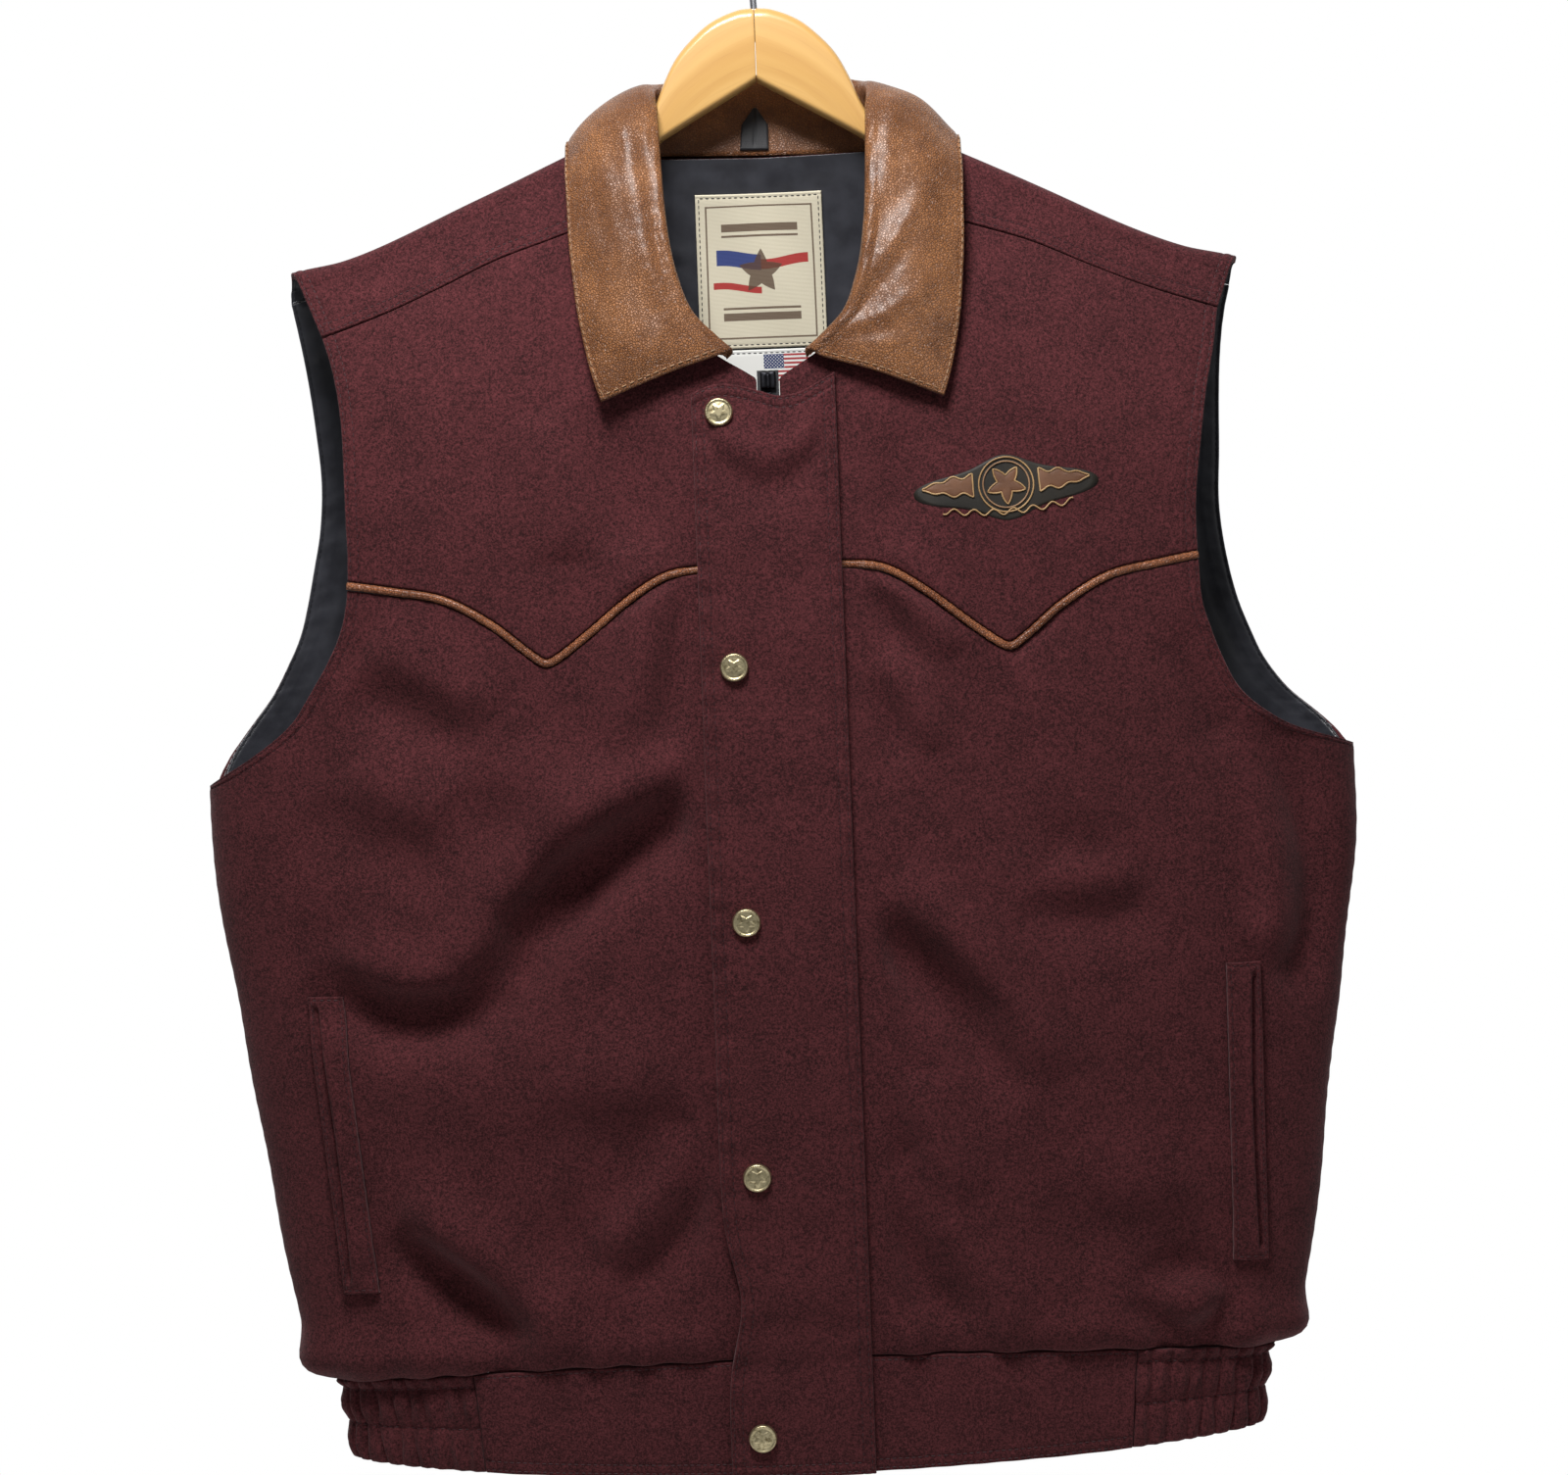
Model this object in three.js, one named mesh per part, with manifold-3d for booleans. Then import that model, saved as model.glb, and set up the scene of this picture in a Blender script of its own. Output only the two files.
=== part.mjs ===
// A western vest of heavy wool, hanging on a wooden hanger. Millimetres, +Z up, the front faces -Y.
// The origin is the inside top of the hanger's hook, where a rod would carry it.
// x is positive towards the wearer's left. Every cloth piece is a wall of one thickness, laid out as a
// patch between its seam lines on the body's form, and kept SEAM apart from its neighbours.
import * as THREE from "three";
import { mergeVertices } from "three/addons/utils/BufferGeometryUtils.js";
import Module from "manifold-3d";

// Thicknesses of the cloth pieces, and the space left at a seam.
const WOOL = 2.6;
const DOUBLED_WOOL = 4.4;
const LEATHER = 1.4;
const UNDER_COLLAR = 1.8;
const LINING = 1.0;
const LABEL = 1.0;
const SEAM = 0.3;
const HALF_SEAM = SEAM / 2;
// Space under a piece that lies on a panel with points of its own.
const LOOSE = 0.8;

// Cross-sections of the hanging body are flattened ovals: a high power makes the front and back flat.
const OVAL_POWER = 2.8;
const OVAL_WIDTH = 290;
const OVAL_DEPTH = 46;

// Body sections by height: half width, depth of the front and of the back from the middle plane,
// and how far the side hangs below the middle.
const BODY_SECTIONS = [
  { z: -100, width: 296, front: 30, back: 27, drop: 0 },
  { z: -200, width: 298, front: 35, back: 32, drop: 0 },
  { z: -300, width: 300, front: 43, back: 40, drop: 0 },
  { z: -400, width: 301, front: 46, back: 44, drop: 0 },
  { z: -475, width: 302.5, front: 47, back: 45, drop: 0 },
  { z: -530, width: 301.5, front: 48, back: 46, drop: 0 },
  { z: -600, width: 291.5, front: 48, back: 47, drop: 0 },
  { z: -670, width: 281, front: 47, back: 47, drop: 0 },
  { z: -720, width: 274, front: 46, back: 46, drop: -1 },
  { z: -755, width: 266.5, front: 45, back: 46, drop: -4 },
  { z: -767, width: 262.5, front: 44.2, back: 45, drop: -5 },
  { z: -776, width: 257.5, front: 43, back: 43, drop: -6 },
  { z: -785.2, width: 248.5, front: 40.8, back: 40, drop: -6.5 },
];
// The waistband: its sides are drawn up by the elastic.
const BAND_SECTIONS = [
  { z: -785.5, width: 247.5, front: 40.5, back: 39.7, drop: -6.5 },
  { z: -800, width: 245.5, front: 40, back: 39.2, drop: -2 },
  { z: -820, width: 243.5, front: 39.5, back: 39, drop: 4.5 },
  { z: -846, width: 241, front: 38.5, back: 38.5, drop: 12 },
];
const WAIST_Z = BODY_SECTIONS.at(-1).z;
const BAND_TOP_Z = BAND_SECTIONS[0].z;
const HEM_Z = BAND_SECTIONS.at(-1).z;

// Ridge of the shoulder, where the cloth lies over the hanger's arm.
const SHOULDER_RIDGE = [
  { x: 0, z: -105 },
  { x: 68, z: -137.3 },
  { x: 106, z: -154.5 },
  { x: 150, z: -175 },
  { x: 192, z: -194.5 },
  { x: 222, z: -206 },
  { x: 244, z: -210.8 },
  { x: 251, z: -212.6 },
  { x: 305, z: -226 },
];
const SHOULDER_TILT = 0.02;
const RIDGE_RADIUS = 10.5;
const SHOULDER_FLARE = 0.33;
const BLEND_RADIUS = 6;

// Seams on the front, by distance from the middle.
const SHOULDER_SEAM = [
  { x: 50, z: -177 },
  { x: 108, z: -196.5 },
  { x: 140, z: -207 },
  { x: 170, z: -220.5 },
  { x: 200, z: -233 },
  { x: 250, z: -250 },
];
const YOKE_SEAM = [
  { x: 0, z: -374.5 },
  { x: 37, z: -375 },
  { x: 57, z: -378 },
  { x: 77, z: -390 },
  { x: 98, z: -406.5 },
  { x: 113, z: -417.5 },
  { x: 120, z: -420.5 },
  { x: 127, z: -416.5 },
  { x: 148, z: -399.5 },
  { x: 172, z: -386 },
  { x: 200, z: -380 },
  { x: 226, z: -375.5 },
];
const BACK_SHOULDER_DROP = 14;
// Share of each panel's outer boundary, from the waist up, at which the armpit lies.
const FRONT_ARMPIT_AT = 0.66;
const BACK_ARMPIT_AT = 0.48;

// Edges of the armholes by height: the front is cut deeper than the back.
const ARMHOLE = [
  { z: -206, frontLeft: 250, frontRight: 251, backLeft: 255, backRight: 251 },
  { z: -225, frontLeft: 241, frontRight: 246, backLeft: 252, backRight: 249 },
  { z: -245, frontLeft: 233, frontRight: 238, backLeft: 249, backRight: 245 },
  { z: -266, frontLeft: 227, frontRight: 234, backLeft: 246.5, backRight: 243 },
  { z: -290, frontLeft: 223.5, frontRight: 228.5, backLeft: 244.5, backRight: 242.3 },
  { z: -317, frontLeft: 222.6, frontRight: 224, backLeft: 243, backRight: 242 },
  { z: -343, frontLeft: 222.3, frontRight: 220.5, backLeft: 245, backRight: 241 },
  { z: -363, frontLeft: 222, frontRight: 219.5, backLeft: 249, backRight: 242.5 },
  { z: -384, frontLeft: 223.3, frontRight: 220, backLeft: 253.5, backRight: 246 },
  { z: -400, frontLeft: 227, frontRight: 220.8, backLeft: 258, backRight: 250 },
  { z: -415, frontLeft: 234, frontRight: 225, backLeft: 265, backRight: 255.5 },
  { z: -430, frontLeft: 243.5, frontRight: 230.5, backLeft: 273, backRight: 262 },
  { z: -447, frontLeft: 255.5, frontRight: 239.5, backLeft: 285.5, backRight: 274 },
  { z: -459, frontLeft: 270.5, frontRight: 253, backLeft: 294, backRight: 287 },
  { z: -468, frontLeft: 285, frontRight: 270, backLeft: 299, backRight: 296 },
  { z: -477.5, frontLeft: 302.4, frontRight: 302.4, backLeft: 302.4, backRight: 302.4 },
];
const ARMPIT_Z = ARMHOLE.at(-1).z;

// Front neckline from the centre front to the shoulder seam.
const NECKLINE = [
  { x: 6, z: -277 },
  { x: 12, z: -273 },
  { x: 21, z: -267.5 },
  { x: 32, z: -260 },
  { x: 44, z: -247 },
  { x: 53, z: -226 },
  { x: 59, z: -203 },
  { x: 63.6, z: -181.6 },
];
const NECK_AT_SEAM = 63.6;
const NECK_AT_RIDGE = 68.5;
const NECK_AT_BACK = 67;
const BACK_NECK_Z = -151.5;
const ARM_AT_RIDGE = 251;

// Centre front: the zip's tape lies between the two fronts, under the storm flap.
const FRONT_EDGE_X = 6;
const ZIP_HALF_WIDTH = 5.6;
const ZIP_TOP_Z = -273;
const FLAP_LEFT_X = -40;
const FLAP_RIGHT_X = 34.5;
const FLAP_TOP = [
  { x: -45, z: -289 },
  { x: -38, z: -283.5 },
  { x: -27, z: -280 },
  { x: -16, z: -281 },
  { x: -5, z: -284 },
  { x: 5, z: -287 },
  { x: 16, z: -285.5 },
  { x: 25, z: -281 },
  { x: 36, z: -275 },
];
// The flap's free edge buckles inwards just above the waistband.
const FLAP_BUCKLE = { z: -755, height: 28, inward: 8 };

const SNAPS = [
  { x: -26, z: -295 },
  { x: -23, z: -426.5 },
  { x: -21.7, z: -557.8 },
  { x: -21.2, z: -689 },
  { x: -23.5, z: -824.5 },
];
const SNAP_RADIUS = 7.4;
const SNAP_HEIGHT = 3.3;

const PIPING_RADIUS = 2;
const PIPING_GROOVE = PIPING_RADIUS + SEAM;
const PIPING_UNDER_FLAP = 2.1;
// Distances from the middle where the fronts, the yokes and the piping have a column of points.
const FRONT_COLUMNS = [6, 36, 56, 77, 92, 106, 114, 120, 126, 136, 150, 168, 188, 206, 221];

// Pocket welts: middle line at the top and bottom, and width measured round the body.
const WELTS = {
  left: { topX: -243, bottomX: -229 },
  right: { topX: 234.5, bottomX: 233.5 },
};
const WELT_TOP_Z = -589;
const WELT_BOTTOM_Z = -742;
const WELT_WIDTH = 18;

const ELASTIC_FROM_X = 173;
const GATHERS = 19;
const GATHER_HEIGHT = 3.2;

const LABEL_BOX = { left: -36, right: 33, top: -170, bottom: -252 };
const CARE_BOX = { left: -40, right: 30, top: -253, bottom: -290 };

// Folds fade out under the storm flap, where four layers of cloth keep flat.
const FLAT_UNDER_FLAP = { from: 38, to: 62 };
// Soft folds, each a trough along a bent line through three points; a negative depth is a ridge.
const FRONT_FOLDS = [
  { x1: -52, z1: -492, x2: -122, z2: -540, x3: -168, z3: -588, depth: 8, width: 25 },
  { x1: -168, z1: -588, x2: -205, z2: -590, x3: -240, z3: -566, depth: 6, width: 21 },
  { x1: -40, z1: -660, x2: -92, z2: -702, x3: -150, z3: -742, depth: 7, width: 21 },
  { x1: -150, z1: -742, x2: -178, z2: -738, x3: -203, z3: -712, depth: 5, width: 18 },
  { x1: -160, z1: -440, x2: -186, z2: -428, x3: -212, z3: -412, depth: 4, width: 18 },
  { x1: 212, z1: -428, x2: 240, z2: -505, x3: 243, z3: -574, depth: 8, width: 15 },
  { x1: 125, z1: -522, x2: 152, z2: -528, x3: 182, z3: -540, depth: 4, width: 17 },
  { x1: 40, z1: -550, x2: 86, z2: -592, x3: 132, z3: -612, depth: 6, width: 18 },
  { x1: 44, z1: -678, x2: 82, z2: -724, x3: 106, z3: -762, depth: 5, width: 16 },
  { x1: 182, z1: -770, x2: 194, z2: -750, x3: 218, z3: -756, depth: 8, width: 12 },
  { x1: -66, z1: -296, x2: -64, z2: -330, x3: -60, z3: -366, depth: 4, width: 15 },
  { x1: 70, z1: -296, x2: 67, z2: -334, x3: 60, z3: -368, depth: 4, width: 15 },
  { x1: -230, z1: -610, x2: -130, z2: -640, x3: -60, z3: -610, depth: -4, width: 30 },
];
const BACK_FOLDS = [
  { x1: -215, z1: -440, x2: -190, z2: -520, x3: -120, z3: -600, depth: 7, width: 24 },
  { x1: 222, z1: -430, x2: 200, z2: -540, x3: 150, z3: -620, depth: 7, width: 22 },
  { x1: -92, z1: -215, x2: -84, z2: -280, x3: -96, z3: -350, depth: 5, width: 20 },
  { x1: 88, z1: -225, x2: 78, z2: -290, x3: 92, z3: -345, depth: 5, width: 18 },
  { x1: -160, z1: -740, x2: -60, z2: -700, x3: 40, z3: -728, depth: 6, width: 22 },
  { x1: 90, z1: -760, x2: 150, z2: -720, x3: 210, z3: -735, depth: 5, width: 17 },
];

// Half of the collar, from its front end round the neck to the middle of the back. Each station gives
// the neck seam, the fold and the outer edge of the leaf, and how far the leaf is crowned between them.
const COLLAR_SHIFT = 2;
const COLLAR_STATIONS = [
  { neck: [20.5, -41.5, -266.8], fold: [21, -47.5, -263.6], edge: [88.5, -47.5, -288.5], crown: 2 },
  { neck: [30, -40.2, -259.4], fold: [30, -48.5, -255.6], edge: [91, -46.5, -281], crown: 3 },
  { neck: [41.9, -37.8, -246.4], fold: [42, -48.5, -243], edge: [94.5, -44, -268], crown: 4 },
  { neck: [51.4, -33.8, -225.8], fold: [49.5, -46, -221], edge: [99, -40.5, -243], crown: 4 },
  { neck: [58, -28.5, -203], fold: [53.5, -40, -193], edge: [102, -35, -214], crown: 4 },
  { neck: [62.6, -20.5, -180], fold: [55.5, -29, -160], edge: [103.5, -27, -183], crown: 5 },
  { neck: [66, -9.5, -147], fold: [56.5, -13, -131], edge: [104, -14, -159], crown: 5 },
  { neck: [67.4, 0, -136.4], fold: [57.5, 2, -118.5], edge: [103.5, 0, -147.5], crown: 5 },
  { neck: [64, 14, -149.8], fold: [52, 19, -113.5], edge: [94, 23, -161], crown: 5 },
  { neck: [44, 18.6, -150.6], fold: [35, 26, -109], edge: [60, 33.5, -177], crown: 4 },
  { neck: [21, 20, -150.8], fold: [17, 28, -107.5], edge: [29, 35, -183], crown: 4 },
  { neck: [0, 20.4, -150.9], fold: [0, 28.5, -107], edge: [0, 35.5, -184], crown: 4 },
];
const FOLD_RADIUS = 3.4;
const LEAF_STARTS_AT = 0.5;

// The hanger: two flat arms mitred in the middle, and a wire hook with a shank in the wood.
const HANGER_HALF_THICKNESS = 6;
const HANGER_TIP_X = 222;
const HANGER_BOTTOM_ROUND = 3;
const HANGER_HUMP = [
  { x: 0, z: -76.3 },
  { x: 9, z: -77.2 },
  { x: 23, z: -83 },
  { x: 34, z: -92 },
  { x: 43, z: -102.5 },
  { x: 50, z: -116 },
  { x: 54, z: -126 },
  { x: 60, z: -137.5 },
];
const HANGER_UNDERSIDE = [
  { x: 0, z: -115 },
  { x: 60, z: -150 },
  { x: 110, z: -184 },
  { x: 165, z: -210 },
  { x: 222, z: -234 },
];
const WIRE_RADIUS = 1.9;
const HOOK_RADIUS = 21;
const SHANK_END_Z = -94;
const SHANK_TOP_Z = -62;
const HOOK_TAIL_ANGLE = 3.6;

const WOOL_COLOUR = 0x4f2429;
const LEATHER_COLOUR = 0x7a4a2e;
const LINING_COLOUR = 0x1c1d22;
const BRASS_COLOUR = 0x8d8259;
const WOOD_COLOUR = 0xd9a75e;
const STEEL_COLOUR = 0xb9bcc0;
const CREAM_COLOUR = 0xe6dcc0;

const wool = new THREE.MeshStandardMaterial({ color: WOOL_COLOUR, roughness: 0.95 });
const leather = new THREE.MeshStandardMaterial({ color: LEATHER_COLOUR, roughness: 0.45 });
const satin = new THREE.MeshStandardMaterial({ color: LINING_COLOUR, roughness: 0.4 });
const brass = new THREE.MeshStandardMaterial({ color: BRASS_COLOUR, roughness: 0.4, metalness: 1 });
const wood = new THREE.MeshStandardMaterial({ color: WOOD_COLOUR, roughness: 0.4 });
const steel = new THREE.MeshStandardMaterial({ color: STEEL_COLOUR, roughness: 0.3, metalness: 1 });
const cream = new THREE.MeshStandardMaterial({ color: CREAM_COLOUR, roughness: 0.8 });

const FRONT = -1;
const BACK = 1;
const LEFT = -1;
const RIGHT = 1;
const TOWARDS_FRONT = new THREE.Vector3(0, -1, 0);
const TOWARDS_BACK = new THREE.Vector3(0, 1, 0);
const UP = new THREE.Vector3(0, 0, 1);

const clamp = THREE.MathUtils.clamp;
const lerp = THREE.MathUtils.lerp;

// A smooth curve through a table's rows: column `value` as a function of column `at`.
function tableCurve(rows, at, value) {
  const sorted = [...rows].sort((a, b) => a[at] - b[at]);
  const xs = sorted.map((row) => row[at]);
  const ys = sorted.map((row) => row[value]);
  const last = xs.length - 1;
  const slopes = xs.map((_, i) => {
    const a = Math.max(i - 1, 0);
    const b = Math.min(i + 1, last);
    return (ys[b] - ys[a]) / (xs[b] - xs[a]);
  });
  return (x) => {
    const here = clamp(x, xs[0], xs[last]);
    let i = 0;
    while (i < last - 1 && here > xs[i + 1]) i += 1;
    const h = xs[i + 1] - xs[i];
    const t = (here - xs[i]) / h;
    const t2 = t * t;
    const t3 = t2 * t;
    return (
      ys[i] * (2 * t3 - 3 * t2 + 1) +
      slopes[i] * h * (t3 - 2 * t2 + t) +
      ys[i + 1] * (3 * t2 - 2 * t3) +
      slopes[i + 1] * h * (t3 - t2)
    );
  };
}

// The oval quarter as a function of the share of its length, 0 at the middle and 1 at the side.
function makeOval() {
  const samples = 600;
  const shares = [0];
  const across = [0];
  const deep = [1];
  for (let i = 1; i <= samples; i += 1) {
    const angle = (i / samples) * (Math.PI / 2);
    across.push(Math.sin(angle) ** (2 / OVAL_POWER));
    deep.push(i === samples ? 0 : Math.cos(angle) ** (2 / OVAL_POWER));
    const dx = (across[i] - across[i - 1]) * OVAL_WIDTH;
    const dy = (deep[i] - deep[i - 1]) * OVAL_DEPTH;
    shares.push(shares[i - 1] + Math.hypot(dx, dy));
  }
  const total = shares[samples];
  const lookUp = (from, to, value) => {
    let low = 0;
    let high = samples;
    while (high - low > 1) {
      const middle = (low + high) >> 1;
      if (from[middle] <= value) low = middle;
      else high = middle;
    }
    const t = clamp((value - from[low]) / (from[high] - from[low]), 0, 1);
    return lerp(to[low], to[high], t);
  };
  const share = shares.map((length) => length / total);
  return {
    quarter: total,
    across: (s) => lookUp(share, across, s),
    deep: (s) => lookUp(share, deep, s),
    shareAt: (fraction) => lookUp(across, share, clamp(fraction, 0, 1)),
  };
}
const oval = makeOval();

const ridgeCurve = tableCurve(SHOULDER_RIDGE, "x", "z");
const ridgeZ = (x) => ridgeCurve(Math.abs(x)) - SHOULDER_TILT * clamp(x, -ARM_AT_RIDGE, ARM_AT_RIDGE);

// Half depth of the cloth at a distance below the shoulder's ridge: round over the arm, then flaring.
function depthBelowRidge(distance) {
  const d = Math.max(distance, 0);
  if (d < RIDGE_RADIUS) return Math.sqrt(RIDGE_RADIUS ** 2 - (RIDGE_RADIUS - d) ** 2);
  return RIDGE_RADIUS + SHOULDER_FLARE * (d - RIDGE_RADIUS);
}
function softMin(a, b) {
  return Math.min(a, b) - BLEND_RADIUS * Math.log1p(Math.exp(-Math.abs(a - b) / BLEND_RADIUS));
}

// Depth of all soft folds at a point: each falls off across its line and fades at its two ends.
function foldDepth(folds, x, z) {
  const samples = 12;
  let sum = 0;
  for (const fold of folds) {
    let best = 0;
    for (let i = 0; i <= samples; i += 1) {
      const t = i / samples;
      const a = (1 - t) * (1 - t);
      const b = 2 * t * (1 - t);
      const c = t * t;
      const bendX = 2 * fold.x2 - (fold.x1 + fold.x3) / 2;
      const bendZ = 2 * fold.z2 - (fold.z1 + fold.z3) / 2;
      const dx = x - (a * fold.x1 + b * bendX + c * fold.x3);
      const dz = z - (a * fold.z1 + b * bendZ + c * fold.z3);
      const fade = Math.sin(Math.PI * (0.12 + 0.76 * t));
      best = Math.max(best, fade * Math.exp(-(dx * dx + dz * dz) / fold.width ** 2));
    }
    sum += fold.depth * best;
  }
  return sum;
}

// A form is a surface worked out from a table of sections: a point at signed share s across and height z.
function makeForm(sections) {
  const width = tableCurve(sections, "z", "width");
  const drop = tableCurve(sections, "z", "drop");
  const depth = {
    [FRONT]: tableCurve(sections, "z", "front"),
    [BACK]: tableCurve(sections, "z", "back"),
  };
  const point = (s, z, face) => {
    const share = Math.abs(s);
    const across = oval.across(share);
    const deep = oval.deep(share);
    const x = Math.sign(s) * width(z) * across;
    const low = z + drop(z) * across ** 2;
    const { from, to } = FLAT_UNDER_FLAP;
    const free = face === FRONT ? THREE.MathUtils.smoothstep(Math.abs(x), from, to) : 1;
    const folds = free * foldDepth(face === FRONT ? FRONT_FOLDS : BACK_FOLDS, x, low);
    const full = depth[face](z) * deep - folds * Math.min(1, 2 * deep);
    const y = face * softMin(full, depthBelowRidge(ridgeZ(x) - z));
    return new THREE.Vector3(x, y, low);
  };
  const shareAt = (x, z) => Math.sign(x) * oval.shareAt(Math.abs(x) / width(z));
  return { point, shareAt, width };
}
const body = makeForm(BODY_SECTIONS);
const band = makeForm(BAND_SECTIONS);

// Numbers from 0 to 1 in equal steps.
const steps = (count) => Array.from({ length: count + 1 }, (_, i) => i / count);

// A closed wall over a patch map(u, v). The outer skin is the patch lifted along its normal, with an
// optional relief; the inner skin lies one thickness below the lifted patch.
function wall(us, vs, map, facing, thickness, lift = 0, relief = null) {
  const small = 1e-3;
  const normalAt = (u, v) => {
    const du = map(Math.min(u + small, 1), v).sub(map(Math.max(u - small, 0), v));
    const dv = map(u, Math.min(v + small, 1)).sub(map(u, Math.max(v - small, 0)));
    return du.cross(dv).normalize();
  };
  const middleU = us[us.length >> 1];
  const middleV = vs[vs.length >> 1];
  const turn = normalAt(middleU, middleV).dot(facing) > 0 ? 1 : -1;
  const outer = [];
  const inner = [];
  for (const v of vs) {
    for (const u of us) {
      const p = map(u, v);
      const n = normalAt(u, v).multiplyScalar(turn);
      const raised = lift + (relief ? relief(u, v) : 0);
      outer.push(p.clone().addScaledVector(n, raised));
      inner.push(p.clone().addScaledVector(n, lift - thickness));
    }
  }
  const columns = us.length;
  const rows = vs.length;
  const count = outer.length;
  const index = [];
  const quad = (a, b, c, d) => {
    if (turn > 0) index.push(a, b, c, a, c, d);
    else index.push(a, c, b, a, d, c);
  };
  for (let j = 0; j < rows - 1; j += 1) {
    for (let i = 0; i < columns - 1; i += 1) {
      const a = j * columns + i;
      const b = a + 1;
      const c = b + columns;
      const d = a + columns;
      quad(a, b, c, d);
      quad(count + a, count + d, count + c, count + b);
    }
  }
  const border = [];
  for (let i = 0; i < columns - 1; i += 1) border.push(i);
  for (let j = 0; j < rows - 1; j += 1) border.push(j * columns + columns - 1);
  for (let i = columns - 1; i > 0; i -= 1) border.push((rows - 1) * columns + i);
  for (let j = rows - 1; j > 0; j -= 1) border.push(j * columns);
  border.forEach((a, k) => {
    const b = border[(k + 1) % border.length];
    quad(count + a, count + b, b, a);
  });
  const positions = [...outer, ...inner].flatMap((p) => [p.x, p.y, p.z]);
  const geometry = new THREE.BufferGeometry();
  geometry.setAttribute("position", new THREE.Float32BufferAttribute(positions, 3));
  geometry.setIndex(index);
  return geometry;
}

// A patch between four boundary curves in the plane of share and height.
function patchBetween(bottom, top, start, end) {
  const corner = (a, b) => [(a[0] + b[0]) / 2, (a[1] + b[1]) / 2];
  const c00 = corner(bottom(0), start(0));
  const c10 = corner(bottom(1), end(0));
  const c01 = corner(top(0), start(1));
  const c11 = corner(top(1), end(1));
  return (u, v) => {
    const b = bottom(u);
    const t = top(u);
    const l = start(v);
    const r = end(v);
    return [0, 1].map(
      (k) =>
        (1 - v) * b[k] +
        v * t[k] +
        (1 - u) * l[k] +
        u * r[k] -
        (1 - u) * (1 - v) * c00[k] -
        u * (1 - v) * c10[k] -
        (1 - u) * v * c01[k] -
        u * v * c11[k],
    );
  };
}

// The edge of the side seam, a hair short of the side so that front and back stay a seam apart.
const SIDE_SHARE = 1 - 0.0006;
// Curves of the armhole edges; `which` is a column of ARMHOLE.
const armholeCurves = {
  [FRONT]: {
    [LEFT]: tableCurve(ARMHOLE, "z", "frontLeft"),
    [RIGHT]: tableCurve(ARMHOLE, "z", "frontRight"),
  },
  [BACK]: {
    [LEFT]: tableCurve(ARMHOLE, "z", "backLeft"),
    [RIGHT]: tableCurve(ARMHOLE, "z", "backRight"),
  },
};
function armholeShare(face, side, z) {
  return side * Math.min(Math.abs(body.shareAt(armholeCurves[face][side](z), z)), SIDE_SHARE);
}

// A boundary through points of share and height, run at an even pace along its length.
function evenly(points) {
  const lengths = [0];
  for (let i = 1; i < points.length; i += 1) {
    const ds = (points[i][0] - points[i - 1][0]) * oval.quarter;
    lengths.push(lengths[i - 1] + Math.hypot(ds, points[i][1] - points[i - 1][1]));
  }
  return (t) => {
    const wanted = t * lengths.at(-1);
    let i = 0;
    while (i < points.length - 2 && lengths[i + 1] < wanted) i += 1;
    const part = clamp((wanted - lengths[i]) / (lengths[i + 1] - lengths[i]), 0, 1);
    return [lerp(points[i][0], points[i + 1][0], part), lerp(points[i][1], points[i + 1][1], part)];
  };
}

// The armhole's edge from the armpit up to a height, its points closer together near the armpit.
function armholeEdge(face, side, topZ) {
  return evenly(
    steps(60).map((t) => {
      const z = lerp(ARMPIT_Z, topZ, t ** 2.5);
      return [armholeShare(face, side, z), z];
    }),
  );
}

// The outer boundary of a panel that has the side seam below the armpit and the armhole above it.
function sideAndArmhole(face, side, bottomZ, topZ, turnAt) {
  const armhole = armholeEdge(face, side, topZ);
  return (v) => {
    if (v <= turnAt) return [side * SIDE_SHARE, lerp(bottomZ, ARMPIT_Z, v / turnAt)];
    return armhole((v - turnAt) / (1 - turnAt));
  };
}

const yokeCurve = tableCurve(YOKE_SEAM, "x", "z");
const seamCurve = tableCurve(SHOULDER_SEAM, "x", "z");

// Where a curve z(x) meets the armhole's edge.
function meetArmhole(curve, face, side, offset = 0) {
  let z = curve(230) + offset;
  for (let i = 0; i < 8; i += 1) z = curve(armholeCurves[face][side](z)) + offset;
  return z;
}

// A boundary beside a curve z(x), between two distances from the middle, offset square to the curve.
function alongCurve(curve, side, fromX, toX, offset) {
  return (u) => {
    const x = lerp(fromX, toX, u);
    const slope = (curve(x + 1) - curve(x - 1)) / 2;
    const z = curve(x) + offset * Math.hypot(1, slope);
    return [body.shareAt(side * x, z), z];
  };
}
// The front's columns of points as shares between the front edge and the armhole.
const frontColumns = FRONT_COLUMNS.map((x) => (x - FRONT_COLUMNS[0]) / (FRONT_COLUMNS.at(-1) - FRONT_COLUMNS[0]));

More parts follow.
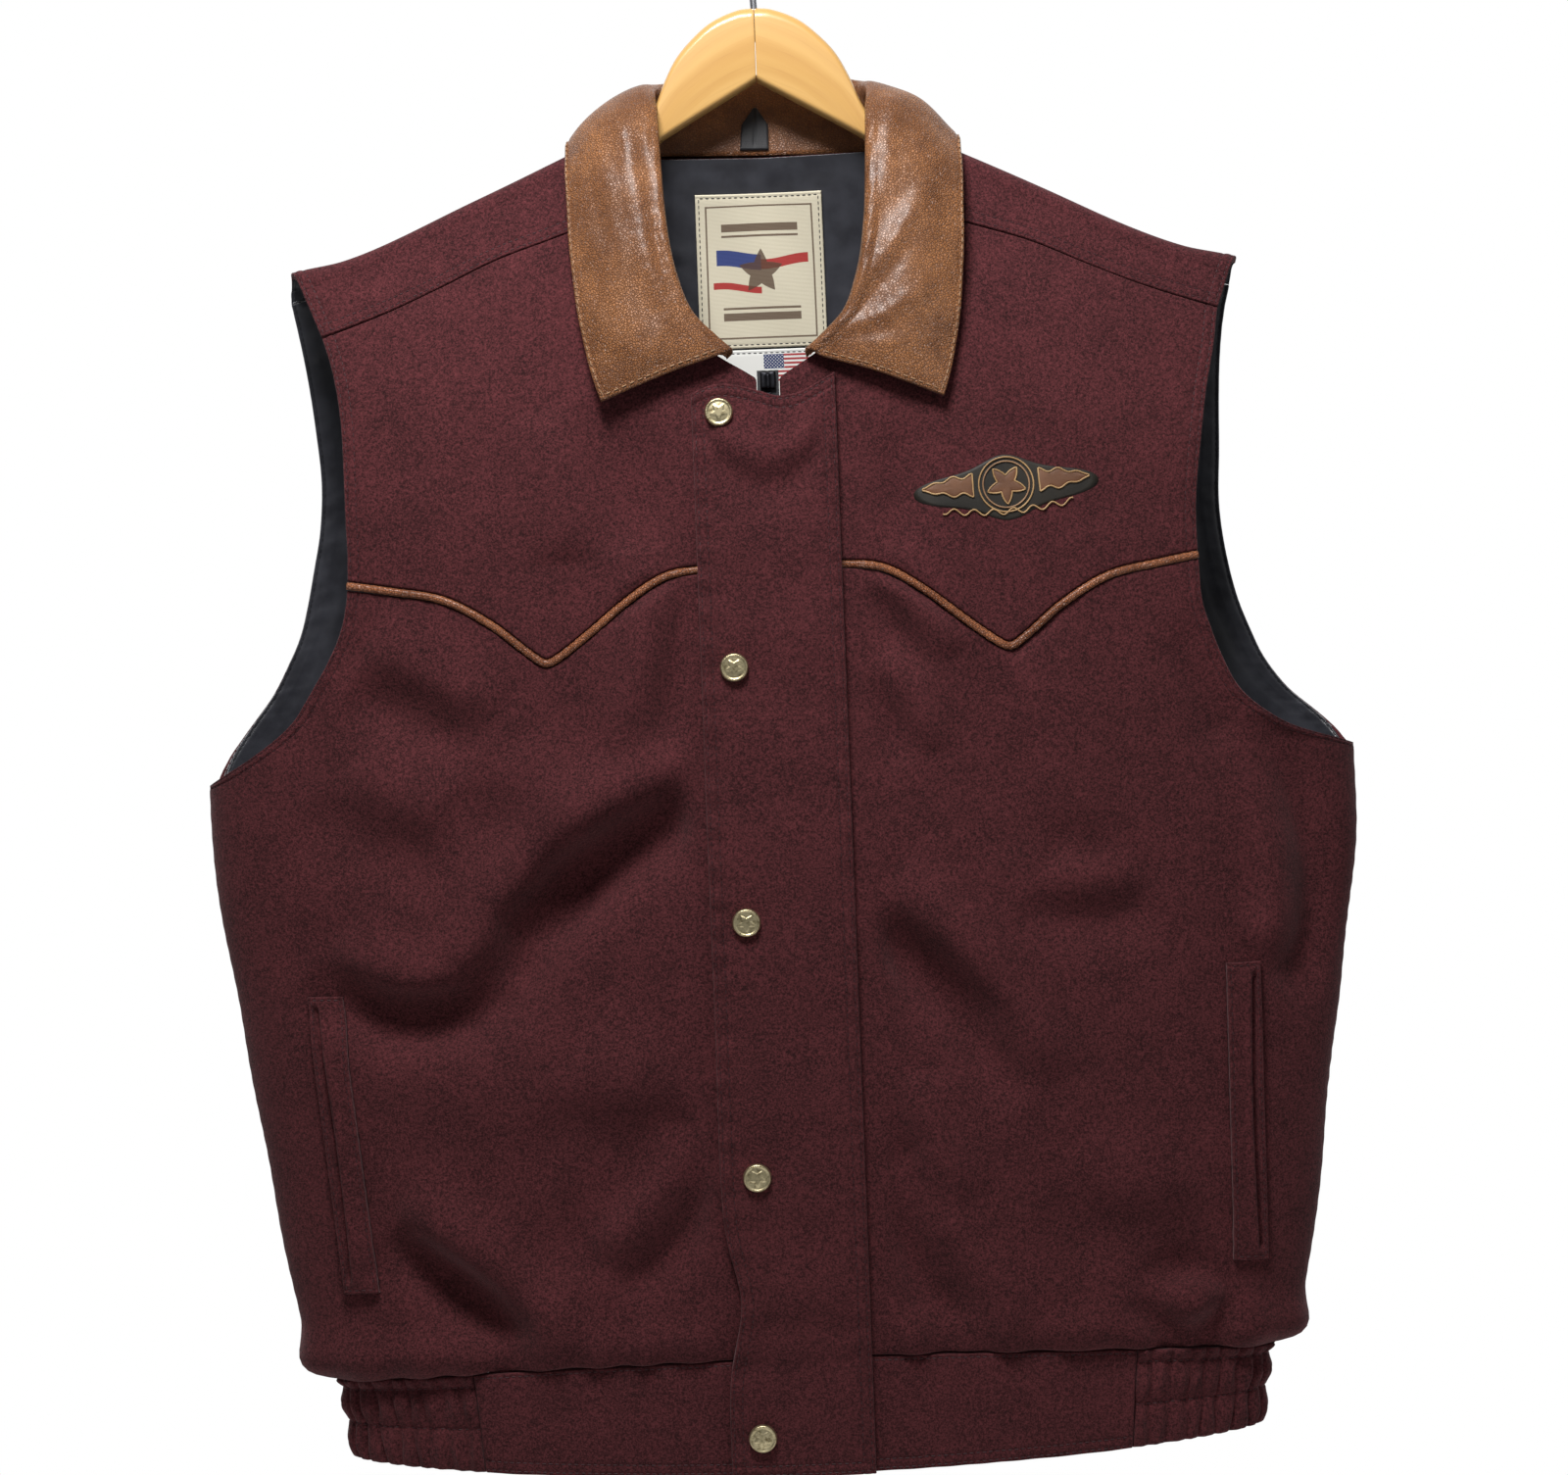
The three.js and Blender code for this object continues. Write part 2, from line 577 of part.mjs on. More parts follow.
function frontLower(side) {
  const topOffset = -PIPING_GROOVE;
  const topZ = meetArmhole(yokeCurve, FRONT, side, topOffset);
  const armX = armholeCurves[FRONT][side](topZ);
  const patch = patchBetween(
    (u) => [lerp(body.shareAt(side * FRONT_EDGE_X, WAIST_Z), side * SIDE_SHARE, u), WAIST_Z],
    alongCurve(yokeCurve, side, FRONT_EDGE_X, armX, topOffset),
    (v) => {
      const z = lerp(WAIST_Z, yokeCurve(FRONT_EDGE_X) + topOffset, v);
      return [body.shareAt(side * FRONT_EDGE_X, z), z];
    },
    sideAndArmhole(FRONT, side, WAIST_Z, topZ, FRONT_ARMPIT_AT),
  );
  const map = (u, v) => body.point(...patch(u, v), FRONT);
  const lower = steps(10).map((t) => lerp(0.08, FRONT_ARMPIT_AT, t));
  const upper = steps(6).slice(1).map((t) => lerp(FRONT_ARMPIT_AT, 1, t));
  const vs = [0, 0.02, 0.045, ...lower, ...upper];
  return wall(frontColumns, vs, map, TOWARDS_FRONT, WOOL);
}

function frontYoke(side) {
  const bottomZ = meetArmhole(yokeCurve, FRONT, side, PIPING_GROOVE);
  const topZ = meetArmhole(seamCurve, FRONT, side, -SEAM);
  const cornerAt = 0.45;
  const centreZ = yokeCurve(FRONT_EDGE_X) + PIPING_GROOVE;
  const neckline = evenly(NECKLINE.map(({ x, z }) => [body.shareAt(side * x, z), z]));
  const patch = patchBetween(
    alongCurve(yokeCurve, side, FRONT_EDGE_X, armholeCurves[FRONT][side](bottomZ), PIPING_GROOVE),
    alongCurve(seamCurve, side, NECK_AT_SEAM, armholeCurves[FRONT][side](topZ), -SEAM),
    (v) => {
      if (v <= cornerAt) {
        const z = lerp(centreZ, NECKLINE[0].z, v / cornerAt);
        return [body.shareAt(side * FRONT_EDGE_X, z), z];
      }
      return neckline((v - cornerAt) / (1 - cornerAt));
    },
    (v) => {
      const z = lerp(bottomZ, topZ, v);
      return [armholeShare(FRONT, side, z), z];
    },
  );
  const map = (u, v) => body.point(...patch(u, v), FRONT);
  const vs = [...steps(4).map((t) => t * cornerAt), ...steps(6).slice(1).map((t) => lerp(cornerAt, 1, t))];
  return wall(frontColumns, vs, map, TOWARDS_FRONT, WOOL);
}

// The strap over the shoulder: v runs from the front seam over the ridge to the seam on the back.
function shoulderStrap(side) {
  const quarter = (RIDGE_RADIUS * Math.PI) / 2;
  const lengthBelow = (d) => quarter + (d - RIDGE_RADIUS);
  const seamEndZ = meetArmhole(seamCurve, FRONT, side, HALF_SEAM);
  const armAtSeam = armholeCurves[FRONT][side](seamEndZ);
  const armAtBack = armholeCurves[BACK][side](ridgeZ(side * ARM_AT_RIDGE) - BACK_SHOULDER_DROP);
  const map = (u, v) => {
    const seamX = lerp(NECK_AT_SEAM, armAtSeam, u);
    const ridgeX = lerp(NECK_AT_RIDGE, ARM_AT_RIDGE, u);
    const backX = lerp(NECK_AT_BACK, armAtBack, u);
    const frontDrop = ridgeZ(side * seamX) - seamCurve(seamX) - HALF_SEAM;
    const from = -lengthBelow(frontDrop);
    const to = lengthBelow(BACK_SHOULDER_DROP - SEAM);
    const q = lerp(from, to, v);
    const far = q < 0 ? q / from : q / to;
    const x = side * lerp(ridgeX, q < 0 ? seamX : backX, far);
    const along = Math.abs(q);
    const d = along < quarter ? RIDGE_RADIUS * (1 - Math.cos(along / RIDGE_RADIUS)) : along - quarter + RIDGE_RADIUS;
    const z = ridgeZ(x) - d;
    const face = q < 0 ? FRONT : BACK;
    const onForm = body.point(body.shareAt(x, z), z, face);
    return new THREE.Vector3(x, Math.abs(onForm.y) * face, z);
  };
  return wall(steps(8), steps(10), map, UP, WOOL);
}

// Top edge of the back: the neckline in the middle, the shoulder seams beyond it.
function backTopZ(x) {
  return Math.min(BACK_NECK_Z, ridgeZ(x) - BACK_SHOULDER_DROP) - HALF_SEAM;
}
function makeBackEdges() {
  const endZ = (side) => backTopZ(side * armholeCurves[BACK][side](-226));
  const left = sideAndArmhole(BACK, LEFT, WAIST_Z, endZ(LEFT), BACK_ARMPIT_AT);
  const right = sideAndArmhole(BACK, RIGHT, WAIST_Z, endZ(RIGHT), BACK_ARMPIT_AT);
  return patchBetween(
    (u) => [lerp(left(0)[0], right(0)[0], u), WAIST_Z],
    (u) => {
      const s = lerp(left(1)[0], right(1)[0], u);
      const x = Math.sign(s) * body.width(-200) * oval.across(Math.abs(s));
      return [s, backTopZ(x)];
    },
    left,
    right,
  );
}
const backEdges = makeBackEdges();
// The back and its lining share their points, so that the lining lies on the back all over.
const backMap = (u, v) => body.point(...backEdges(u, v), BACK);
const backRim = [0, 0.02, 0.045, 0.08];
const backColumns = [
  ...backRim,
  ...steps(14).slice(1, -1).map((t) => lerp(0.08, 0.92, t)),
  ...backRim.map((t) => 1 - t).reverse(),
];
const backRows = [
  ...[0, 0.015, 0.04],
  ...steps(7).map((t) => lerp(0.08, BACK_ARMPIT_AT, t)),
  ...[0.07, 0.15, 0.25, 0.37, 0.5, 0.63, 0.75, 0.85, 0.93, 1].map((t) => lerp(BACK_ARMPIT_AT, 1, t)),
];
function backPanel() {
  return wall(backColumns, backRows, backMap, TOWARDS_BACK, WOOL);
}
function backLining() {
  return wall(backColumns, backRows, backMap, TOWARDS_BACK, LINING, -WOOL - SEAM);
}

// A patch on the front, square to the view, laid out by distance from the middle and height.
const onFront = (x, z) => body.point(body.shareAt(x, z), z, FRONT);
const onBandFront = (x, z) => band.point(band.shareAt(x, z), z, FRONT);

function bandPiece(fromX, toX, face, columns) {
  const map = (u, v) => {
    const z = lerp(BAND_TOP_Z, HEM_Z, v);
    return band.point(lerp(band.shareAt(fromX, BAND_TOP_Z), band.shareAt(toX, BAND_TOP_Z), u), z, face);
  };
  const facing = face === FRONT ? TOWARDS_FRONT : TOWARDS_BACK;
  return wall(steps(columns), steps(3), map, facing, DOUBLED_WOOL);
}

// The elastic part of the band, from the front round the side to the back, in upright gathers that
// are pinched at the top, at the stitch line half way down and at the hem.
function elasticPiece(side) {
  const fromShare = Math.abs(band.shareAt(ELASTIC_FROM_X, BAND_TOP_Z)) + SEAM / OVAL_WIDTH;
  const map = (u, v) => {
    const z = lerp(BAND_TOP_Z, HEM_Z, v);
    const turned = 2 * (1 - fromShare) * u;
    const s = fromShare + turned;
    if (s <= 1) return band.point(side * s, z, FRONT);
    return band.point(side * (2 - s), z, BACK);
  };
  const relief = (u, v) => {
    const ridge = Math.sin(Math.PI * GATHERS * u) ** 2;
    const pinch = Math.sin(2 * Math.PI * v) ** 2;
    return GATHER_HEIGHT * ridge * (0.35 + 0.65 * pinch) - GATHER_HEIGHT * 0.4;
  };
  const perGather = 2;
  const facing = new THREE.Vector3(side, 0, 0);
  return wall(steps(GATHERS * perGather), steps(4), map, facing, DOUBLED_WOOL, 0, relief);
}

// The storm flap over the zip, sewn on along its right side and closed by snaps on its left.
const flapTop = tableCurve(FLAP_TOP, "x", "z");
function onFlap(x, z) {
  return z > WAIST_Z ? onFront(x, z) : onBandFront(x, z);
}
function flapLeftX(z) {
  const buckle = Math.exp(-(((z - FLAP_BUCKLE.z) / FLAP_BUCKLE.height) ** 2));
  return FLAP_LEFT_X + FLAP_BUCKLE.inward * buckle;
}
function stormFlap() {
  const map = (u, v) => {
    const rough = lerp(HEM_Z, flapTop(lerp(FLAP_LEFT_X, FLAP_RIGHT_X, u)), v);
    const x = lerp(flapLeftX(rough), FLAP_RIGHT_X, u);
    const z = lerp(HEM_Z, flapTop(x), v);
    return onFlap(x, z);
  };
  const vs = [0, 0.05, 0.1, ...steps(17).map((t) => lerp(0.115, 0.94, t)), 0.97, 1];
  return wall(steps(7), vs, map, TOWARDS_FRONT, DOUBLED_WOOL, DOUBLED_WOOL + LOOSE);
}

function zipTape() {
  const map = (u, v) => onFlap(lerp(-ZIP_HALF_WIDTH, ZIP_HALF_WIDTH, u), lerp(HEM_Z, ZIP_TOP_Z, v));
  const vs = [0, 0.05, 0.1, ...steps(14).map((t) => lerp(0.115, 1, t))];
  return wall(steps(2), vs, map, TOWARDS_FRONT, 1.8, -0.3);
}

// The zip's slider, closed at the top, in the notch above the flap.
function zipSlider() {
  const half = 4;
  const map = (u, v) => onFront(lerp(-half, half, u), lerp(-283, -274, v));
  return wall(steps(2), steps(2), map, TOWARDS_FRONT, 2.4, 2.4);
}

function pocketWelt(side) {
  const welt = side === LEFT ? WELTS.left : WELTS.right;
  const map = (u, v) => {
    const z = lerp(WELT_BOTTOM_Z, WELT_TOP_Z, v);
    const middle = lerp(welt.bottomX, welt.topX, v);
    return onFront(middle + (u - 0.5) * WELT_WIDTH, z);
  };
  return wall(steps(2), steps(7), map, TOWARDS_FRONT, WOOL, WOOL + LOOSE + SEAM);
}

// A closed solid through rings of points, all with the same count, with a flat cap at each end.
function loft(rings) {
  const count = rings[0].length;
  const last = rings.length - 1;
  const index = [];
  for (let j = 0; j < last; j += 1) {
    for (let i = 0; i < count; i += 1) {
      const a = j * count + i;
      const b = j * count + ((i + 1) % count);
      index.push(a, b, b + count, a, b + count, a + count);
    }
  }
  for (let i = 1; i < count - 1; i += 1) {
    index.push(0, i + 1, i);
    index.push(last * count, last * count + i, last * count + i + 1);
  }
  const geometry = new THREE.BufferGeometry();
  const positions = rings.flat().flatMap((p) => [p.x, p.y, p.z]);
  geometry.setAttribute("position", new THREE.Float32BufferAttribute(positions, 3));
  geometry.setIndex(index);
  return geometry;
}

// A round bar through points, its rings square to the way it runs; `across` is never along it.
function roundBar(points, radius, sides, across) {
  const rings = points.map((p, i) => {
    const before = points[Math.max(i - 1, 0)];
    const after = points[Math.min(i + 1, points.length - 1)];
    const along = after.clone().sub(before).normalize();
    const first = across.clone().addScaledVector(along, -across.dot(along)).normalize();
    const second = along.clone().cross(first);
    return steps(sides).slice(0, -1).map((t) => {
      const angle = 2 * Math.PI * t;
      const ring = p.clone().addScaledVector(first, radius * Math.cos(angle));
      return ring.addScaledVector(second, radius * Math.sin(angle));
    });
  });
  return loft(rings);
}

// Leather piping in the yoke seam, a round cord between the two panels, pressed in under the flap.
function piping(side) {
  const toX = armholeCurves[FRONT][side](meetArmhole(yokeCurve, FRONT, side));
  const fromX = FRONT_EDGE_X;
  const flapX = side === LEFT ? -FLAP_LEFT_X : FLAP_RIGHT_X;
  const xs = frontColumns.map((t) => lerp(fromX, toX, t));
  xs[0] += SEAM;
  xs[xs.length - 1] -= SEAM;
  const points = xs.map((x) => {
    const sunk = x < flapX + 9 ? PIPING_UNDER_FLAP : 0;
    return onFront(side * x, yokeCurve(x)).addScaledVector(TOWARDS_FRONT, -sunk);
  });
  return roundBar(points, PIPING_RADIUS, 8, TOWARDS_FRONT);
}

// The collar: a strip whose cross-section rises from the neck seam to the fold and falls to the edge.
function collarStations() {
  const mirrored = COLLAR_STATIONS.slice(0, -1).reverse();
  const place = (station, side) => {
    const at = ([x, y, z], shift) => new THREE.Vector3(side * x + shift, y, z - SHOULDER_TILT * side * x);
    return {
      neck: at(station.neck, 0),
      fold: at(station.fold, COLLAR_SHIFT),
      edge: at(station.edge, COLLAR_SHIFT),
      crown: station.crown,
    };
  };
  const left = COLLAR_STATIONS.map((station) => place(station, LEFT));
  const right = mirrored.map((station) => place(station, RIGHT));
  return [...left, ...right];
}
function makeCollarMap() {
  const stations = collarStations();
  const curve = (key) =>
    new THREE.CatmullRomCurve3(stations.map((station) => station[key]), false, "centripetal");
  const neck = curve("neck");
  const fold = curve("fold");
  const edge = curve("edge");
  const crownAt = (u) => {
    const place = u * (stations.length - 1);
    const i = Math.min(Math.floor(place), stations.length - 2);
    return lerp(stations[i].crown, stations[i + 1].crown, place - i);
  };
  const profile = (u) => {
    const n = neck.getPoint(u);
    const f = fold.getPoint(u);
    const e = edge.getPoint(u);
    const rise = f.clone().sub(n);
    const radius = Math.min(FOLD_RADIUS, rise.length() * 0.45);
    const up = rise.normalize();
    const out = e.clone().sub(n);
    out.addScaledVector(up, -out.dot(up)).normalize();
    const inside = f.clone().addScaledVector(up, -radius).addScaledVector(out, -radius * 0.6);
    const outside = f.clone().addScaledVector(up, -radius * 0.4).addScaledVector(out, radius * 1.4);
    const crown = outside.clone().lerp(e, 0.45);
    const along = e.clone().sub(outside).normalize();
    const lift = up.clone().addScaledVector(along, -up.dot(along)).normalize();
    crown.addScaledVector(lift, crownAt(u));
    return new THREE.CatmullRomCurve3([n, inside, f, outside, crown, e], false, "centripetal");
  };
  const kept = new Map();
  return (u, v) => {
    const key = u.toFixed(6);
    if (!kept.has(key)) kept.set(key, profile(u));
    return kept.get(key).getPoint(v);
  };
}
const collarMap = makeCollarMap();
const COLLAR_COLUMNS = 38;
function collar() {
  const vs = [0, 0.2, 0.3, 0.4, 0.5, 0.62, 0.75, 0.88, 1];
  return wall(steps(COLLAR_COLUMNS), vs, collarMap, UP, LEATHER, LEATHER);
}
function underCollar() {
  const vs = [LEAF_STARTS_AT, 0.62, 0.75, 0.88, 1];
  return wall(steps(COLLAR_COLUMNS), vs, collarMap, UP, UNDER_COLLAR, -SEAM);
}

// A label sewn to the lining of the back.
function liningLabel(box) {
  const map = (u, v) => {
    const z = lerp(box.bottom, box.top, v);
    return body.point(body.shareAt(lerp(box.left, box.right, u), z), z, BACK);
  };
  const below = WOOL + SEAM + LINING + LOOSE + SEAM;
  return wall(steps(4), steps(4), map, TOWARDS_BACK, LABEL, -below);
}

// The tape loop at the back of the neck, folded to a point and lying on the collar's stand.
function neckLoop() {
  const middle = 0.5;
  const halfWidth = (v) => 0.022 * Math.min(1, 0.45 + 2.2 * (1 - v));
  const map = (u, v) => collarMap(middle + (u - 0.5) * 2 * halfWidth(v) - 0.006, lerp(0.012, 0.11, v));
  return wall(steps(3), steps(4), map, TOWARDS_FRONT, 1.6, LEATHER + SEAM + 1.6);
}

function snapCap({ x, z }) {
  const profile = [
    [0, 0],
    [SNAP_RADIUS - 0.3, 0],
    [SNAP_RADIUS, 0.7],
    [SNAP_RADIUS - 0.4, 1.5],
    [SNAP_RADIUS - 1.6, 2.3],
    [SNAP_RADIUS * 0.45, SNAP_HEIGHT - 0.3],
    [0, SNAP_HEIGHT],
  ].map(([r, h]) => new THREE.Vector2(r, h));
  const geometry = new THREE.LatheGeometry(profile, 12);
  const reach = 4;
  const acrossStep = onFlap(x + reach, z).sub(onFlap(x - reach, z));
  const downStep = onFlap(x, z - reach).sub(onFlap(x, z + reach));
  const normal = acrossStep.cross(downStep).normalize();
  if (normal.dot(TOWARDS_FRONT) < 0) normal.negate();
  const seat = onFlap(x, z).addScaledVector(normal, DOUBLED_WOOL + LOOSE + SEAM);
  return { geometry, seat, normal };
}

// Top of a hanger arm: a hump in the middle, then just under the cloth along the shoulder.
const humpCurve = tableCurve(HANGER_HUMP, "x", "z");
const undersideCurve = tableCurve(HANGER_UNDERSIDE, "x", "z");
function armTopZ(x) {
  const underCloth = ridgeZ(x) - WOOL - LOOSE;
  return Math.abs(x) < HANGER_HUMP.at(-1).x ? humpCurve(Math.abs(x)) : underCloth;
}

const wasm = await Module();
wasm.setup();
// A closed geometry as a manifold-3d solid, and back.
function toSolid(geometry) {
  const bare = geometry.clone();
  bare.deleteAttribute("normal");
  bare.deleteAttribute("uv");
  const merged = mergeVertices(bare, 1e-4);
  return new wasm.Manifold(
    new wasm.Mesh({
      numProp: 3,
      vertProperties: new Float32Array(merged.attributes.position.array),
      triVerts: new Uint32Array(merged.index.array),
    }),
  );
}
function toGeometry(solid) {
  const mesh = solid.getMesh();
  const geometry = new THREE.BufferGeometry();
  geometry.setAttribute("position", new THREE.Float32BufferAttribute(mesh.vertProperties, 3));
  geometry.setIndex(new THREE.Uint32BufferAttribute(mesh.triVerts, 1));
  return geometry;
}

// One arm of the hanger, round along its top, with half of the hole for the hook's shank.
function hangerArm(side) {
  const xs = [HALF_SEAM, 9, 18, 27, 36, 44, 51, 57, 63, 84, 110, 138, 166, 194, 212, 219, HANGER_TIP_X];
  const rings = xs.map((x, i) => {
    const top = armTopZ(side * x);
    const bottom = undersideCurve(x);
    const nearTip = [1, 0.86, 0.55][Math.max(i - xs.length + 3, 0)];
    const half = HANGER_HALF_THICKNESS * nearTip;
    const middle = (top + bottom) / 2;
    const at = (y, z) => new THREE.Vector3(side * x, y, lerp(middle, z, nearTip));
    const upper = steps(6).map((t) => {
      const angle = Math.PI * t;
      return at(half * Math.cos(angle), top - half + half * Math.sin(angle));
    });
    const low = HANGER_BOTTOM_ROUND;
    const ring = [...upper, at(-half, bottom + low), at(-half + low, bottom), at(half - low, bottom), at(half, bottom + low)];
    return side === RIGHT ? ring : ring.reverse();
  });
  const arm = loft(rings);
  const holeDepth = armTopZ(0) - SHANK_END_Z + SEAM;
  const hole = new THREE.CylinderGeometry(WIRE_RADIUS + SEAM, WIRE_RADIUS + SEAM, 2 * holeDepth, 12);
  hole.rotateX(Math.PI / 2);
  hole.translate(0, 0, armTopZ(0));
  return toGeometry(toSolid(arm).subtract(toSolid(hole)));
}

// The hook: a straight shank that swings out and round over the rod, ending below the other side.
function hook() {
  const wireRadius = HOOK_RADIUS + WIRE_RADIUS;
  const centreZ = -HOOK_RADIUS;
  const points = [
    new THREE.Vector3(0, 0, SHANK_END_Z),
    new THREE.Vector3(0, 0, -78),
    new THREE.Vector3(0, 0, SHANK_TOP_Z),
    new THREE.Vector3(5, 0, -51.5),
    new THREE.Vector3(14, 0, -42),
  ];
  const turns = 11;
  for (let i = 0; i <= turns; i += 1) {
    const angle = lerp(-0.45, HOOK_TAIL_ANGLE, i / turns);
    points.push(
      new THREE.Vector3(wireRadius * Math.cos(angle), 0, centreZ + wireRadius * Math.sin(angle)),
    );
  }
  const wire = new THREE.CatmullRomCurve3(points, false, "centripetal");
  return roundBar(wire.getPoints(38), WIRE_RADIUS, 8, TOWARDS_FRONT);
}

const vest = new THREE.Group();
function add(name, geometry, material) {
  const mesh = new THREE.Mesh(geometry, material);
  mesh.name = name;
  vest.add(mesh);
  return mesh;
}

for (const [word, side] of [
  ["left", LEFT],
  ["right", RIGHT],
]) {
  add(`front_${word}`, frontLower(side), wool);
  add(`yoke_${word}`, frontYoke(side), wool);
  add(`shoulder_${word}`, shoulderStrap(side), wool);
  add(`piping_${word}`, piping(side), leather);
  add(`pocket_welt_${word}`, pocketWelt(side), wool);
  const inner = side * (FRONT_EDGE_X + 0.2);
  add(`band_front_${word}`, bandPiece(inner, side * ELASTIC_FROM_X, FRONT, 8), wool);
  add(`band_elastic_${word}`, elasticPiece(side), wool);
  add(`hanger_arm_${word}`, hangerArm(side), wood);
}
add("back", backPanel(), wool);
add("lining_back", backLining(), satin);
add("band_back", bandPiece(-ELASTIC_FROM_X, ELASTIC_FROM_X, BACK, 14), wool);
add("storm_flap", stormFlap(), wool);
add("zip_tape", zipTape(), satin);
add("zip_slider", zipSlider(), steel);
add("collar", collar(), leather);
add("under_collar", underCollar(), wool);
add("neck_label", liningLabel(LABEL_BOX), cream);
add("care_label", liningLabel(CARE_BOX), cream);
add("neck_loop", neckLoop(), satin);
add("hanger_hook", hook(), steel);
SNAPS.forEach((place, i) => {
  const { geometry, seat, normal } = snapCap(place);
  const cap = add(`snap_${i + 1}`, geometry, brass);
  cap.position.copy(seat);
  cap.quaternion.setFromUnitVectors(new THREE.Vector3(0, 1, 0), normal);
});

export default vest;
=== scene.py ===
"""A western vest of heavy wool with leather trim, hanging on a wooden hanger.

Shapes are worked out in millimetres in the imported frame's own axes and become metres in the meshes.
x is positive towards the wearer's left, the front faces -Y, and the origin is the inside top of the hook.
"left" and "right" are as seen from the front.
"""
import logging
import math
from collections.abc import Callable
from dataclasses import dataclass, field
from enum import Enum

import bpy
import numpy as np
from mathutils import Matrix, Vector


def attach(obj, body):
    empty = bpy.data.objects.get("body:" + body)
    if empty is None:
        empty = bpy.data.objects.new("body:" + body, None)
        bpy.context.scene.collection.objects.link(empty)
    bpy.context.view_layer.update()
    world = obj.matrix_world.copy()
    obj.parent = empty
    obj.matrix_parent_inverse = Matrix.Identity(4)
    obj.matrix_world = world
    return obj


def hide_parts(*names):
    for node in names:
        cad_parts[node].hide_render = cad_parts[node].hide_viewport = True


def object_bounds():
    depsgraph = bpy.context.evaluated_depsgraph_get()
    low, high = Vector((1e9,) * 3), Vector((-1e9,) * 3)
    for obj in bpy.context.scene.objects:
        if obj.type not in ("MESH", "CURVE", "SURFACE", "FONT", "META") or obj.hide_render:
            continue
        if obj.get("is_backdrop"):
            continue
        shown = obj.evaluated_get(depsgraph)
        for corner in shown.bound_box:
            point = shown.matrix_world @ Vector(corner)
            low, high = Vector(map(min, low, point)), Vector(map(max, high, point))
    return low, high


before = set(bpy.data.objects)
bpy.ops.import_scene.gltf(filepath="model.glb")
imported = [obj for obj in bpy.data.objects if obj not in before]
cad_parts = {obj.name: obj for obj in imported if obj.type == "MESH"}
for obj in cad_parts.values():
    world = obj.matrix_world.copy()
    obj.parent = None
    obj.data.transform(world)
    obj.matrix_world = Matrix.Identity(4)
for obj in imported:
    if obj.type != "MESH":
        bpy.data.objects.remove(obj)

log = logging.getLogger("vest")
CAD_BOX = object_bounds()
MILLIMETRE = 0.001
Array = np.ndarray
Surface = Callable[[Array, Array], Array]
Table = tuple[tuple[float, ...], ...]
Triple = tuple[float, float, float]
Material = bpy.types.Material
Object = bpy.types.Object
Socket = bpy.types.NodeSocket

# Thicknesses of the cloth pieces and the space left at a seam, in millimetres.
WOOL = 2.6
DOUBLED_WOOL = 4.4
LEATHER = 1.4
UNDER_COLLAR = 1.8
LINING = 1.0
SEAM = 0.3
LOOSE = 0.8
# Where the two rows of stitches lie, in millimetres from an edge.
NEAR_STITCH_AT = 1.9
FAR_STITCH_AT = 6.4
STITCHES_AT = (NEAR_STITCH_AT, FAR_STITCH_AT)

TOWARDS_FRONT = (0.0, -1.0, 0.0)
TOWARDS_BACK = (0.0, 1.0, 0.0)
UPWARDS = (0.0, 0.0, 1.0)


class Side(Enum):
    """The viewer's left or right."""

    LEFT = -1
    RIGHT = 1

    @property
    def word(self) -> str:
        """The side's word, as it stands in the names of nodes."""
        return self.name.lower()


class Face(Enum):
    """The front or the back of the hanging body."""

    FRONT = -1
    BACK = 1


class Curve:
    """A smooth curve through rows of (place, value).

    Between two rows it is the cubic whose slopes at each row join that row's two neighbours, and beyond
    the first and last row it keeps their values.
    """

    def __init__(self, rows: Table) -> None:
        """Sorts the rows by place and works out a slope at each."""
        table = np.array(sorted(rows), float)
        self.at, self.value = table[:, 0], table[:, 1]
        before = np.maximum(np.arange(len(table)) - 1, 0)
        after = np.minimum(np.arange(len(table)) + 1, len(table) - 1)
        self.slope = (self.value[after] - self.value[before]) / (self.at[after] - self.at[before])

    def __call__(self, place: Array | float) -> Array:
        """The curve's values at places."""
        here = np.clip(place, self.at[0], self.at[-1])
        i = np.clip(np.searchsorted(self.at, here, side="left") - 1, 0, len(self.at) - 2)
        h = self.at[i + 1] - self.at[i]
        t = (here - self.at[i]) / h
        t2, t3 = t * t, t * t * t
        return (
            self.value[i] * (2 * t3 - 3 * t2 + 1)
            + self.slope[i] * h * (t3 - 2 * t2 + t)
            + self.value[i + 1] * (3 * t2 - 2 * t3)
            + self.slope[i + 1] * h * (t3 - t2)
        )


class Oval:
    """A quarter of a flattened oval, (sin a)^(2/p) across and (cos a)^(2/p) deep, by share of its length."""

    POWER = 2.8
    WIDTH = 290
    DEPTH = 46

    def __init__(self) -> None:
        """Samples the quarter and adds up its length."""
        angle = np.linspace(0, math.pi / 2, 601)
        self._across = np.sin(angle) ** (2 / self.POWER)
        self._deep = np.clip(np.cos(angle), 0, 1) ** (2 / self.POWER)
        self._deep[-1] = 0
        steps = np.hypot(np.diff(self._across) * self.WIDTH, np.diff(self._deep) * self.DEPTH)
        lengths = np.concatenate([[0], np.cumsum(steps)])
        self.quarter = float(lengths[-1])
        self._share = lengths / self.quarter

    def across(self, share: Array) -> Array:
        """How far across the oval is at a share, from 0 to 1."""
        return np.interp(share, self._share, self._across)

    def deep(self, share: Array) -> Array:
        """How deep the oval is at a share, from 1 to 0."""
        return np.interp(share, self._share, self._deep)

    def share_at(self, across: Array) -> Array:
        """The share at which the oval is this far across."""
        return np.interp(np.clip(across, 0, 1), self._across, self._share)


OVAL = Oval()

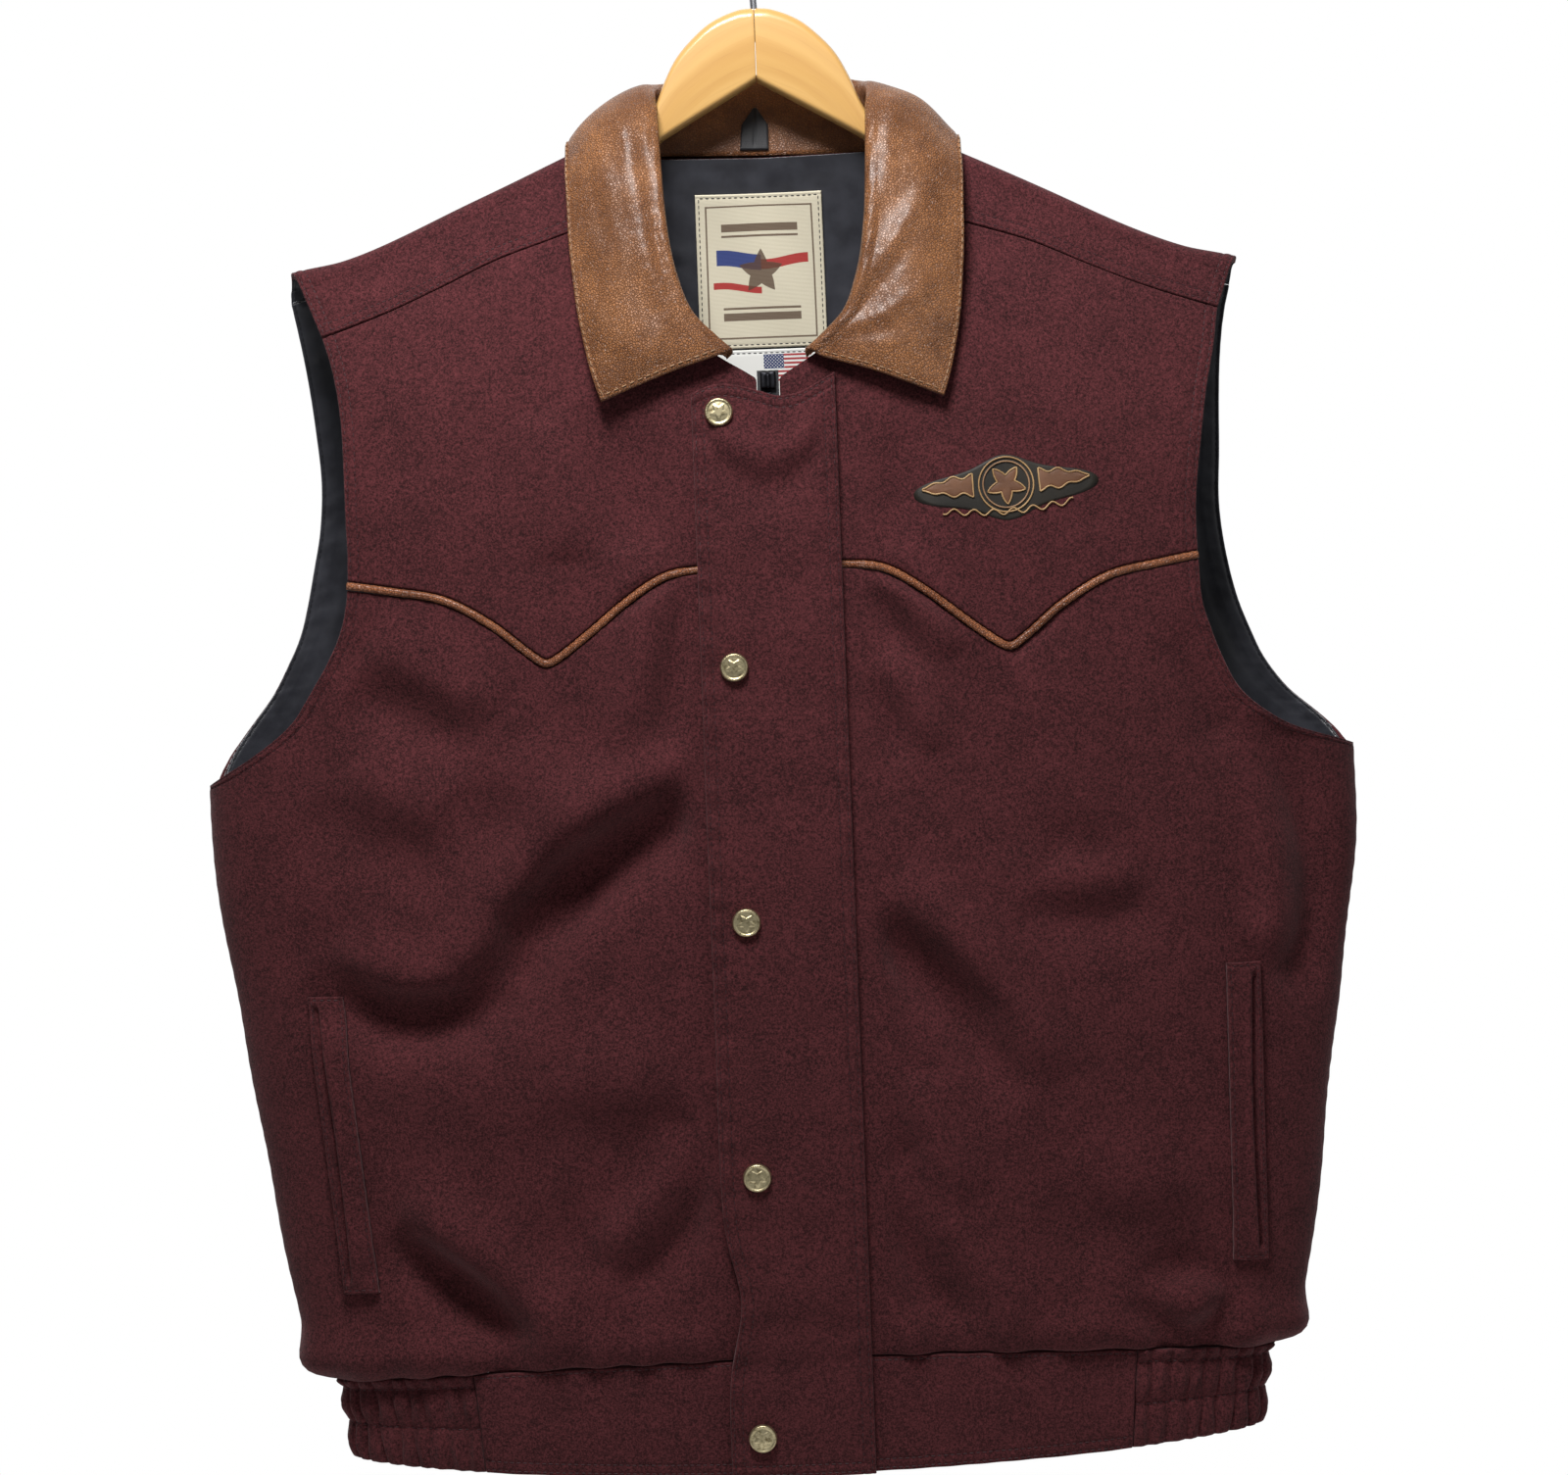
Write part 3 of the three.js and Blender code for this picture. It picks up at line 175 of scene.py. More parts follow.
# Ridge of the shoulder (distance from the middle, height), where the cloth lies over the hanger's arm.
SHOULDER_RIDGE = Curve((
    (0, -105), (68, -137.3), (106, -154.5), (150, -175), (192, -194.5), (222, -206), (244, -210.8),
    (251, -212.6), (305, -226),
))
SHOULDER_TILT = 0.02
RIDGE_RADIUS = 10.5
SHOULDER_FLARE = 0.33
BLEND_RADIUS = 6
ARM_AT_RIDGE = 251

# Body sections: height, half width, depth of front and back, and how far the side hangs below the middle.
BODY_SECTIONS = (
    (-100, 296, 30, 27, 0), (-200, 298, 35, 32, 0), (-300, 300, 43, 40, 0), (-400, 301, 46, 44, 0),
    (-475, 302.5, 47, 45, 0), (-530, 301.5, 48, 46, 0), (-600, 291.5, 48, 47, 0),
    (-670, 281, 47, 47, 0), (-720, 274, 46, 46, -1), (-755, 266.5, 45, 46, -4),
    (-767, 262.5, 44.2, 45, -5), (-776, 257.5, 43, 43, -6), (-785.2, 248.5, 40.8, 40, -6.5),
)
BAND_SECTIONS = (
    (-785.5, 247.5, 40.5, 39.7, -6.5), (-800, 245.5, 40, 39.2, -2), (-820, 243.5, 39.5, 39, 4.5),
    (-846, 241, 38.5, 38.5, 12),
)
WAIST_Z = -785.2
BAND_TOP_Z = -785.5
HEM_Z = -846

# Soft folds as troughs along a bent line through three points (x, z): depth, then width; a ridge is negative.
FRONT_FOLDS = (
    (-52, -492, -122, -540, -168, -588, 8, 25), (-168, -588, -205, -590, -240, -566, 6, 21),
    (-40, -660, -92, -702, -150, -742, 7, 21), (-150, -742, -178, -738, -203, -712, 5, 18),
    (-160, -440, -186, -428, -212, -412, 4, 18), (212, -428, 240, -505, 243, -574, 8, 15),
    (125, -522, 152, -528, 182, -540, 4, 17), (40, -550, 86, -592, 132, -612, 6, 18),
    (44, -678, 82, -724, 106, -762, 5, 16), (182, -770, 194, -750, 218, -756, 8, 12),
    (-66, -296, -64, -330, -60, -366, 4, 15), (70, -296, 67, -334, 60, -368, 4, 15),
    (-230, -610, -130, -640, -60, -610, -4, 30),
)
BACK_FOLDS = (
    (-215, -440, -190, -520, -120, -600, 7, 24), (222, -430, 200, -540, 150, -620, 7, 22),
    (-92, -215, -84, -280, -96, -350, 5, 20), (88, -225, 78, -290, 92, -345, 5, 18),
    (-160, -740, -60, -700, 40, -728, 6, 22), (90, -760, 150, -720, 210, -735, 5, 17),
)
FLAT_UNDER_FLAP = (38, 62)


# Sharper creases on the fronts and the back: three points (x, z), height, then width. The cloth stands out
# on the left of the line, as one runs along it, and falls in on its right.
FRONT_CREASES = (
    (-244, -568, -190, -592, -136, -562, 10, 14), (-160, -580, -112, -522, -36, -484, 12, 15),
    (-104, -738, -70, -712, -44, -668, 9, 13), (-214, -706, -168, -738, -130, -782, 10, 13),
    (-220, -420, -187, -436, -150, -456, 6, 14), (-70, -472, -58, -420, -46, -376, 6, 13),
    (-92, -368, -96, -332, -104, -286, 5, 15), (44, -548, 88, -592, 128, -652, 9, 14),
    (42, -690, 74, -738, 104, -782, 9, 14), (172, -757, 198, -771, 224, -760, 9, 9),
    (246, -596, 264, -548, 238, -462, 9, 13), (128, -543, 156, -553, 188, -544, 5, 13),
    (46, -384, 62, -399, 84, -430, 5, 9), (46, -430, 58, -446, 72, -478, 4.5, 9),
    (112, -410, 128, -470, 138, -530, 3.5, 18), (-156, -474, -128, -500, -90, -510, 3.5, 18),
    (132, -698, 176, -716, 214, -706, 4, 18), (-126, -638, -92, -652, -54, -646, 4, 20),
    (50, -640, 60, -676, 84, -712, 5, 12), (-236, -478, -206, -500, -170, -508, 4, 16),
)
BACK_CREASES = (
    (-212, -470, -165, -520, -110, -545, 5, 13), (90, -560, 150, -540, 214, -470, 5, 13),
    (-120, -700, -60, -722, 10, -716, 4.5, 12), (40, -752, 120, -742, 200, -712, 4.5, 11),
    (-214, -752, -170, -770, -130, -764, 4, 10), (-84, -300, -88, -260, -92, -215, 3.5, 14),
    (84, -310, 80, -260, 88, -225, 3.5, 14), (-40, -600, 10, -618, 70, -604, 3, 16),
)
BENT_LINE_STEPS = 20


def nearest_on_line(
    row: tuple[float, ...], x: Array, z: Array, reach: float
) -> tuple[Array, Array, Array, Array]:
    """Where points lie beside a smooth line through three points.

    Args:
        row: the three points' x and z, one after the other, then anything else.
        x: the points' places across.
        z: their heights.
        reach: how far from the line a point still counts.

    Returns:
        Which points count and, for those, the share along the line, the squared distance from it and the
        signed distance from its own direction, positive on its left.
    """
    x1, z1, x2, z2, x3, z3 = row[:6]
    t = np.linspace(0, 1, BENT_LINE_STEPS + 1)
    bend_x, bend_z = 2 * x2 - (x1 + x3) / 2, 2 * z2 - (z1 + z3) / 2
    line_x = (1 - t) ** 2 * x1 + 2 * t * (1 - t) * bend_x + t * t * x3
    line_z = (1 - t) ** 2 * z1 + 2 * t * (1 - t) * bend_z + t * t * z3
    near = (x > line_x.min() - reach) & (x < line_x.max() + reach)
    near &= (z > line_z.min() - reach) & (z < line_z.max() + reach)
    here_x, here_z = x[near], z[near]
    least, share, beside = np.full(here_x.shape, np.inf), np.zeros_like(here_x), np.zeros_like(here_x)
    for k, (run_x, run_z) in enumerate(zip(np.diff(line_x), np.diff(line_z))):
        length = math.hypot(run_x, run_z)
        dx, dz = here_x - line_x[k], here_z - line_z[k]
        s = np.clip((dx * run_x + dz * run_z) / length**2, 0, 1)
        gap = (dx - s * run_x) ** 2 + (dz - s * run_z) ** 2
        closer = gap < least
        least[closer] = gap[closer]
        share[closer] = ((k + s) / BENT_LINE_STEPS)[closer]
        beside[closer] = ((dz * run_x - dx * run_z) / length)[closer]
    return near, share, least, beside


def creases(lines: Table, x: Array, z: Array) -> Array:
    """Height of sharp creases at points.

    Across each bent line the height is height * (s / width) * exp(0.5 - s^2 / (2 width^2)), where s is the
    signed distance from it, so that the cloth is steepest on the line. It fades at both ends by
    1 - (1 - sin(pi * share))^2.
    """
    total = np.zeros(np.broadcast(x, z).shape)
    for row in lines:
        height, width = row[6:]
        near, share, gap, s = nearest_on_line(row, x, z, 4 * width)
        past = np.maximum(gap - s * s, 0)
        fade = (1 - (1 - np.sin(math.pi * share)) ** 2) * np.exp(-past / width**2)
        total[near] += height * fade * (s / width) * np.exp(0.5 - s * s / (2 * width**2))
    return total


def smooth_step(value: Array, low: float, high: float) -> Array:
    """A smooth rise from 0 at low to 1 at high: t * t * (3 - 2t)."""
    t = np.clip((value - low) / (high - low), 0, 1)
    return t * t * (3 - 2 * t)


def ridge_z(x: Array) -> Array:
    """Height of the shoulder's ridge at x, with the slight tilt of the hanger."""
    return SHOULDER_RIDGE(np.abs(x)) - SHOULDER_TILT * np.clip(x, -ARM_AT_RIDGE, ARM_AT_RIDGE)


def depth_below_ridge(distance: Array) -> Array:
    """Half depth of the cloth below the ridge: a quarter circle over the arm, then a straight flare."""
    d = np.maximum(distance, 0)
    over = np.sqrt(np.maximum(RIDGE_RADIUS**2 - (RIDGE_RADIUS - np.minimum(d, RIDGE_RADIUS)) ** 2, 0))
    return np.where(d < RIDGE_RADIUS, over, RIDGE_RADIUS + SHOULDER_FLARE * (d - RIDGE_RADIUS))


def soft_min(a: Array, b: Array) -> Array:
    """The lesser of two depths, rounded where they cross."""
    return np.minimum(a, b) - BLEND_RADIUS * np.log1p(np.exp(-np.abs(a - b) / BLEND_RADIUS))


def fold_depth(folds: Table, x: Array, z: Array) -> Array:
    """Depth of all soft folds at points.

    Each fold is depth * fade * exp(-distance^2 / width^2) from its bent line, with a fade at its ends.
    """
    total = np.zeros(np.broadcast(x, z).shape)
    for row in folds:
        depth, width = row[6:]
        near, share, gap, _ = nearest_on_line(row, x, z, 3.5 * width)
        total[near] += depth * np.sin(math.pi * (0.12 + 0.76 * share)) * np.exp(-gap / width**2)
    return total


def stack(x: Array, y: Array, z: Array) -> Array:
    """Three coordinate arrays as one array of points."""
    return np.stack(np.broadcast_arrays(x, y, z), axis=-1)


class Form:
    """A hanging body as a surface over sections: a signed share across and a height give a point."""

    def __init__(self, sections: Table) -> None:
        """Makes a smooth curve of each column of the sections."""
        column = lambda k: Curve(tuple((row[0], row[k]) for row in sections))
        self.width, self.drop = column(1), column(4)
        self.depth = {Face.FRONT: column(2), Face.BACK: column(3)}

    def point(self, s: Array, z: Array, face: Face) -> Array:
        """Points on the body.

        x is the width times the oval's reach, z hangs lower at the sides, and y is the softer of the
        oval's depth less the folds and the depth below the shoulder's ridge.

        Args:
            s: signed shares across, -1 to 1.
            z: heights in the middle.
            face: front or back.

        Returns:
            Points in millimetres.
        """
        share = np.abs(s)
        across, deep = OVAL.across(share), OVAL.deep(share)
        x = np.sign(s) * self.width(z) * across
        low = z + self.drop(z) * across**2
        front = face is Face.FRONT
        free = smooth_step(np.abs(x), *FLAT_UNDER_FLAP) if front else 1.0
        x, low = np.broadcast_arrays(x, low)
        folds = free * fold_depth(FRONT_FOLDS if front else BACK_FOLDS, x, low)
        full = self.depth[face](z) * deep - folds * np.minimum(1, 2 * deep)
        y = face.value * soft_min(full, depth_below_ridge(ridge_z(x) - z))
        return stack(x, y, low)

    def share_at(self, x: Array, z: Array) -> Array:
        """The signed share at which the body is this far across."""
        return np.sign(x) * OVAL.share_at(np.abs(x) / self.width(z))


BODY = Form(BODY_SECTIONS)
BAND = Form(BAND_SECTIONS)

# Seams and edges, by distance from the middle and height.
SHOULDER_SEAM = Curve(((50, -177), (108, -196.5), (140, -207), (170, -220.5), (200, -233), (250, -250)))
YOKE_SEAM = Curve((
    (0, -374.5), (37, -375), (57, -378), (77, -390), (98, -406.5), (113, -417.5), (120, -420.5),
    (127, -416.5), (148, -399.5), (172, -386), (200, -380), (226, -375.5),
))
# Armhole edges by height: front left, front right, back left, back right.
ARMHOLE = (
    (-206, 250, 251, 255, 251), (-225, 241, 246, 252, 249), (-245, 233, 238, 249, 245),
    (-266, 227, 234, 246.5, 243), (-290, 223.5, 228.5, 244.5, 242.3), (-317, 222.6, 224, 243, 242),
    (-343, 222.3, 220.5, 245, 241), (-363, 222, 219.5, 249, 242.5), (-384, 223.3, 220, 253.5, 246),
    (-400, 227, 220.8, 258, 250), (-415, 234, 225, 265, 255.5), (-430, 243.5, 230.5, 273, 262),
    (-447, 255.5, 239.5, 285.5, 274), (-459, 270.5, 253, 294, 287), (-468, 285, 270, 299, 296),
    (-477.5, 302.4, 302.4, 302.4, 302.4),
)
ARMPIT_Z = -477.5
ARMHOLE_X = {
    (face, side): Curve(tuple((row[0], row[1 + 2 * i + j]) for row in ARMHOLE))
    for i, face in enumerate((Face.FRONT, Face.BACK))
    for j, side in enumerate((Side.LEFT, Side.RIGHT))
}
NECKLINE = (
    (6, -277), (12, -273), (21, -267.5), (32, -260), (44, -247), (53, -226), (59, -203), (63.6, -181.6),
)
NECK_AT_SEAM = 63.6
NECK_AT_RIDGE = 68.5
NECK_AT_BACK = 67
BACK_NECK_Z = -151.5
BACK_SHOULDER_DROP = 14
FRONT_EDGE_X = 6
SIDE_SHARE = 1 - 0.0006
FRONT_ARMPIT_AT = 0.66
BACK_ARMPIT_AT = 0.48
PIPING_RADIUS = 2
PIPING_GROOVE = PIPING_RADIUS + SEAM
FLAP_LEFT_X = -40
FLAP_RIGHT_X = 34.5


def pair(a: Array, b: Array) -> Array:
    """Two coordinate arrays as one array of places."""
    return np.stack(np.broadcast_arrays(a, b), axis=-1)


def lerp(a: Array | float, b: Array | float, t: Array | float) -> Array:
    """The value a share t of the way from a to b."""
    return a + (b - a) * t


def patch_between(bottom: Callable, top: Callable, start: Callable, end: Callable) -> Callable:
    """A patch between four boundary lines: bottom and top along u, start and end along v.

    It is the sum of the two blends of opposite lines, less the blend of the four corners.

    Returns:
        A function of u and v that gives places of share and height.
    """
    zero, one = np.zeros(1), np.ones(1)
    c00 = (bottom(zero) + start(zero)) / 2
    c10 = (bottom(one) + end(zero)) / 2
    c01 = (top(zero) + start(one)) / 2
    c11 = (top(one) + end(one)) / 2

    def patch(u: Array, v: Array) -> Array:
        """Places on the patch."""
        a, b = u[..., None], v[..., None]
        sides = (1 - b) * bottom(u) + b * top(u) + (1 - a) * start(v) + a * end(v)
        corners = (1 - a) * (1 - b) * c00 + a * (1 - b) * c10 + (1 - a) * b * c01 + a * b * c11
        return sides - corners

    return patch


def evenly(places: Array) -> Callable[[Array], Array]:
    """A boundary through places of share and height, run at an even pace along its length."""
    steps = np.hypot(np.diff(places[:, 0]) * OVAL.quarter, np.diff(places[:, 1]))
    lengths = np.concatenate([[0], np.cumsum(steps)])

    def at(t: Array) -> Array:
        """Places at shares of the boundary's length."""
        wanted = t * lengths[-1]
        return pair(np.interp(wanted, lengths, places[:, 0]), np.interp(wanted, lengths, places[:, 1]))

    return at


def armhole_share(face: Face, side: Side, z: Array) -> Array:
    """The signed share of the armhole's edge at a height."""
    return side.value * np.minimum(np.abs(BODY.share_at(ARMHOLE_X[face, side](z), z)), SIDE_SHARE)


def side_and_armhole(face: Face, side: Side, bottom_z: float, top_z: float, turn_at: float) -> Callable:
    """The outer boundary of a panel: the side seam up to the armpit, then the armhole."""
    z = lerp(ARMPIT_Z, top_z, np.linspace(0, 1, 61) ** 2.5)
    armhole = evenly(pair(armhole_share(face, side, z), z))

    def boundary(v: Array) -> Array:
        """Places up the boundary."""
        seam = pair(np.full_like(v, side.value * SIDE_SHARE), lerp(bottom_z, ARMPIT_Z, v / turn_at))
        above = armhole(np.clip((v - turn_at) / (1 - turn_at), 0, 1))
        return np.where((v <= turn_at)[..., None], seam, above)

    return boundary


def meet_armhole(curve: Curve, face: Face, side: Side, offset: float = 0) -> float:
    """The height at which a seam meets the armhole's edge."""
    z = float(curve(230)) + offset
    for _ in range(8):
        z = float(curve(ARMHOLE_X[face, side](z))) + offset
    return z


def along_curve(curve: Curve, side: Side, from_x: float, to_x: float, offset: float) -> Callable:
    """A boundary beside a seam between two distances from the middle, offset square to the seam."""

    def boundary(u: Array) -> Array:
        """Places along the boundary."""
        x = lerp(from_x, to_x, u)
        slope = (curve(x + 1) - curve(x - 1)) / 2
        z = curve(x) + offset * np.hypot(1, slope)
        return pair(BODY.share_at(side.value * x, z), z)

    return boundary


def on_front(x: Array, z: Array) -> Array:
    """Points of the front, by distance across and height."""
    return BODY.point(BODY.share_at(x, z), z, Face.FRONT)


def on_flap(x: Array, z: Array) -> Array:
    """Points under the storm flap: the body above the waist and the band below it."""
    above = BODY.point(BODY.share_at(x, np.maximum(z, WAIST_Z)), np.maximum(z, WAIST_Z), Face.FRONT)
    low = np.minimum(z, BAND_TOP_Z)
    below = BAND.point(BAND.share_at(x, low), low, Face.FRONT)
    return np.where((z > WAIST_Z)[..., None], above, below)


def catmull(points: Array, t: Array) -> Array:
    """A smooth line through points, whose pace goes by the square root of each step's length.

    Args:
        points: array of (..., count, 3).
        t: places along the line, 0 to 1.

    Returns:
        Points of (..., len(t), 3).
    """
    first = 2 * points[..., :1, :] - points[..., 1:2, :]
    last = 2 * points[..., -1:, :] - points[..., -2:-1, :]
    padded = np.concatenate([first, points, last], axis=-2)
    count = points.shape[-2]
    place = t * (count - 1)
    i = np.minimum(np.floor(place).astype(int), count - 2)
    w = (place - i)[:, None]
    p0, p1, p2, p3 = (padded[..., i + k, :] for k in range(4))
    d0, d1, d2 = (
        np.maximum(np.linalg.norm(b - a, axis=-1, keepdims=True), 1e-6) ** 0.5
        for a, b in ((p0, p1), (p1, p2), (p2, p3))
    )
    t1 = ((p1 - p0) / d0 - (p2 - p0) / (d0 + d1) + (p2 - p1) / d1) * d1
    t2 = ((p2 - p1) / d1 - (p3 - p1) / (d1 + d2) + (p3 - p2) / d2) * d1
    return (
        p1 + t1 * w + (-3 * p1 + 3 * p2 - 2 * t1 - t2) * w**2 + (2 * p1 - 2 * p2 + t1 + t2) * w**3
    )


def unit(vectors: Array) -> Array:
    """Vectors at length one."""
    return vectors / np.maximum(np.linalg.norm(vectors, axis=-1, keepdims=True), 1e-12)


def grid_normals(points: Array, facing: Triple) -> tuple[Array, bool]:
    """Normals of a grid of points, turned so that the middle one looks along facing.

    Returns:
        The normals, and whether the grid's own order already faced that way.
    """
    du, dv = np.gradient(points, axis=1), np.gradient(points, axis=0)
    normals = unit(np.cross(du, dv))
    middle = normals[normals.shape[0] // 2, normals.shape[1] // 2]
    forwards = bool(middle @ np.array(facing) > 0)
    return (normals if forwards else -normals), forwards


@dataclass(frozen=True)
class Lines:
    """Where a panel's grid lines lie: millimetres from the start, even lines, millimetres from the end."""

    start: tuple[float, ...]
    middle: int
    end: tuple[float, ...]

    def shares(self, length: Array) -> Array:
        """Shares of the length at which the lines lie, one row for each length."""
        size = np.asarray(length, float)[:, None]
        start = np.broadcast_to(np.array(self.start), (len(size), len(self.start)))
        end = size - np.array(self.end)[::-1]
        t = np.linspace(0, 1, self.middle + 2)[1:-1]
        middle = lerp(start[:, -1:], end[:, :1], t)
        return np.concatenate([start, middle, end], axis=1) / size


PLAIN_EDGE = (0.0, 0.3, 0.7, 1.3, 2.2, 3.6)
STITCHED_EDGE = (0.0, 0.3, 0.7, 1.2, 1.6, 1.9, 2.2, 2.7, 3.5, 4.6, 5.6, 6.1, 6.4, 6.7, 7.2, 8.2, 9.6)
# Which lines of STITCHED_EDGE carry stitches.
NEAR_ROW = 5
FAR_ROW = 12


class Panel:
    """A sheet of cloth on a grid over a surface, with relief along its normals."""

    def __init__(
        self,
        surface: Surface,
        across: Lines,
        up: Lines,
        facing: Triple,
        thickness: float,
        lift: float = 0,
    ) -> None:
        """Lays the grid out so that its first and last lines keep their distances from the edges.

        Args:
            surface: points over u and v, each 0 to 1.
            across: the grid's lines along u.
            up: the grid's lines along v.
            facing: the way the outer side looks.
            thickness: thickness of the sheet.
            lift: how far the outer side lies above the surface.
        """
        t = np.linspace(0, 1, 49)
        v, u = np.meshgrid(t, t, indexing="ij")
        coarse = surface(u, v)
        rows = np.linalg.norm(np.diff(coarse, axis=1), axis=-1).sum(axis=1)
        columns = np.linalg.norm(np.diff(coarse, axis=0), axis=-1).sum(axis=0)
        v_near = up.shares(np.array([columns.mean()]))[0]
        u_near = across.shares(np.array([rows.mean()]))[0]
        self.width = np.interp(v_near, t, rows)[:, None]
        self.height = np.interp(u_near, t, columns)[None, :]
        self.u = across.shares(self.width[:, 0])
        self.v = up.shares(self.height[0]).T
        self.base = surface(self.u, self.v)
        self.normals, self.forwards = grid_normals(self.base, facing)
        self.thickness, self.lift, self.facing = thickness, lift, facing
        self.relief = np.zeros(self.u.shape)
        self.across_start, self.across_end = self.u * self.width, (1 - self.u) * self.width
        self.up_start, self.up_end = self.v * self.height, (1 - self.v) * self.height
        self.flat = (float(rows.max()), float(columns.max()))

    @property
    def outer(self) -> Array:
        """Points of the outer side."""
        return self.base + self.normals * (self.lift + self.relief)[..., None]

    def roll(self, distance: Array, radius: float) -> None:
        """Rolls an edge down: within a radius of it, the cloth falls away on a quarter circle."""
        d = np.clip(distance, 0, radius)
        self.relief -= radius - np.sqrt(radius**2 - (radius - d) ** 2)

    def groove(
        self, distance: Array, at: float, depth: float, width: float, where: Array | float = 1
    ) -> None:
        """Presses a groove beside an edge: depth * exp(-(distance - at)^2 / width^2)."""
        self.relief -= where * depth * np.exp(-(((distance - at) / width) ** 2))

    def pucker(self, distance: Array, along: Array, pitch: float, height: float, reach: float) -> None:
        """Gathers the cloth lightly at a seam: uneven waves along it that fade away from it."""
        wave = np.sin(along * 2 * math.pi / pitch + 1.7 * np.sin(along * 0.021) + 0.9 * np.sin(along * 0.067))
        self.relief += height * wave * np.exp(-((distance / reach) ** 2))

    def crease(self, scale: float, height: float) -> None:
        """Lays faint uneven swells over the cloth: five sine waves that cross at unlike angles."""
        x, z = self.base[..., 0], self.base[..., 2]
        rng = np.random.default_rng(7)
        for k in range(5):
            angle, phase = rng.uniform(0, math.pi), rng.uniform(0, 2 * math.pi)
            pitch = scale * rng.uniform(0.6, 1.6)
            run = x * math.cos(angle) + z * math.sin(angle)
            sway = 1.3 * np.sin(z / (scale * 1.7) + k)
            self.relief += height * np.sin(run * 2 * math.pi / pitch + phase + sway)

    @property
    def edges(self) -> tuple[Array, ...]:
        """Distances from the four edges."""
        return self.across_start, self.across_end, self.up_start, self.up_end

    def line(
        self,
        row: int | None = None,
        column: int | None = None,
        keep: slice = slice(None),
    ) -> tuple[Array, Array]:
        """Points and normals of the outer side along one grid line, or along the kept part of it."""
        pick = (row, keep) if column is None else (keep, column)
        return self.outer[pick], self.normals[pick]

    def area(self) -> float:
        """Area of the outer side in square metres."""
        p = self.outer
        a, b = p[1:, 1:] - p[:-1, :-1], p[1:, :-1] - p[:-1, 1:]
        return float(np.linalg.norm(np.cross(a, b), axis=-1).sum() / 2 * MILLIMETRE**2)

    def shell(self) -> tuple[Array, Array, Array]:
        """The closed shell: the outer side, the inner side a thickness below it, and the rim.

        Returns:
            Points, quads of point numbers, and 1 for each quad of the inner side.
        """
        outer = self.outer
        inner_lift = self.lift - self.thickness + 0.5 * np.minimum(self.relief, 0)
        smooth = self.lift + self.relief - self.thickness
        inner = self.base + self.normals * np.maximum(np.minimum(inner_lift, smooth), smooth - 1)[..., None]
        rows, columns = self.u.shape
        number = np.arange(rows * columns).reshape(rows, columns)
        a, b, c, d = number[:-1, :-1], number[:-1, 1:], number[1:, 1:], number[1:, :-1]
        quads = np.stack([a, b, c, d], axis=-1).reshape(-1, 4)
        border = np.concatenate([number[0, :-1], number[:-1, -1], number[-1, :0:-1], number[:0:-1, 0]])
        after = np.roll(border, -1)
        count = rows * columns
        rim = np.stack([border + count, after + count, after, border], axis=-1)
        faces = np.concatenate([quads, quads[:, ::-1] + count, rim])
        inside = np.zeros(len(faces), int)
        inside[len(quads) : 2 * len(quads)] = 1
        if not self.forwards:
            faces = faces[:, ::-1]
        return np.concatenate([outer.reshape(-1, 3), inner.reshape(-1, 3)]), faces, inside

    def uv(self) -> Array:
        """Places on the flat cloth in metres, for both sides."""
        flat = pair(self.across_start, self.up_start).reshape(-1, 2) * MILLIMETRE
        return np.concatenate([flat, flat])


class GridPanel(Panel):
    """A panel on a ready grid of points, with its rows along the piece and its columns across it."""

    def __init__(self, base: Array, facing: Triple, thickness: float, lift: float) -> None:
        """Measures distances along the rows and columns."""
        rows, columns = base.shape[:2]
        self.v, self.u = np.meshgrid(np.linspace(0, 1, rows), np.linspace(0, 1, columns), indexing="ij")
        step_u = np.linalg.norm(np.diff(base, axis=1), axis=-1)
        step_v = np.linalg.norm(np.diff(base, axis=0), axis=-1)
        self.along = np.concatenate([np.zeros((rows, 1)), np.cumsum(step_u, axis=1)], axis=1)
        up = np.concatenate([np.zeros((1, columns)), np.cumsum(step_v, axis=0)], axis=0)
        self.base, self.thickness, self.lift, self.facing = base, thickness, lift, facing
        self.normals, self.forwards = grid_normals(base, facing)
        self.relief = np.zeros(self.u.shape)
        self.across_start, self.up_start = self.along, up
        self.across_end, self.up_end = self.along[:, -1:] - self.along, up[-1:] - up
        self.to_start, self.to_end, self.to_edge = self.across_start, self.across_end, self.up_end
        self.flat = (float(self.along[:, -1].max()), float(up[-1].max()))

    def ridge(self, u0: float, v0: float, u1: float, v1: float, height: float, width: float) -> None:
        """Raises a soft ridge between two places: the greatest of height * fade * exp(-gap^2 / width^2)."""
        rows, columns = self.u.shape
        best = np.zeros_like(self.relief)
        for t in np.linspace(0, 1, 15):
            j, i = int(lerp(v0, v1, t) * (rows - 1)), int(lerp(u0, u1, t) * (columns - 1))
            gap = ((self.base - self.base[j, i]) ** 2).sum(axis=-1)
            np.maximum(best, math.sin(math.pi * (0.1 + 0.8 * t)) * np.exp(-gap / width**2), out=best)
        self.relief += height * best * smooth_step(self.to_edge, 1, 8)


def flip(faces: Array) -> Array:
    """Quads turned inside out; a triangle keeps its repeated point last."""
    turned = faces[:, [1, 0, 3, 2]]
    triangle = faces[:, 2] == faces[:, 3]
    return np.where(triangle[:, None], faces[:, [1, 0, 2, 2]], turned)


def ring_faces(rings: int, count: int, first: int = 0) -> Array:
    """Quads between closed rings of count points each, numbered one ring after another."""
    j, i = np.meshgrid(np.arange(rings - 1), np.arange(count), indexing="ij")
    k = (i + 1) % count
    near = first + j * count
    return np.stack([near + i, near + k, near + count + k, near + count + i], axis=-1).reshape(-1, 4)


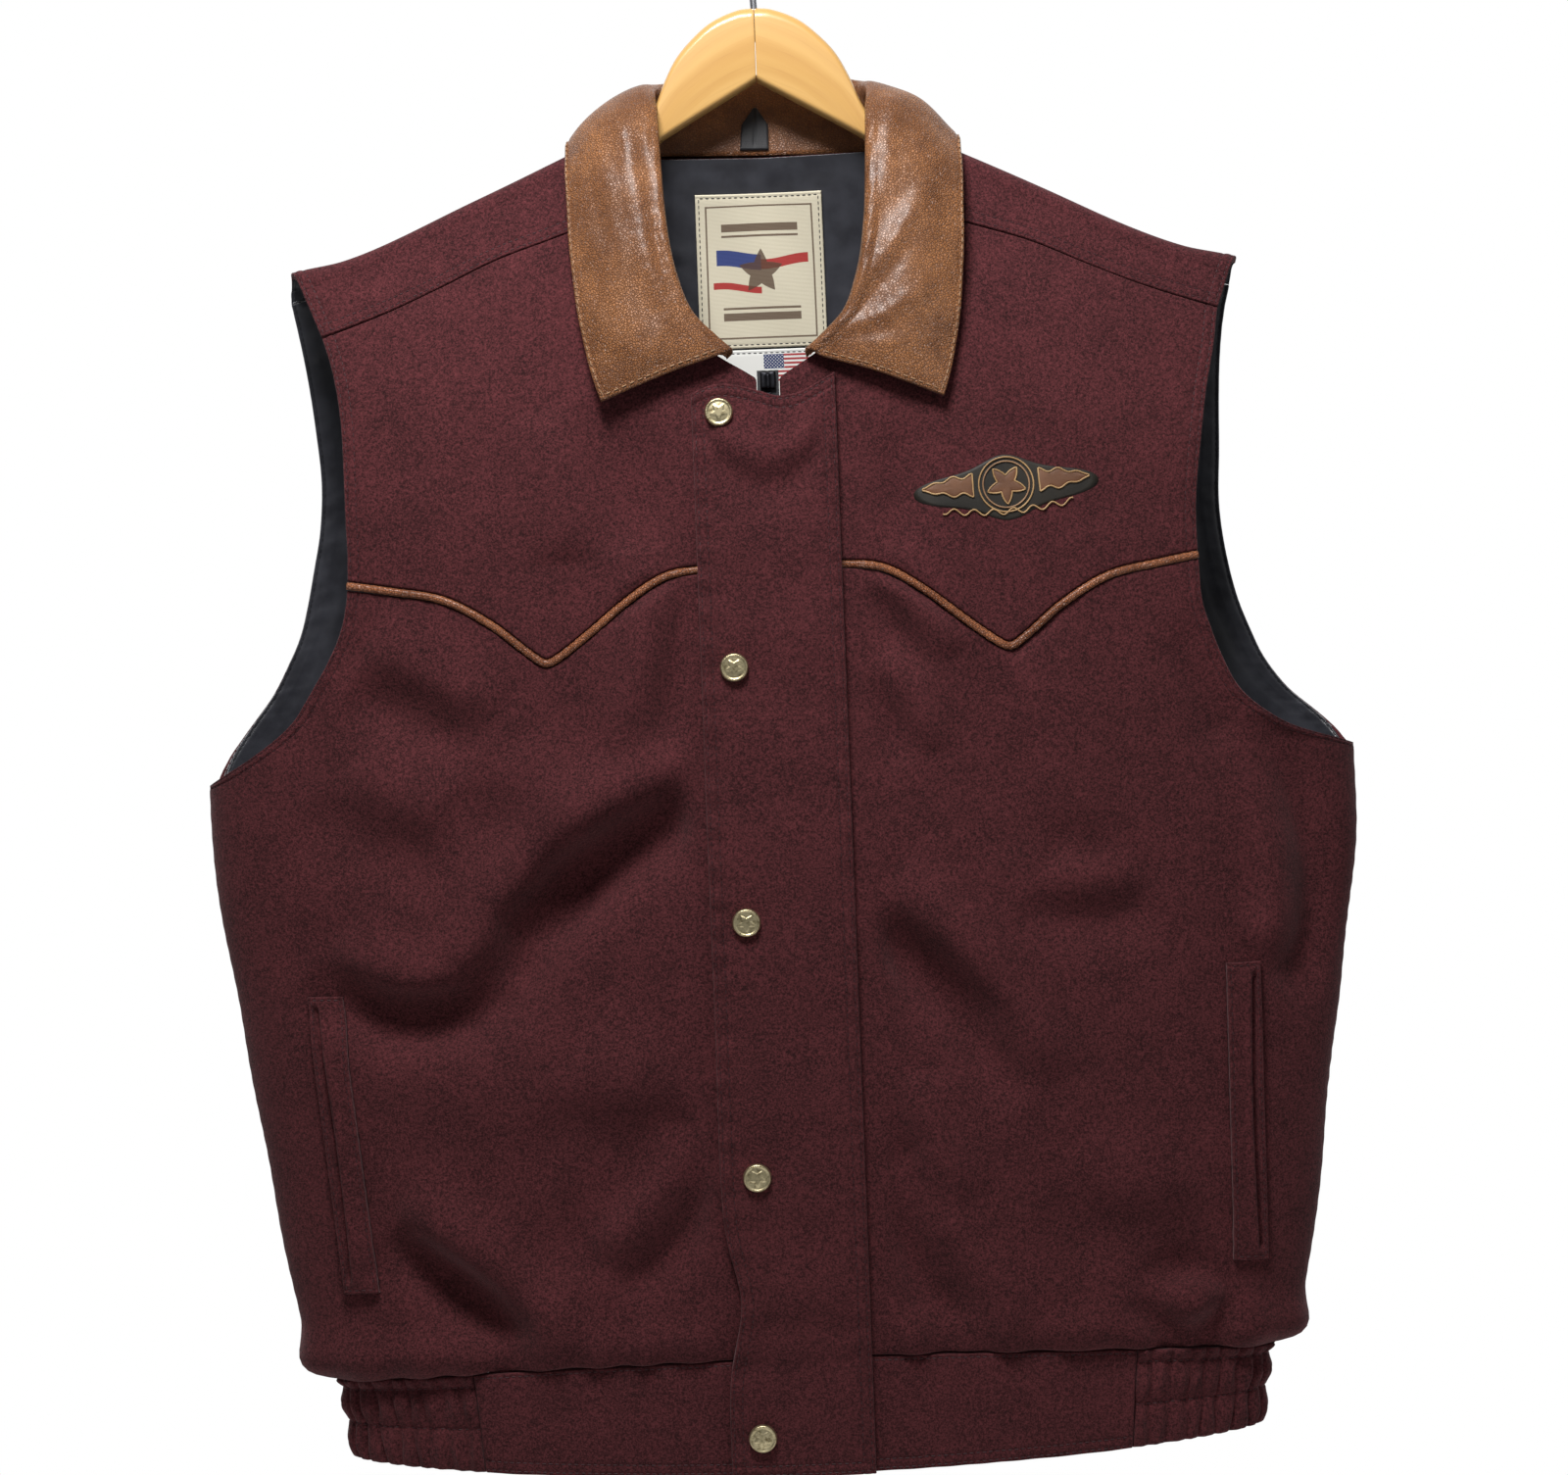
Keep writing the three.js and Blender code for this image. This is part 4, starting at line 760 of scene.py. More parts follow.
def cap_faces(count: int) -> Array:
    """Triangles that close a ring of points from its own first point."""
    fan = np.arange(1, count - 1)
    return np.stack([np.zeros_like(fan), fan, fan + 1, fan + 1], axis=-1)


def bar_faces(rings: int, count: int) -> Array:
    """Faces of a bar of rings, with a flat cap of triangles at each end."""
    cap = cap_faces(count)
    return np.concatenate([ring_faces(rings, count), cap[:, [0, 2, 1, 1]], cap + (rings - 1) * count])


def cone_faces(count: int, tip: int, first: int) -> Array:
    """Triangles from a tip to each side of a ring."""
    i = np.arange(count)
    k = (i + 1) % count
    return np.stack([np.full_like(i, tip), first + i, first + k, first + k], axis=-1)


def dome_faces(rings: int, count: int) -> Array:
    """Faces of a closed dome: its tip is point 0, then come its rings, and the middle of its base is last."""
    last = 1 + rings * count
    tip = cone_faces(count, 0, 1)[:, [0, 2, 1, 1]]
    return np.concatenate([ring_faces(rings, count, 1), tip, cone_faces(count, last, last - count)])


def tube(path: Array, radius: Array | float, sides: int, closed: bool = False) -> tuple[Array, Array]:
    """A round bar carried along a path, with rings square to it and a flat cap at each end.

    Args:
        path: points along the middle.
        radius: one radius, or one for each point.
        sides: points round a ring.
        closed: whether the path's end meets its start.

    Returns:
        Points, and quads of point numbers; a cap repeats its first point in each of its triangles.
    """
    if closed:
        along = unit(np.roll(path, -1, axis=0) - np.roll(path, 1, axis=0))
    else:
        along = unit(np.gradient(path, axis=0))
    helper = np.where(np.abs(along[:, 1:2]) < 0.9, np.array([[0.0, 1.0, 0.0]]), np.array([[1.0, 0.0, 0.0]]))
    first = unit(helper - (helper * along).sum(axis=1, keepdims=True) * along)
    second = np.cross(along, first)
    angle = np.linspace(0, 2 * math.pi, sides, endpoint=False)
    size = np.broadcast_to(radius, (len(path),))[:, None, None]
    ring = first[:, None] * np.cos(angle)[None, :, None] + second[:, None] * np.sin(angle)[None, :, None]
    points = (path[:, None] + ring * size).reshape(-1, 3)
    if closed:
        return points, ring_faces(len(path) + 1, sides) % len(points)
    return points, bar_faces(len(path), sides)


def add_mesh(name: str, points: Array, faces: Array, material: Material, uv: Array | None = None) -> Object:
    """Puts points in millimetres and quads into a new smooth-shaded mesh object.

    Args:
        name: the object's name.
        points: array of (count, 3).
        faces: array of (count, 4); a triangle repeats its last point.
        material: its finish.
        uv: places on the flat cloth for each point.

    Returns:
        The object, in the scene.
    """
    mesh = bpy.data.meshes.new(name)
    triangle = faces[:, 2] == faces[:, 3]
    sizes = np.where(triangle, 3, 4)
    loops = faces.ravel()[np.stack([sizes > 0, sizes > 0, sizes > 0, ~triangle], axis=-1).ravel()]
    mesh.vertices.add(len(points))
    mesh.vertices.foreach_set("co", (points * MILLIMETRE).astype(np.float32).ravel())
    mesh.loops.add(len(loops))
    mesh.loops.foreach_set("vertex_index", loops.astype(np.int32))
    mesh.polygons.add(len(faces))
    starts = np.concatenate([[0], np.cumsum(sizes)[:-1]])
    mesh.polygons.foreach_set("loop_start", starts.astype(np.int32))
    mesh.polygons.foreach_set("loop_total", sizes.astype(np.int32))
    mesh.polygons.foreach_set("use_smooth", np.ones(len(faces), bool))
    if uv is not None:
        layer = mesh.uv_layers.new(name="cloth")
        layer.data.foreach_set("uv", uv[loops].astype(np.float32).ravel())
    mesh.update(calc_edges=True)
    mesh.validate()
    mesh.materials.append(material)
    obj = bpy.data.objects.new(name, mesh)
    bpy.context.scene.collection.objects.link(obj)
    return obj


def add_panel(name: str, panel: Panel, outside: Material, inside: Material | None = None) -> Object:
    """A cloth panel as an object, with one finish outside and, where given, another inside."""
    points, faces, inner = panel.shell()
    obj = add_mesh(name, points, faces, outside, panel.uv())
    if inside is not None:
        obj.data.materials.append(inside)
        obj.data.polygons.foreach_set("material_index", inner.astype(np.int32))
    return obj


class Stitching:
    """Rows of stitches of one thread: short rounded bars, half sunk along lines on the cloth."""

    SIDES = 5

    def __init__(self, name: str, pitch: float, length: float, radius: float) -> None:
        """Keeps the thread's sizes in millimetres."""
        self.name, self.pitch, self.length, self.radius = name, pitch, length, radius
        self.starts: list[Array] = []
        self.ends: list[Array] = []
        self.ups: list[Array] = []

    def row(self, points: Array, normals: Array) -> None:
        """Adds a row of stitches along points, with even steps of the pitch."""
        lengths = np.concatenate([[0], np.cumsum(np.linalg.norm(np.diff(points, axis=0), axis=1))])
        count = int(lengths[-1] / self.pitch)
        if count < 1:
            return
        middle = (np.arange(count) + 0.5) * lengths[-1] / count
        at = lambda where, values: np.stack([np.interp(where, lengths, values[:, k]) for k in range(3)], -1)
        up = unit(at(middle, normals))
        self.starts.append(at(middle - self.length / 2, points) + up * self.radius * 0.35)
        self.ends.append(at(middle + self.length / 2, points) + up * self.radius * 0.35)
        self.ups.append(up)

    def frame(self, panel: Panel, line: int, keep: slice) -> None:
        """Adds a rectangle of rows on the grid lines this far in from a panel's four edges."""
        for number in (line, -1 - line):
            self.row(*panel.line(column=number, keep=keep))
            self.row(*panel.line(row=number, keep=keep))

    def build(self, material: Material, slot: str) -> Object:
        """Makes all stitches one mesh: three rings for each, closed by a point at each tip."""
        a, b, up = (np.concatenate(rows) for rows in (self.starts, self.ends, self.ups))
        along = unit(b - a)
        side = np.cross(along, up)
        angle = np.linspace(0, 2 * math.pi, self.SIDES, endpoint=False)
        ring = side[:, None] * np.cos(angle)[None, :, None] + up[:, None] * np.sin(angle)[None, :, None]
        rings = [
            (lerp(a, b, t)[:, None] + ring * self.radius * size)
            for t, size in ((0.12, 0.75), (0.5, 1.0), (0.88, 0.75))
        ]
        points = np.concatenate([*rings, a[:, None], b[:, None]], axis=1)
        n = self.SIDES
        i = np.arange(n)
        k = (i + 1) % n
        sides = [np.stack([j * n + i, j * n + k, (j + 1) * n + k, (j + 1) * n + i], -1) for j in (0, 1)]
        start = np.stack([np.full(n, 3 * n), k, i, i], -1)
        end = np.stack([np.full(n, 3 * n + 1), 2 * n + i, 2 * n + k, 2 * n + k], -1)
        one = np.concatenate([*sides, start, end])[:, ::-1]
        one = np.where((one[:, :1] == one[:, 1:2]), np.roll(one, -1, axis=1), one)
        faces = (one[None] + (np.arange(len(a)) * (3 * n + 2))[:, None, None]).reshape(-1, 4)
        return place(add_mesh(self.name, points.reshape(-1, 3), faces, material), slot)


def place(obj: Object, slot: str, *nodes: str) -> Object:
    """Makes a piece ride on the one body, hides the nodes that it stands for and logs its triangles."""
    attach(obj, "root")
    if nodes:
        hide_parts(*nodes)
    triangles = sum(len(p.vertices) - 2 for p in obj.data.polygons)
    log.info("%s: %d triangles, for %s", obj.name, triangles, ", ".join(nodes) or "nothing")
    return obj


def declare(obj: Object, panel: Panel, rests_on: list[str]) -> None:
    """Logs the cloth that a piece is cut from: the size of its panel laid flat, and its area."""
    area = panel.area()
    width, length = (round(side * MILLIMETRE, 4) for side in panel.flat)
    length = max(length, round(area / width * 1.001, 4))
    log.info("%s: cut from %.3f x %.3f m, %.4f m2", obj.name, width, length, area)


def srgb(red: float, green: float, blue: float) -> tuple[float, float, float, float]:
    """A colour of 0 to 255 as linear light."""
    linear = [((c / 255 + 0.055) / 1.055) ** 2.4 if c > 10 else c / 255 / 12.92 for c in (red, green, blue)]
    return (*linear, 1.0)


class Value:
    """A number on a shader's socket, with the usual signs for sums."""

    def __init__(self, graph: "Graph", socket: Socket) -> None:
        """Wraps a socket of a graph."""
        self.graph, self.socket = graph, socket

    def _sum(self, operation: str, a: object, b: object) -> "Value":
        """One Math node on two values."""
        node = self.graph.node("ShaderNodeMath", {"operation": operation}, {0: a, 1: b})
        return Value(self.graph, node.outputs[0])

    def __add__(self, other: object) -> "Value":
        """self + other."""
        return self._sum("ADD", self, other)

    def __radd__(self, other: object) -> "Value":
        """other + self."""
        return self._sum("ADD", other, self)

    def __sub__(self, other: object) -> "Value":
        """self - other."""
        return self._sum("SUBTRACT", self, other)

    def __rsub__(self, other: object) -> "Value":
        """other - self."""
        return self._sum("SUBTRACT", other, self)

    def __mul__(self, other: object) -> "Value":
        """self * other."""
        return self._sum("MULTIPLY", self, other)

    def __rmul__(self, other: object) -> "Value":
        """other * self."""
        return self._sum("MULTIPLY", other, self)

    def __lt__(self, other: object) -> "Value":
        """1 where self is less than other."""
        return self._sum("LESS_THAN", self, other)

    def __gt__(self, other: object) -> "Value":
        """1 where self is more than other."""
        return self._sum("GREATER_THAN", self, other)

    def __pow__(self, other: object) -> "Value":
        """self to the power of other."""
        return self._sum("POWER", self, other)

    def __abs__(self) -> "Value":
        """The size of self without its sign."""
        return self._sum("ABSOLUTE", self, 0.0)

    def wave(self) -> "Value":
        """The sine of self."""
        return self._sum("SINE", self, 0.0)

    def angle(self, other: object) -> "Value":
        """The angle whose tangent is self over other."""
        return self._sum("ARCTAN2", self, other)

    def folded(self, other: object) -> "Value":
        """Self, running up to other and back down to 0 again and again."""
        return self._sum("PINGPONG", self, other)

    def greater(self, other: object) -> "Value":
        """The greater of self and other."""
        return self._sum("MAXIMUM", self, other)


class Graph:
    """The nodes of one material round its one shader."""

    def __init__(self, name: str) -> None:
        """Starts an empty material with a shader and its output."""
        self.material = bpy.data.materials.new(name)
        self.material.use_nodes = True
        self.tree = self.material.node_tree
        self.tree.nodes.clear()
        self.shader = self.node("ShaderNodeBsdfPrincipled")
        self.node("ShaderNodeOutputMaterial", None, {"Surface": self.shader.outputs[0]})

    def node(self, kind: str, settings: dict | None = None, values: dict | None = None) -> bpy.types.Node:
        """Adds a node.

        Args:
            kind: the node's type.
            settings: its own settings, set first.
            values: numbers, colours or links for its sockets.

        Returns:
            The node.
        """
        node = self.tree.nodes.new(kind)
        for key, value in (settings or {}).items():
            setattr(node, key, value)
        for key, value in (values or {}).items():
            self.put(node.inputs[key], value)
        return node

    def put(self, socket: Socket, value: object) -> None:
        """Links a value to a socket, or sets the socket to a plain number or colour."""
        if isinstance(value, Value):
            value = value.socket
        if isinstance(value, Socket):
            self.tree.links.new(value, socket)
        else:
            socket.default_value = value

    def coordinates(self, scale: Triple = (1, 1, 1), turn: Triple = (0, 0, 0)) -> Socket:
        """The piece's own coordinates in metres, scaled and turned."""
        source = self.node("ShaderNodeTexCoord").outputs["Object"]
        return self.node(
            "ShaderNodeMapping", None, {"Vector": source, "Scale": scale, "Rotation": turn}
        ).outputs[0]

    def cloth(self, scale: Triple = (1, 1, 1)) -> Socket:
        """Places on the flat cloth in metres, scaled."""
        source = self.node("ShaderNodeUVMap", {"uv_map": "cloth"}).outputs[0]
        return self.node("ShaderNodeMapping", None, {"Vector": source, "Scale": scale}).outputs[0]

    def noise(self, vector: Socket, scale: float, detail: float = 3, rough: float = 0.55) -> Value:
        """Cloudy noise from 0 to 1."""
        node = self.node(
            "ShaderNodeTexNoise",
            None,
            {"Vector": vector, "Scale": scale, "Detail": detail, "Roughness": rough},
        )
        return Value(self, node.outputs[0])

    def cells(self, vector: Socket, scale: float) -> Value:
        """Distance from the edges in a field of cells."""
        settings = {"feature": "DISTANCE_TO_EDGE"}
        node = self.node("ShaderNodeTexVoronoi", settings, {"Vector": vector, "Scale": scale})
        return Value(self, node.outputs["Distance"])

    def mix(self, factor: object, a: object, b: object) -> Socket:
        """A colour between two colours."""
        node = self.node("ShaderNodeMix", {"data_type": "RGBA"}, {0: factor, 6: a, 7: b})
        return node.outputs[2]

    def rise(self, value: Value, low: float, high: float) -> Value:
        """0 below low, 1 above high and smooth between them."""
        settings = {"interpolation_type": "SMOOTHSTEP"}
        node = self.node("ShaderNodeMapRange", settings, {0: value, 1: low, 2: high})
        return Value(self, node.outputs[0])

    def split(self, vector: Socket) -> tuple[Value, Value, Value]:
        """The three numbers of a vector."""
        outputs = self.node("ShaderNodeSeparateXYZ", None, {0: vector}).outputs
        return Value(self, outputs[0]), Value(self, outputs[1]), Value(self, outputs[2])

    def bump(self, height: Value, distance: float, strength: float = 1.0) -> None:
        """Raises the surface by a height, in metres."""
        node = self.node(
            "ShaderNodeBump", None, {"Height": height, "Distance": distance, "Strength": strength}
        )
        self.tree.links.new(node.outputs[0], self.shader.inputs["Normal"])

    def dress(self, **values: object) -> Material:
        """Sets or links the shader's sockets, named with _ for a space, and gives the material."""
        for key, value in values.items():
            self.put(self.shader.inputs[key.replace("_", " ").title().replace("Ior", "IOR")], value)
        return self.material


@dataclass(frozen=True)
class MeltonWool:
    """Felted wool: matted fibres, a cloudy tone and a soft sheen."""

    name: str = "melton_wool"
    light: tuple = srgb(104, 49, 53)
    dark: tuple = srgb(38, 13, 15)
    sheen: float = 0.2
    fibre_mm: float = 0.9

    def make(self) -> Material:
        """Builds the material."""
        g = Graph(self.name)
        where = g.coordinates()
        clouds = g.noise(where, 45, 4, 0.6)
        flecks = g.noise(where, 1000 / self.fibre_mm, 3, 0.7)
        fibres = g.noise(g.coordinates((1, 1, 0.35), (0.4, 0.3, 0.2)), 1300, 2, 0.6)
        heather = g.noise(where, 620, 2, 0.75)
        tone = g.rise(0.12 * clouds + 0.5 * flecks + 0.38 * heather, 0.36, 0.68)
        g.bump(0.6 * flecks + 0.4 * fibres + 0.35 * g.noise(where, 260, 2), 0.0011, 0.55)
        return g.dress(
            base_color=g.mix(tone, self.dark, self.light),
            roughness=0.93 - 0.08 * flecks,
            sheen_weight=self.sheen,
            sheen_roughness=0.45,
            sheen_tint=srgb(214, 176, 178),
            specular_ior_level=0.2,
        )


@dataclass(frozen=True)
class GrainLeather:
    """Pebbled brown leather with a waxy gloss; painted shade darkens the grooves between its pebbles."""

    name: str = "grain_leather"
    light: tuple = srgb(166, 110, 66)
    middle: tuple = srgb(130, 82, 47)
    # The dark tone is painted shade, laid into the grooves between the pebbles.
    dark: tuple = srgb(72, 40, 23)

    def make(self) -> Material:
        """Builds the material."""
        g = Graph(self.name)
        where = g.coordinates()
        colours = g.node("ShaderNodeTexNoise", None, {"Vector": where, "Scale": 300.0, "Detail": 2.0})
        values = {0: colours.outputs[1], 1: (0.0012, 0.0012, 0.0012), 2: where}
        warp = g.node("ShaderNodeVectorMath", {"operation": "MULTIPLY_ADD"}, values).outputs[0]
        pebble = g.cells(warp, 760)
        groove = g.rise(pebble, 0.0, 0.22)
        fine = g.noise(where, 1500, 2)
        clouds = g.noise(where, 38, 5, 0.62)
        tone = g.rise(clouds, 0.34, 0.68)
        colour = g.mix(tone, self.middle, self.light)
        # Painted shade: the grooves between the pebbles go towards the dark tone.
        colour = g.mix(0.55 * (1 - groove), colour, self.dark)
        wrinkles = g.noise(g.coordinates((1, 1, 0.3), (0.2, 0.5, 0.3)), 170, 3)
        g.bump(0.9 * groove + 0.2 * fine + 1.6 * wrinkles, 0.0007, 0.8)
        return g.dress(
            base_color=colour,
            roughness=0.36 + 0.2 * clouds - 0.06 * groove,
            coat_weight=0.2,
            coat_roughness=0.3,
            specular_ior_level=0.5,
        )


@dataclass(frozen=True)
class WovenCloth:
    """A plain or satin weave on the cloth's own flat coordinates."""

    name: str
    light: tuple
    dark: tuple
    thread_mm: float = 0.5
    rough: float = 0.5
    slant: float = 0.0
    relief: float = 0.0001
    sheen: float = 0.0

    def make(self) -> Material:
        """Builds the material."""
        g = Graph(self.name)
        x, y, _ = g.split(g.cloth())
        turn = 2 * math.pi / (self.thread_mm * MILLIMETRE)
        warp = (x * turn + y * (turn * self.slant)).wave()
        weft = (y * turn).wave()
        weave = 0.5 + 0.25 * warp + 0.25 * weft * (1.0 - self.slant)
        clouds = g.noise(g.coordinates(), 60, 4)
        g.bump(weave, self.relief, 0.6)
        return g.dress(
            base_color=g.mix(0.35 * weave + 0.65 * g.rise(clouds, 0.3, 0.7), self.dark, self.light),
            roughness=self.rough + 0.12 * clouds,
            sheen_weight=self.sheen,
            specular_ior_level=0.45,
        )


@dataclass(frozen=True)
class LacqueredWood:
    """Pale straight-grained wood under a clear lacquer; the grain runs along the flat coordinates."""

    name: str = "lacquered_wood"
    light: tuple = srgb(214, 170, 102)
    middle: tuple = srgb(204, 157, 88)
    dark: tuple = srgb(176, 122, 62)

    def make(self) -> Material:
        """Builds the material."""
        g = Graph(self.name)
        bend = g.noise(g.cloth((1, 1, 1)), 9, 2)
        x, y, _ = g.split(g.cloth())
        rings = ((y * 620 + bend * 9 + x * 7).wave() * 0.5 + 0.5) ** 1.6
        pores = g.noise(g.cloth((22, 900, 1)), 1, 3, 0.6)
        clouds = g.noise(g.cloth((6, 60, 1)), 1, 3)
        colour = g.mix(g.rise(clouds, 0.3, 0.7), self.light, self.middle)
        colour = g.mix(0.14 * rings, colour, self.dark)
        colour = g.mix(0.3 * g.rise(pores, 0.55, 0.75), colour, self.dark)
        g.bump(pores, 0.00008, 0.4)
        return g.dress(
            base_color=colour, roughness=0.32 + 0.12 * pores, coat_weight=0.35, coat_roughness=0.12
        )


@dataclass(frozen=True)
class Metal:
    """Metal with a cloudy tarnish and fine scratches."""

    name: str
    bright: tuple
    tarnish: tuple
    rough: float = 0.25
    spread: tuple = (0.4, 0.75)

    def make(self) -> Material:
        """Builds the material."""
        g = Graph(self.name)
        where = g.coordinates()
        clouds = g.noise(where, 420, 5, 0.65)
        scratches = g.noise(g.coordinates((1, 1, 9)), 500, 2)
        g.bump(scratches, 0.00003, 0.35)
        return g.dress(
            base_color=g.mix(g.rise(clouds, *self.spread), self.bright, self.tarnish),
            roughness=self.rough + 0.2 * clouds,
            metallic=1.0,
        )


@dataclass(frozen=True)
class WovenLabel:
    """A woven label with a generic border and a plain star between two bars, and no words."""

    name: str = "woven_label"
    cream: tuple = srgb(226, 218, 196)
    brown: tuple = srgb(84, 58, 40)
    width: float = 0.069
    height: float = 0.082
    border_in: float = 0.0055
    border_half_width: float = 0.00045

    def make(self) -> Material:
        """Builds the material: bars and a five-pointed star, by distance and angle from the middle."""
        g = Graph(self.name)
        x, y, _ = g.split(g.cloth())
        across, up = abs(x - self.width / 2), y - self.height / 2
        upright = abs(up)
        side_at, end_at = self.width / 2 - self.border_in, self.height / 2 - self.border_in
        thin = self.border_half_width
        frame_line = (abs(across - side_at) < thin) * (upright < end_at + thin)
        frame_line = frame_line.greater((abs(upright - end_at) < thin) * (across < side_at + thin))
        bars = (abs(upright - 0.024) < 0.0021) * (across < 0.021)
        bars = bars.greater((abs(upright - 0.0195) < 0.0006) * (across < 0.021))
        turn = (x - self.width / 2).angle(up).folded(math.pi / 5)
        radius = ((x - self.width / 2) ** 2 + up**2) ** 0.5
        star = radius * (1.0 + 1.55 * turn) < 0.0125
        ink = frame_line.greater(bars).greater(star)
        swing = (x * 130.0).wave() * 0.0016
        right, left = x > self.width / 2, x < self.width / 2
        ribbon = (abs(up - 0.0055 - swing) < 0.0026) * (across < 0.026) * right
        ribbon = ribbon.greater((abs(up + 0.0085 - swing) < 0.0018) * (across < 0.026) * left)
        field_patch = (abs(up - 0.0065 - swing) < 0.0042) * (across < 0.024) * left
        warp, weft = (x * (2 * math.pi / 0.0005)).wave(), (y * (2 * math.pi / 0.0007)).wave()
        weave = 0.5 + 0.25 * warp + 0.25 * weft
        cloth = g.mix(weave, srgb(206, 196, 170), self.cream)
        cloth = g.mix(ribbon, cloth, srgb(172, 52, 48))
        cloth = g.mix(field_patch, cloth, srgb(52, 66, 124))
        g.bump(weave + 0.6 * ink, 0.00012, 0.6)
        return g.dress(
            base_color=g.mix(ink * (0.75 + 0.25 * weave), cloth, self.brown), roughness=0.72 - 0.1 * weave
        )


@dataclass(frozen=True)
class FlagLabel:
    """A small white label with a country's flag of stripes and a blue corner at its right half."""

    name: str = "flag_label"
    white: tuple = srgb(236, 235, 230)
    red: tuple = srgb(170, 52, 56)
    blue: tuple = srgb(48, 62, 104)
    left: float = 0.038
    right: float = 0.064
    bottom: float = 0.020
    top: float = 0.0345

    def make(self) -> Material:
        """Builds the material: thirteen stripes, a blue corner and a field of small white points."""
        g = Graph(self.name)
        x, y, _ = g.split(g.cloth())
        inside = (x > self.left) * (x < self.right) * (y > self.bottom) * (y < self.top)
        stripe = (self.top - self.bottom) / 13
        red = ((y - self.bottom) * (math.pi / stripe)).wave() > 0.0
        corner = (x < self.left + 0.011) * (y > self.top - 7 * stripe)
        points = ((x * (2 * math.pi / 0.0018)).wave() * (y * (2 * math.pi / 0.0018)).wave()) > 0.55
        colour = g.mix(inside * red, self.white, self.red)
        colour = g.mix(inside * corner, colour, self.blue)
        colour = g.mix(inside * corner * points, colour, self.white)
        weave = 0.5 + 0.5 * (x * (2 * math.pi / 0.0005)).wave()
        g.bump(weave, 0.00008, 0.5)
        return g.dress(base_color=colour, roughness=0.62 + 0.1 * weave)


def finish(kind: type, *values: object) -> Material:
    """A field for a finish of a kind, which is made together with the others."""
    return field(default_factory=lambda: kind(*values).make())


@dataclass
class Finishes:
    """All the vest's finishes, made once."""

    wool: Material = finish(MeltonWool)
    leather: Material = finish(GrainLeather)
    # Piping leather; its third and darkest colour is the painted shade in the grooves between the pebbles.
    piping: Material = finish(
        GrainLeather, "piping_leather", srgb(182, 112, 70), srgb(134, 76, 44), srgb(64, 34, 20)
    )
    satin: Material = finish(
        WovenCloth, "lining_satin", srgb(58, 59, 66), srgb(34, 34, 40), 0.35, 0.26, 1.0, 0.00004, 0.2
    )
    tape: Material = finish(
        WovenCloth, "black_tape", srgb(38, 38, 42), srgb(18, 18, 21), 0.9, 0.55, 0.4, 0.00015, 0.1
    )
    thread: Material = finish(WovenCloth, "wool_thread", srgb(72, 34, 40), srgb(48, 22, 27), 0.4, 0.5)
    tan_thread: Material = finish(WovenCloth, "tan_thread", srgb(176, 138, 104), srgb(128, 94, 66), 0.4, 0.5)
    dark_thread: Material = finish(WovenCloth, "dark_thread", srgb(44, 44, 48), srgb(20, 20, 24), 0.4, 0.45)
    gold_thread: Material = finish(
        WovenCloth, "gold_thread", srgb(196, 160, 112), srgb(146, 110, 70), 0.4, 0.42
    )
    olive_thread: Material = finish(WovenCloth, "olive_thread", srgb(40, 34, 24), srgb(20, 17, 13), 0.5, 0.5)
    brown_thread: Material = finish(
        WovenCloth, "brown_thread", srgb(124, 84, 58), srgb(88, 56, 38), 0.4, 0.45
    )
    wood: Material = finish(LacqueredWood)
    steel: Material = finish(Metal, "bright_steel", srgb(212, 214, 218), srgb(168, 170, 174), 0.16)
    blackened: Material = finish(Metal, "blackened_steel", srgb(52, 52, 56), srgb(24, 24, 27), 0.3)
    brass: Material = finish(Metal, "old_brass", srgb(222, 208, 168), srgb(134, 120, 86), 0.3, (0.42, 0.72))
    label: Material = finish(WovenLabel)
    flag: Material = finish(FlagLabel)


@dataclass
class Threads:
    """The stitch rows of each thread, filled by the pieces as they are made."""

    wool: Stitching = field(default_factory=lambda: Stitching("stitches_wool", 3.3, 2.5, 0.33))
    tan: Stitching = field(default_factory=lambda: Stitching("stitches_collar", 4.2, 3.2, 0.42))
    dark: Stitching = field(default_factory=lambda: Stitching("stitches_lining", 3.0, 2.2, 0.3))

    def build(self, finishes: Finishes) -> None:
        """Makes one mesh for each thread."""
        self.wool.build(finishes.thread, "wool")
        self.tan.build(finishes.tan_thread, "leather")
        self.dark.build(finishes.dark_thread, "lining")


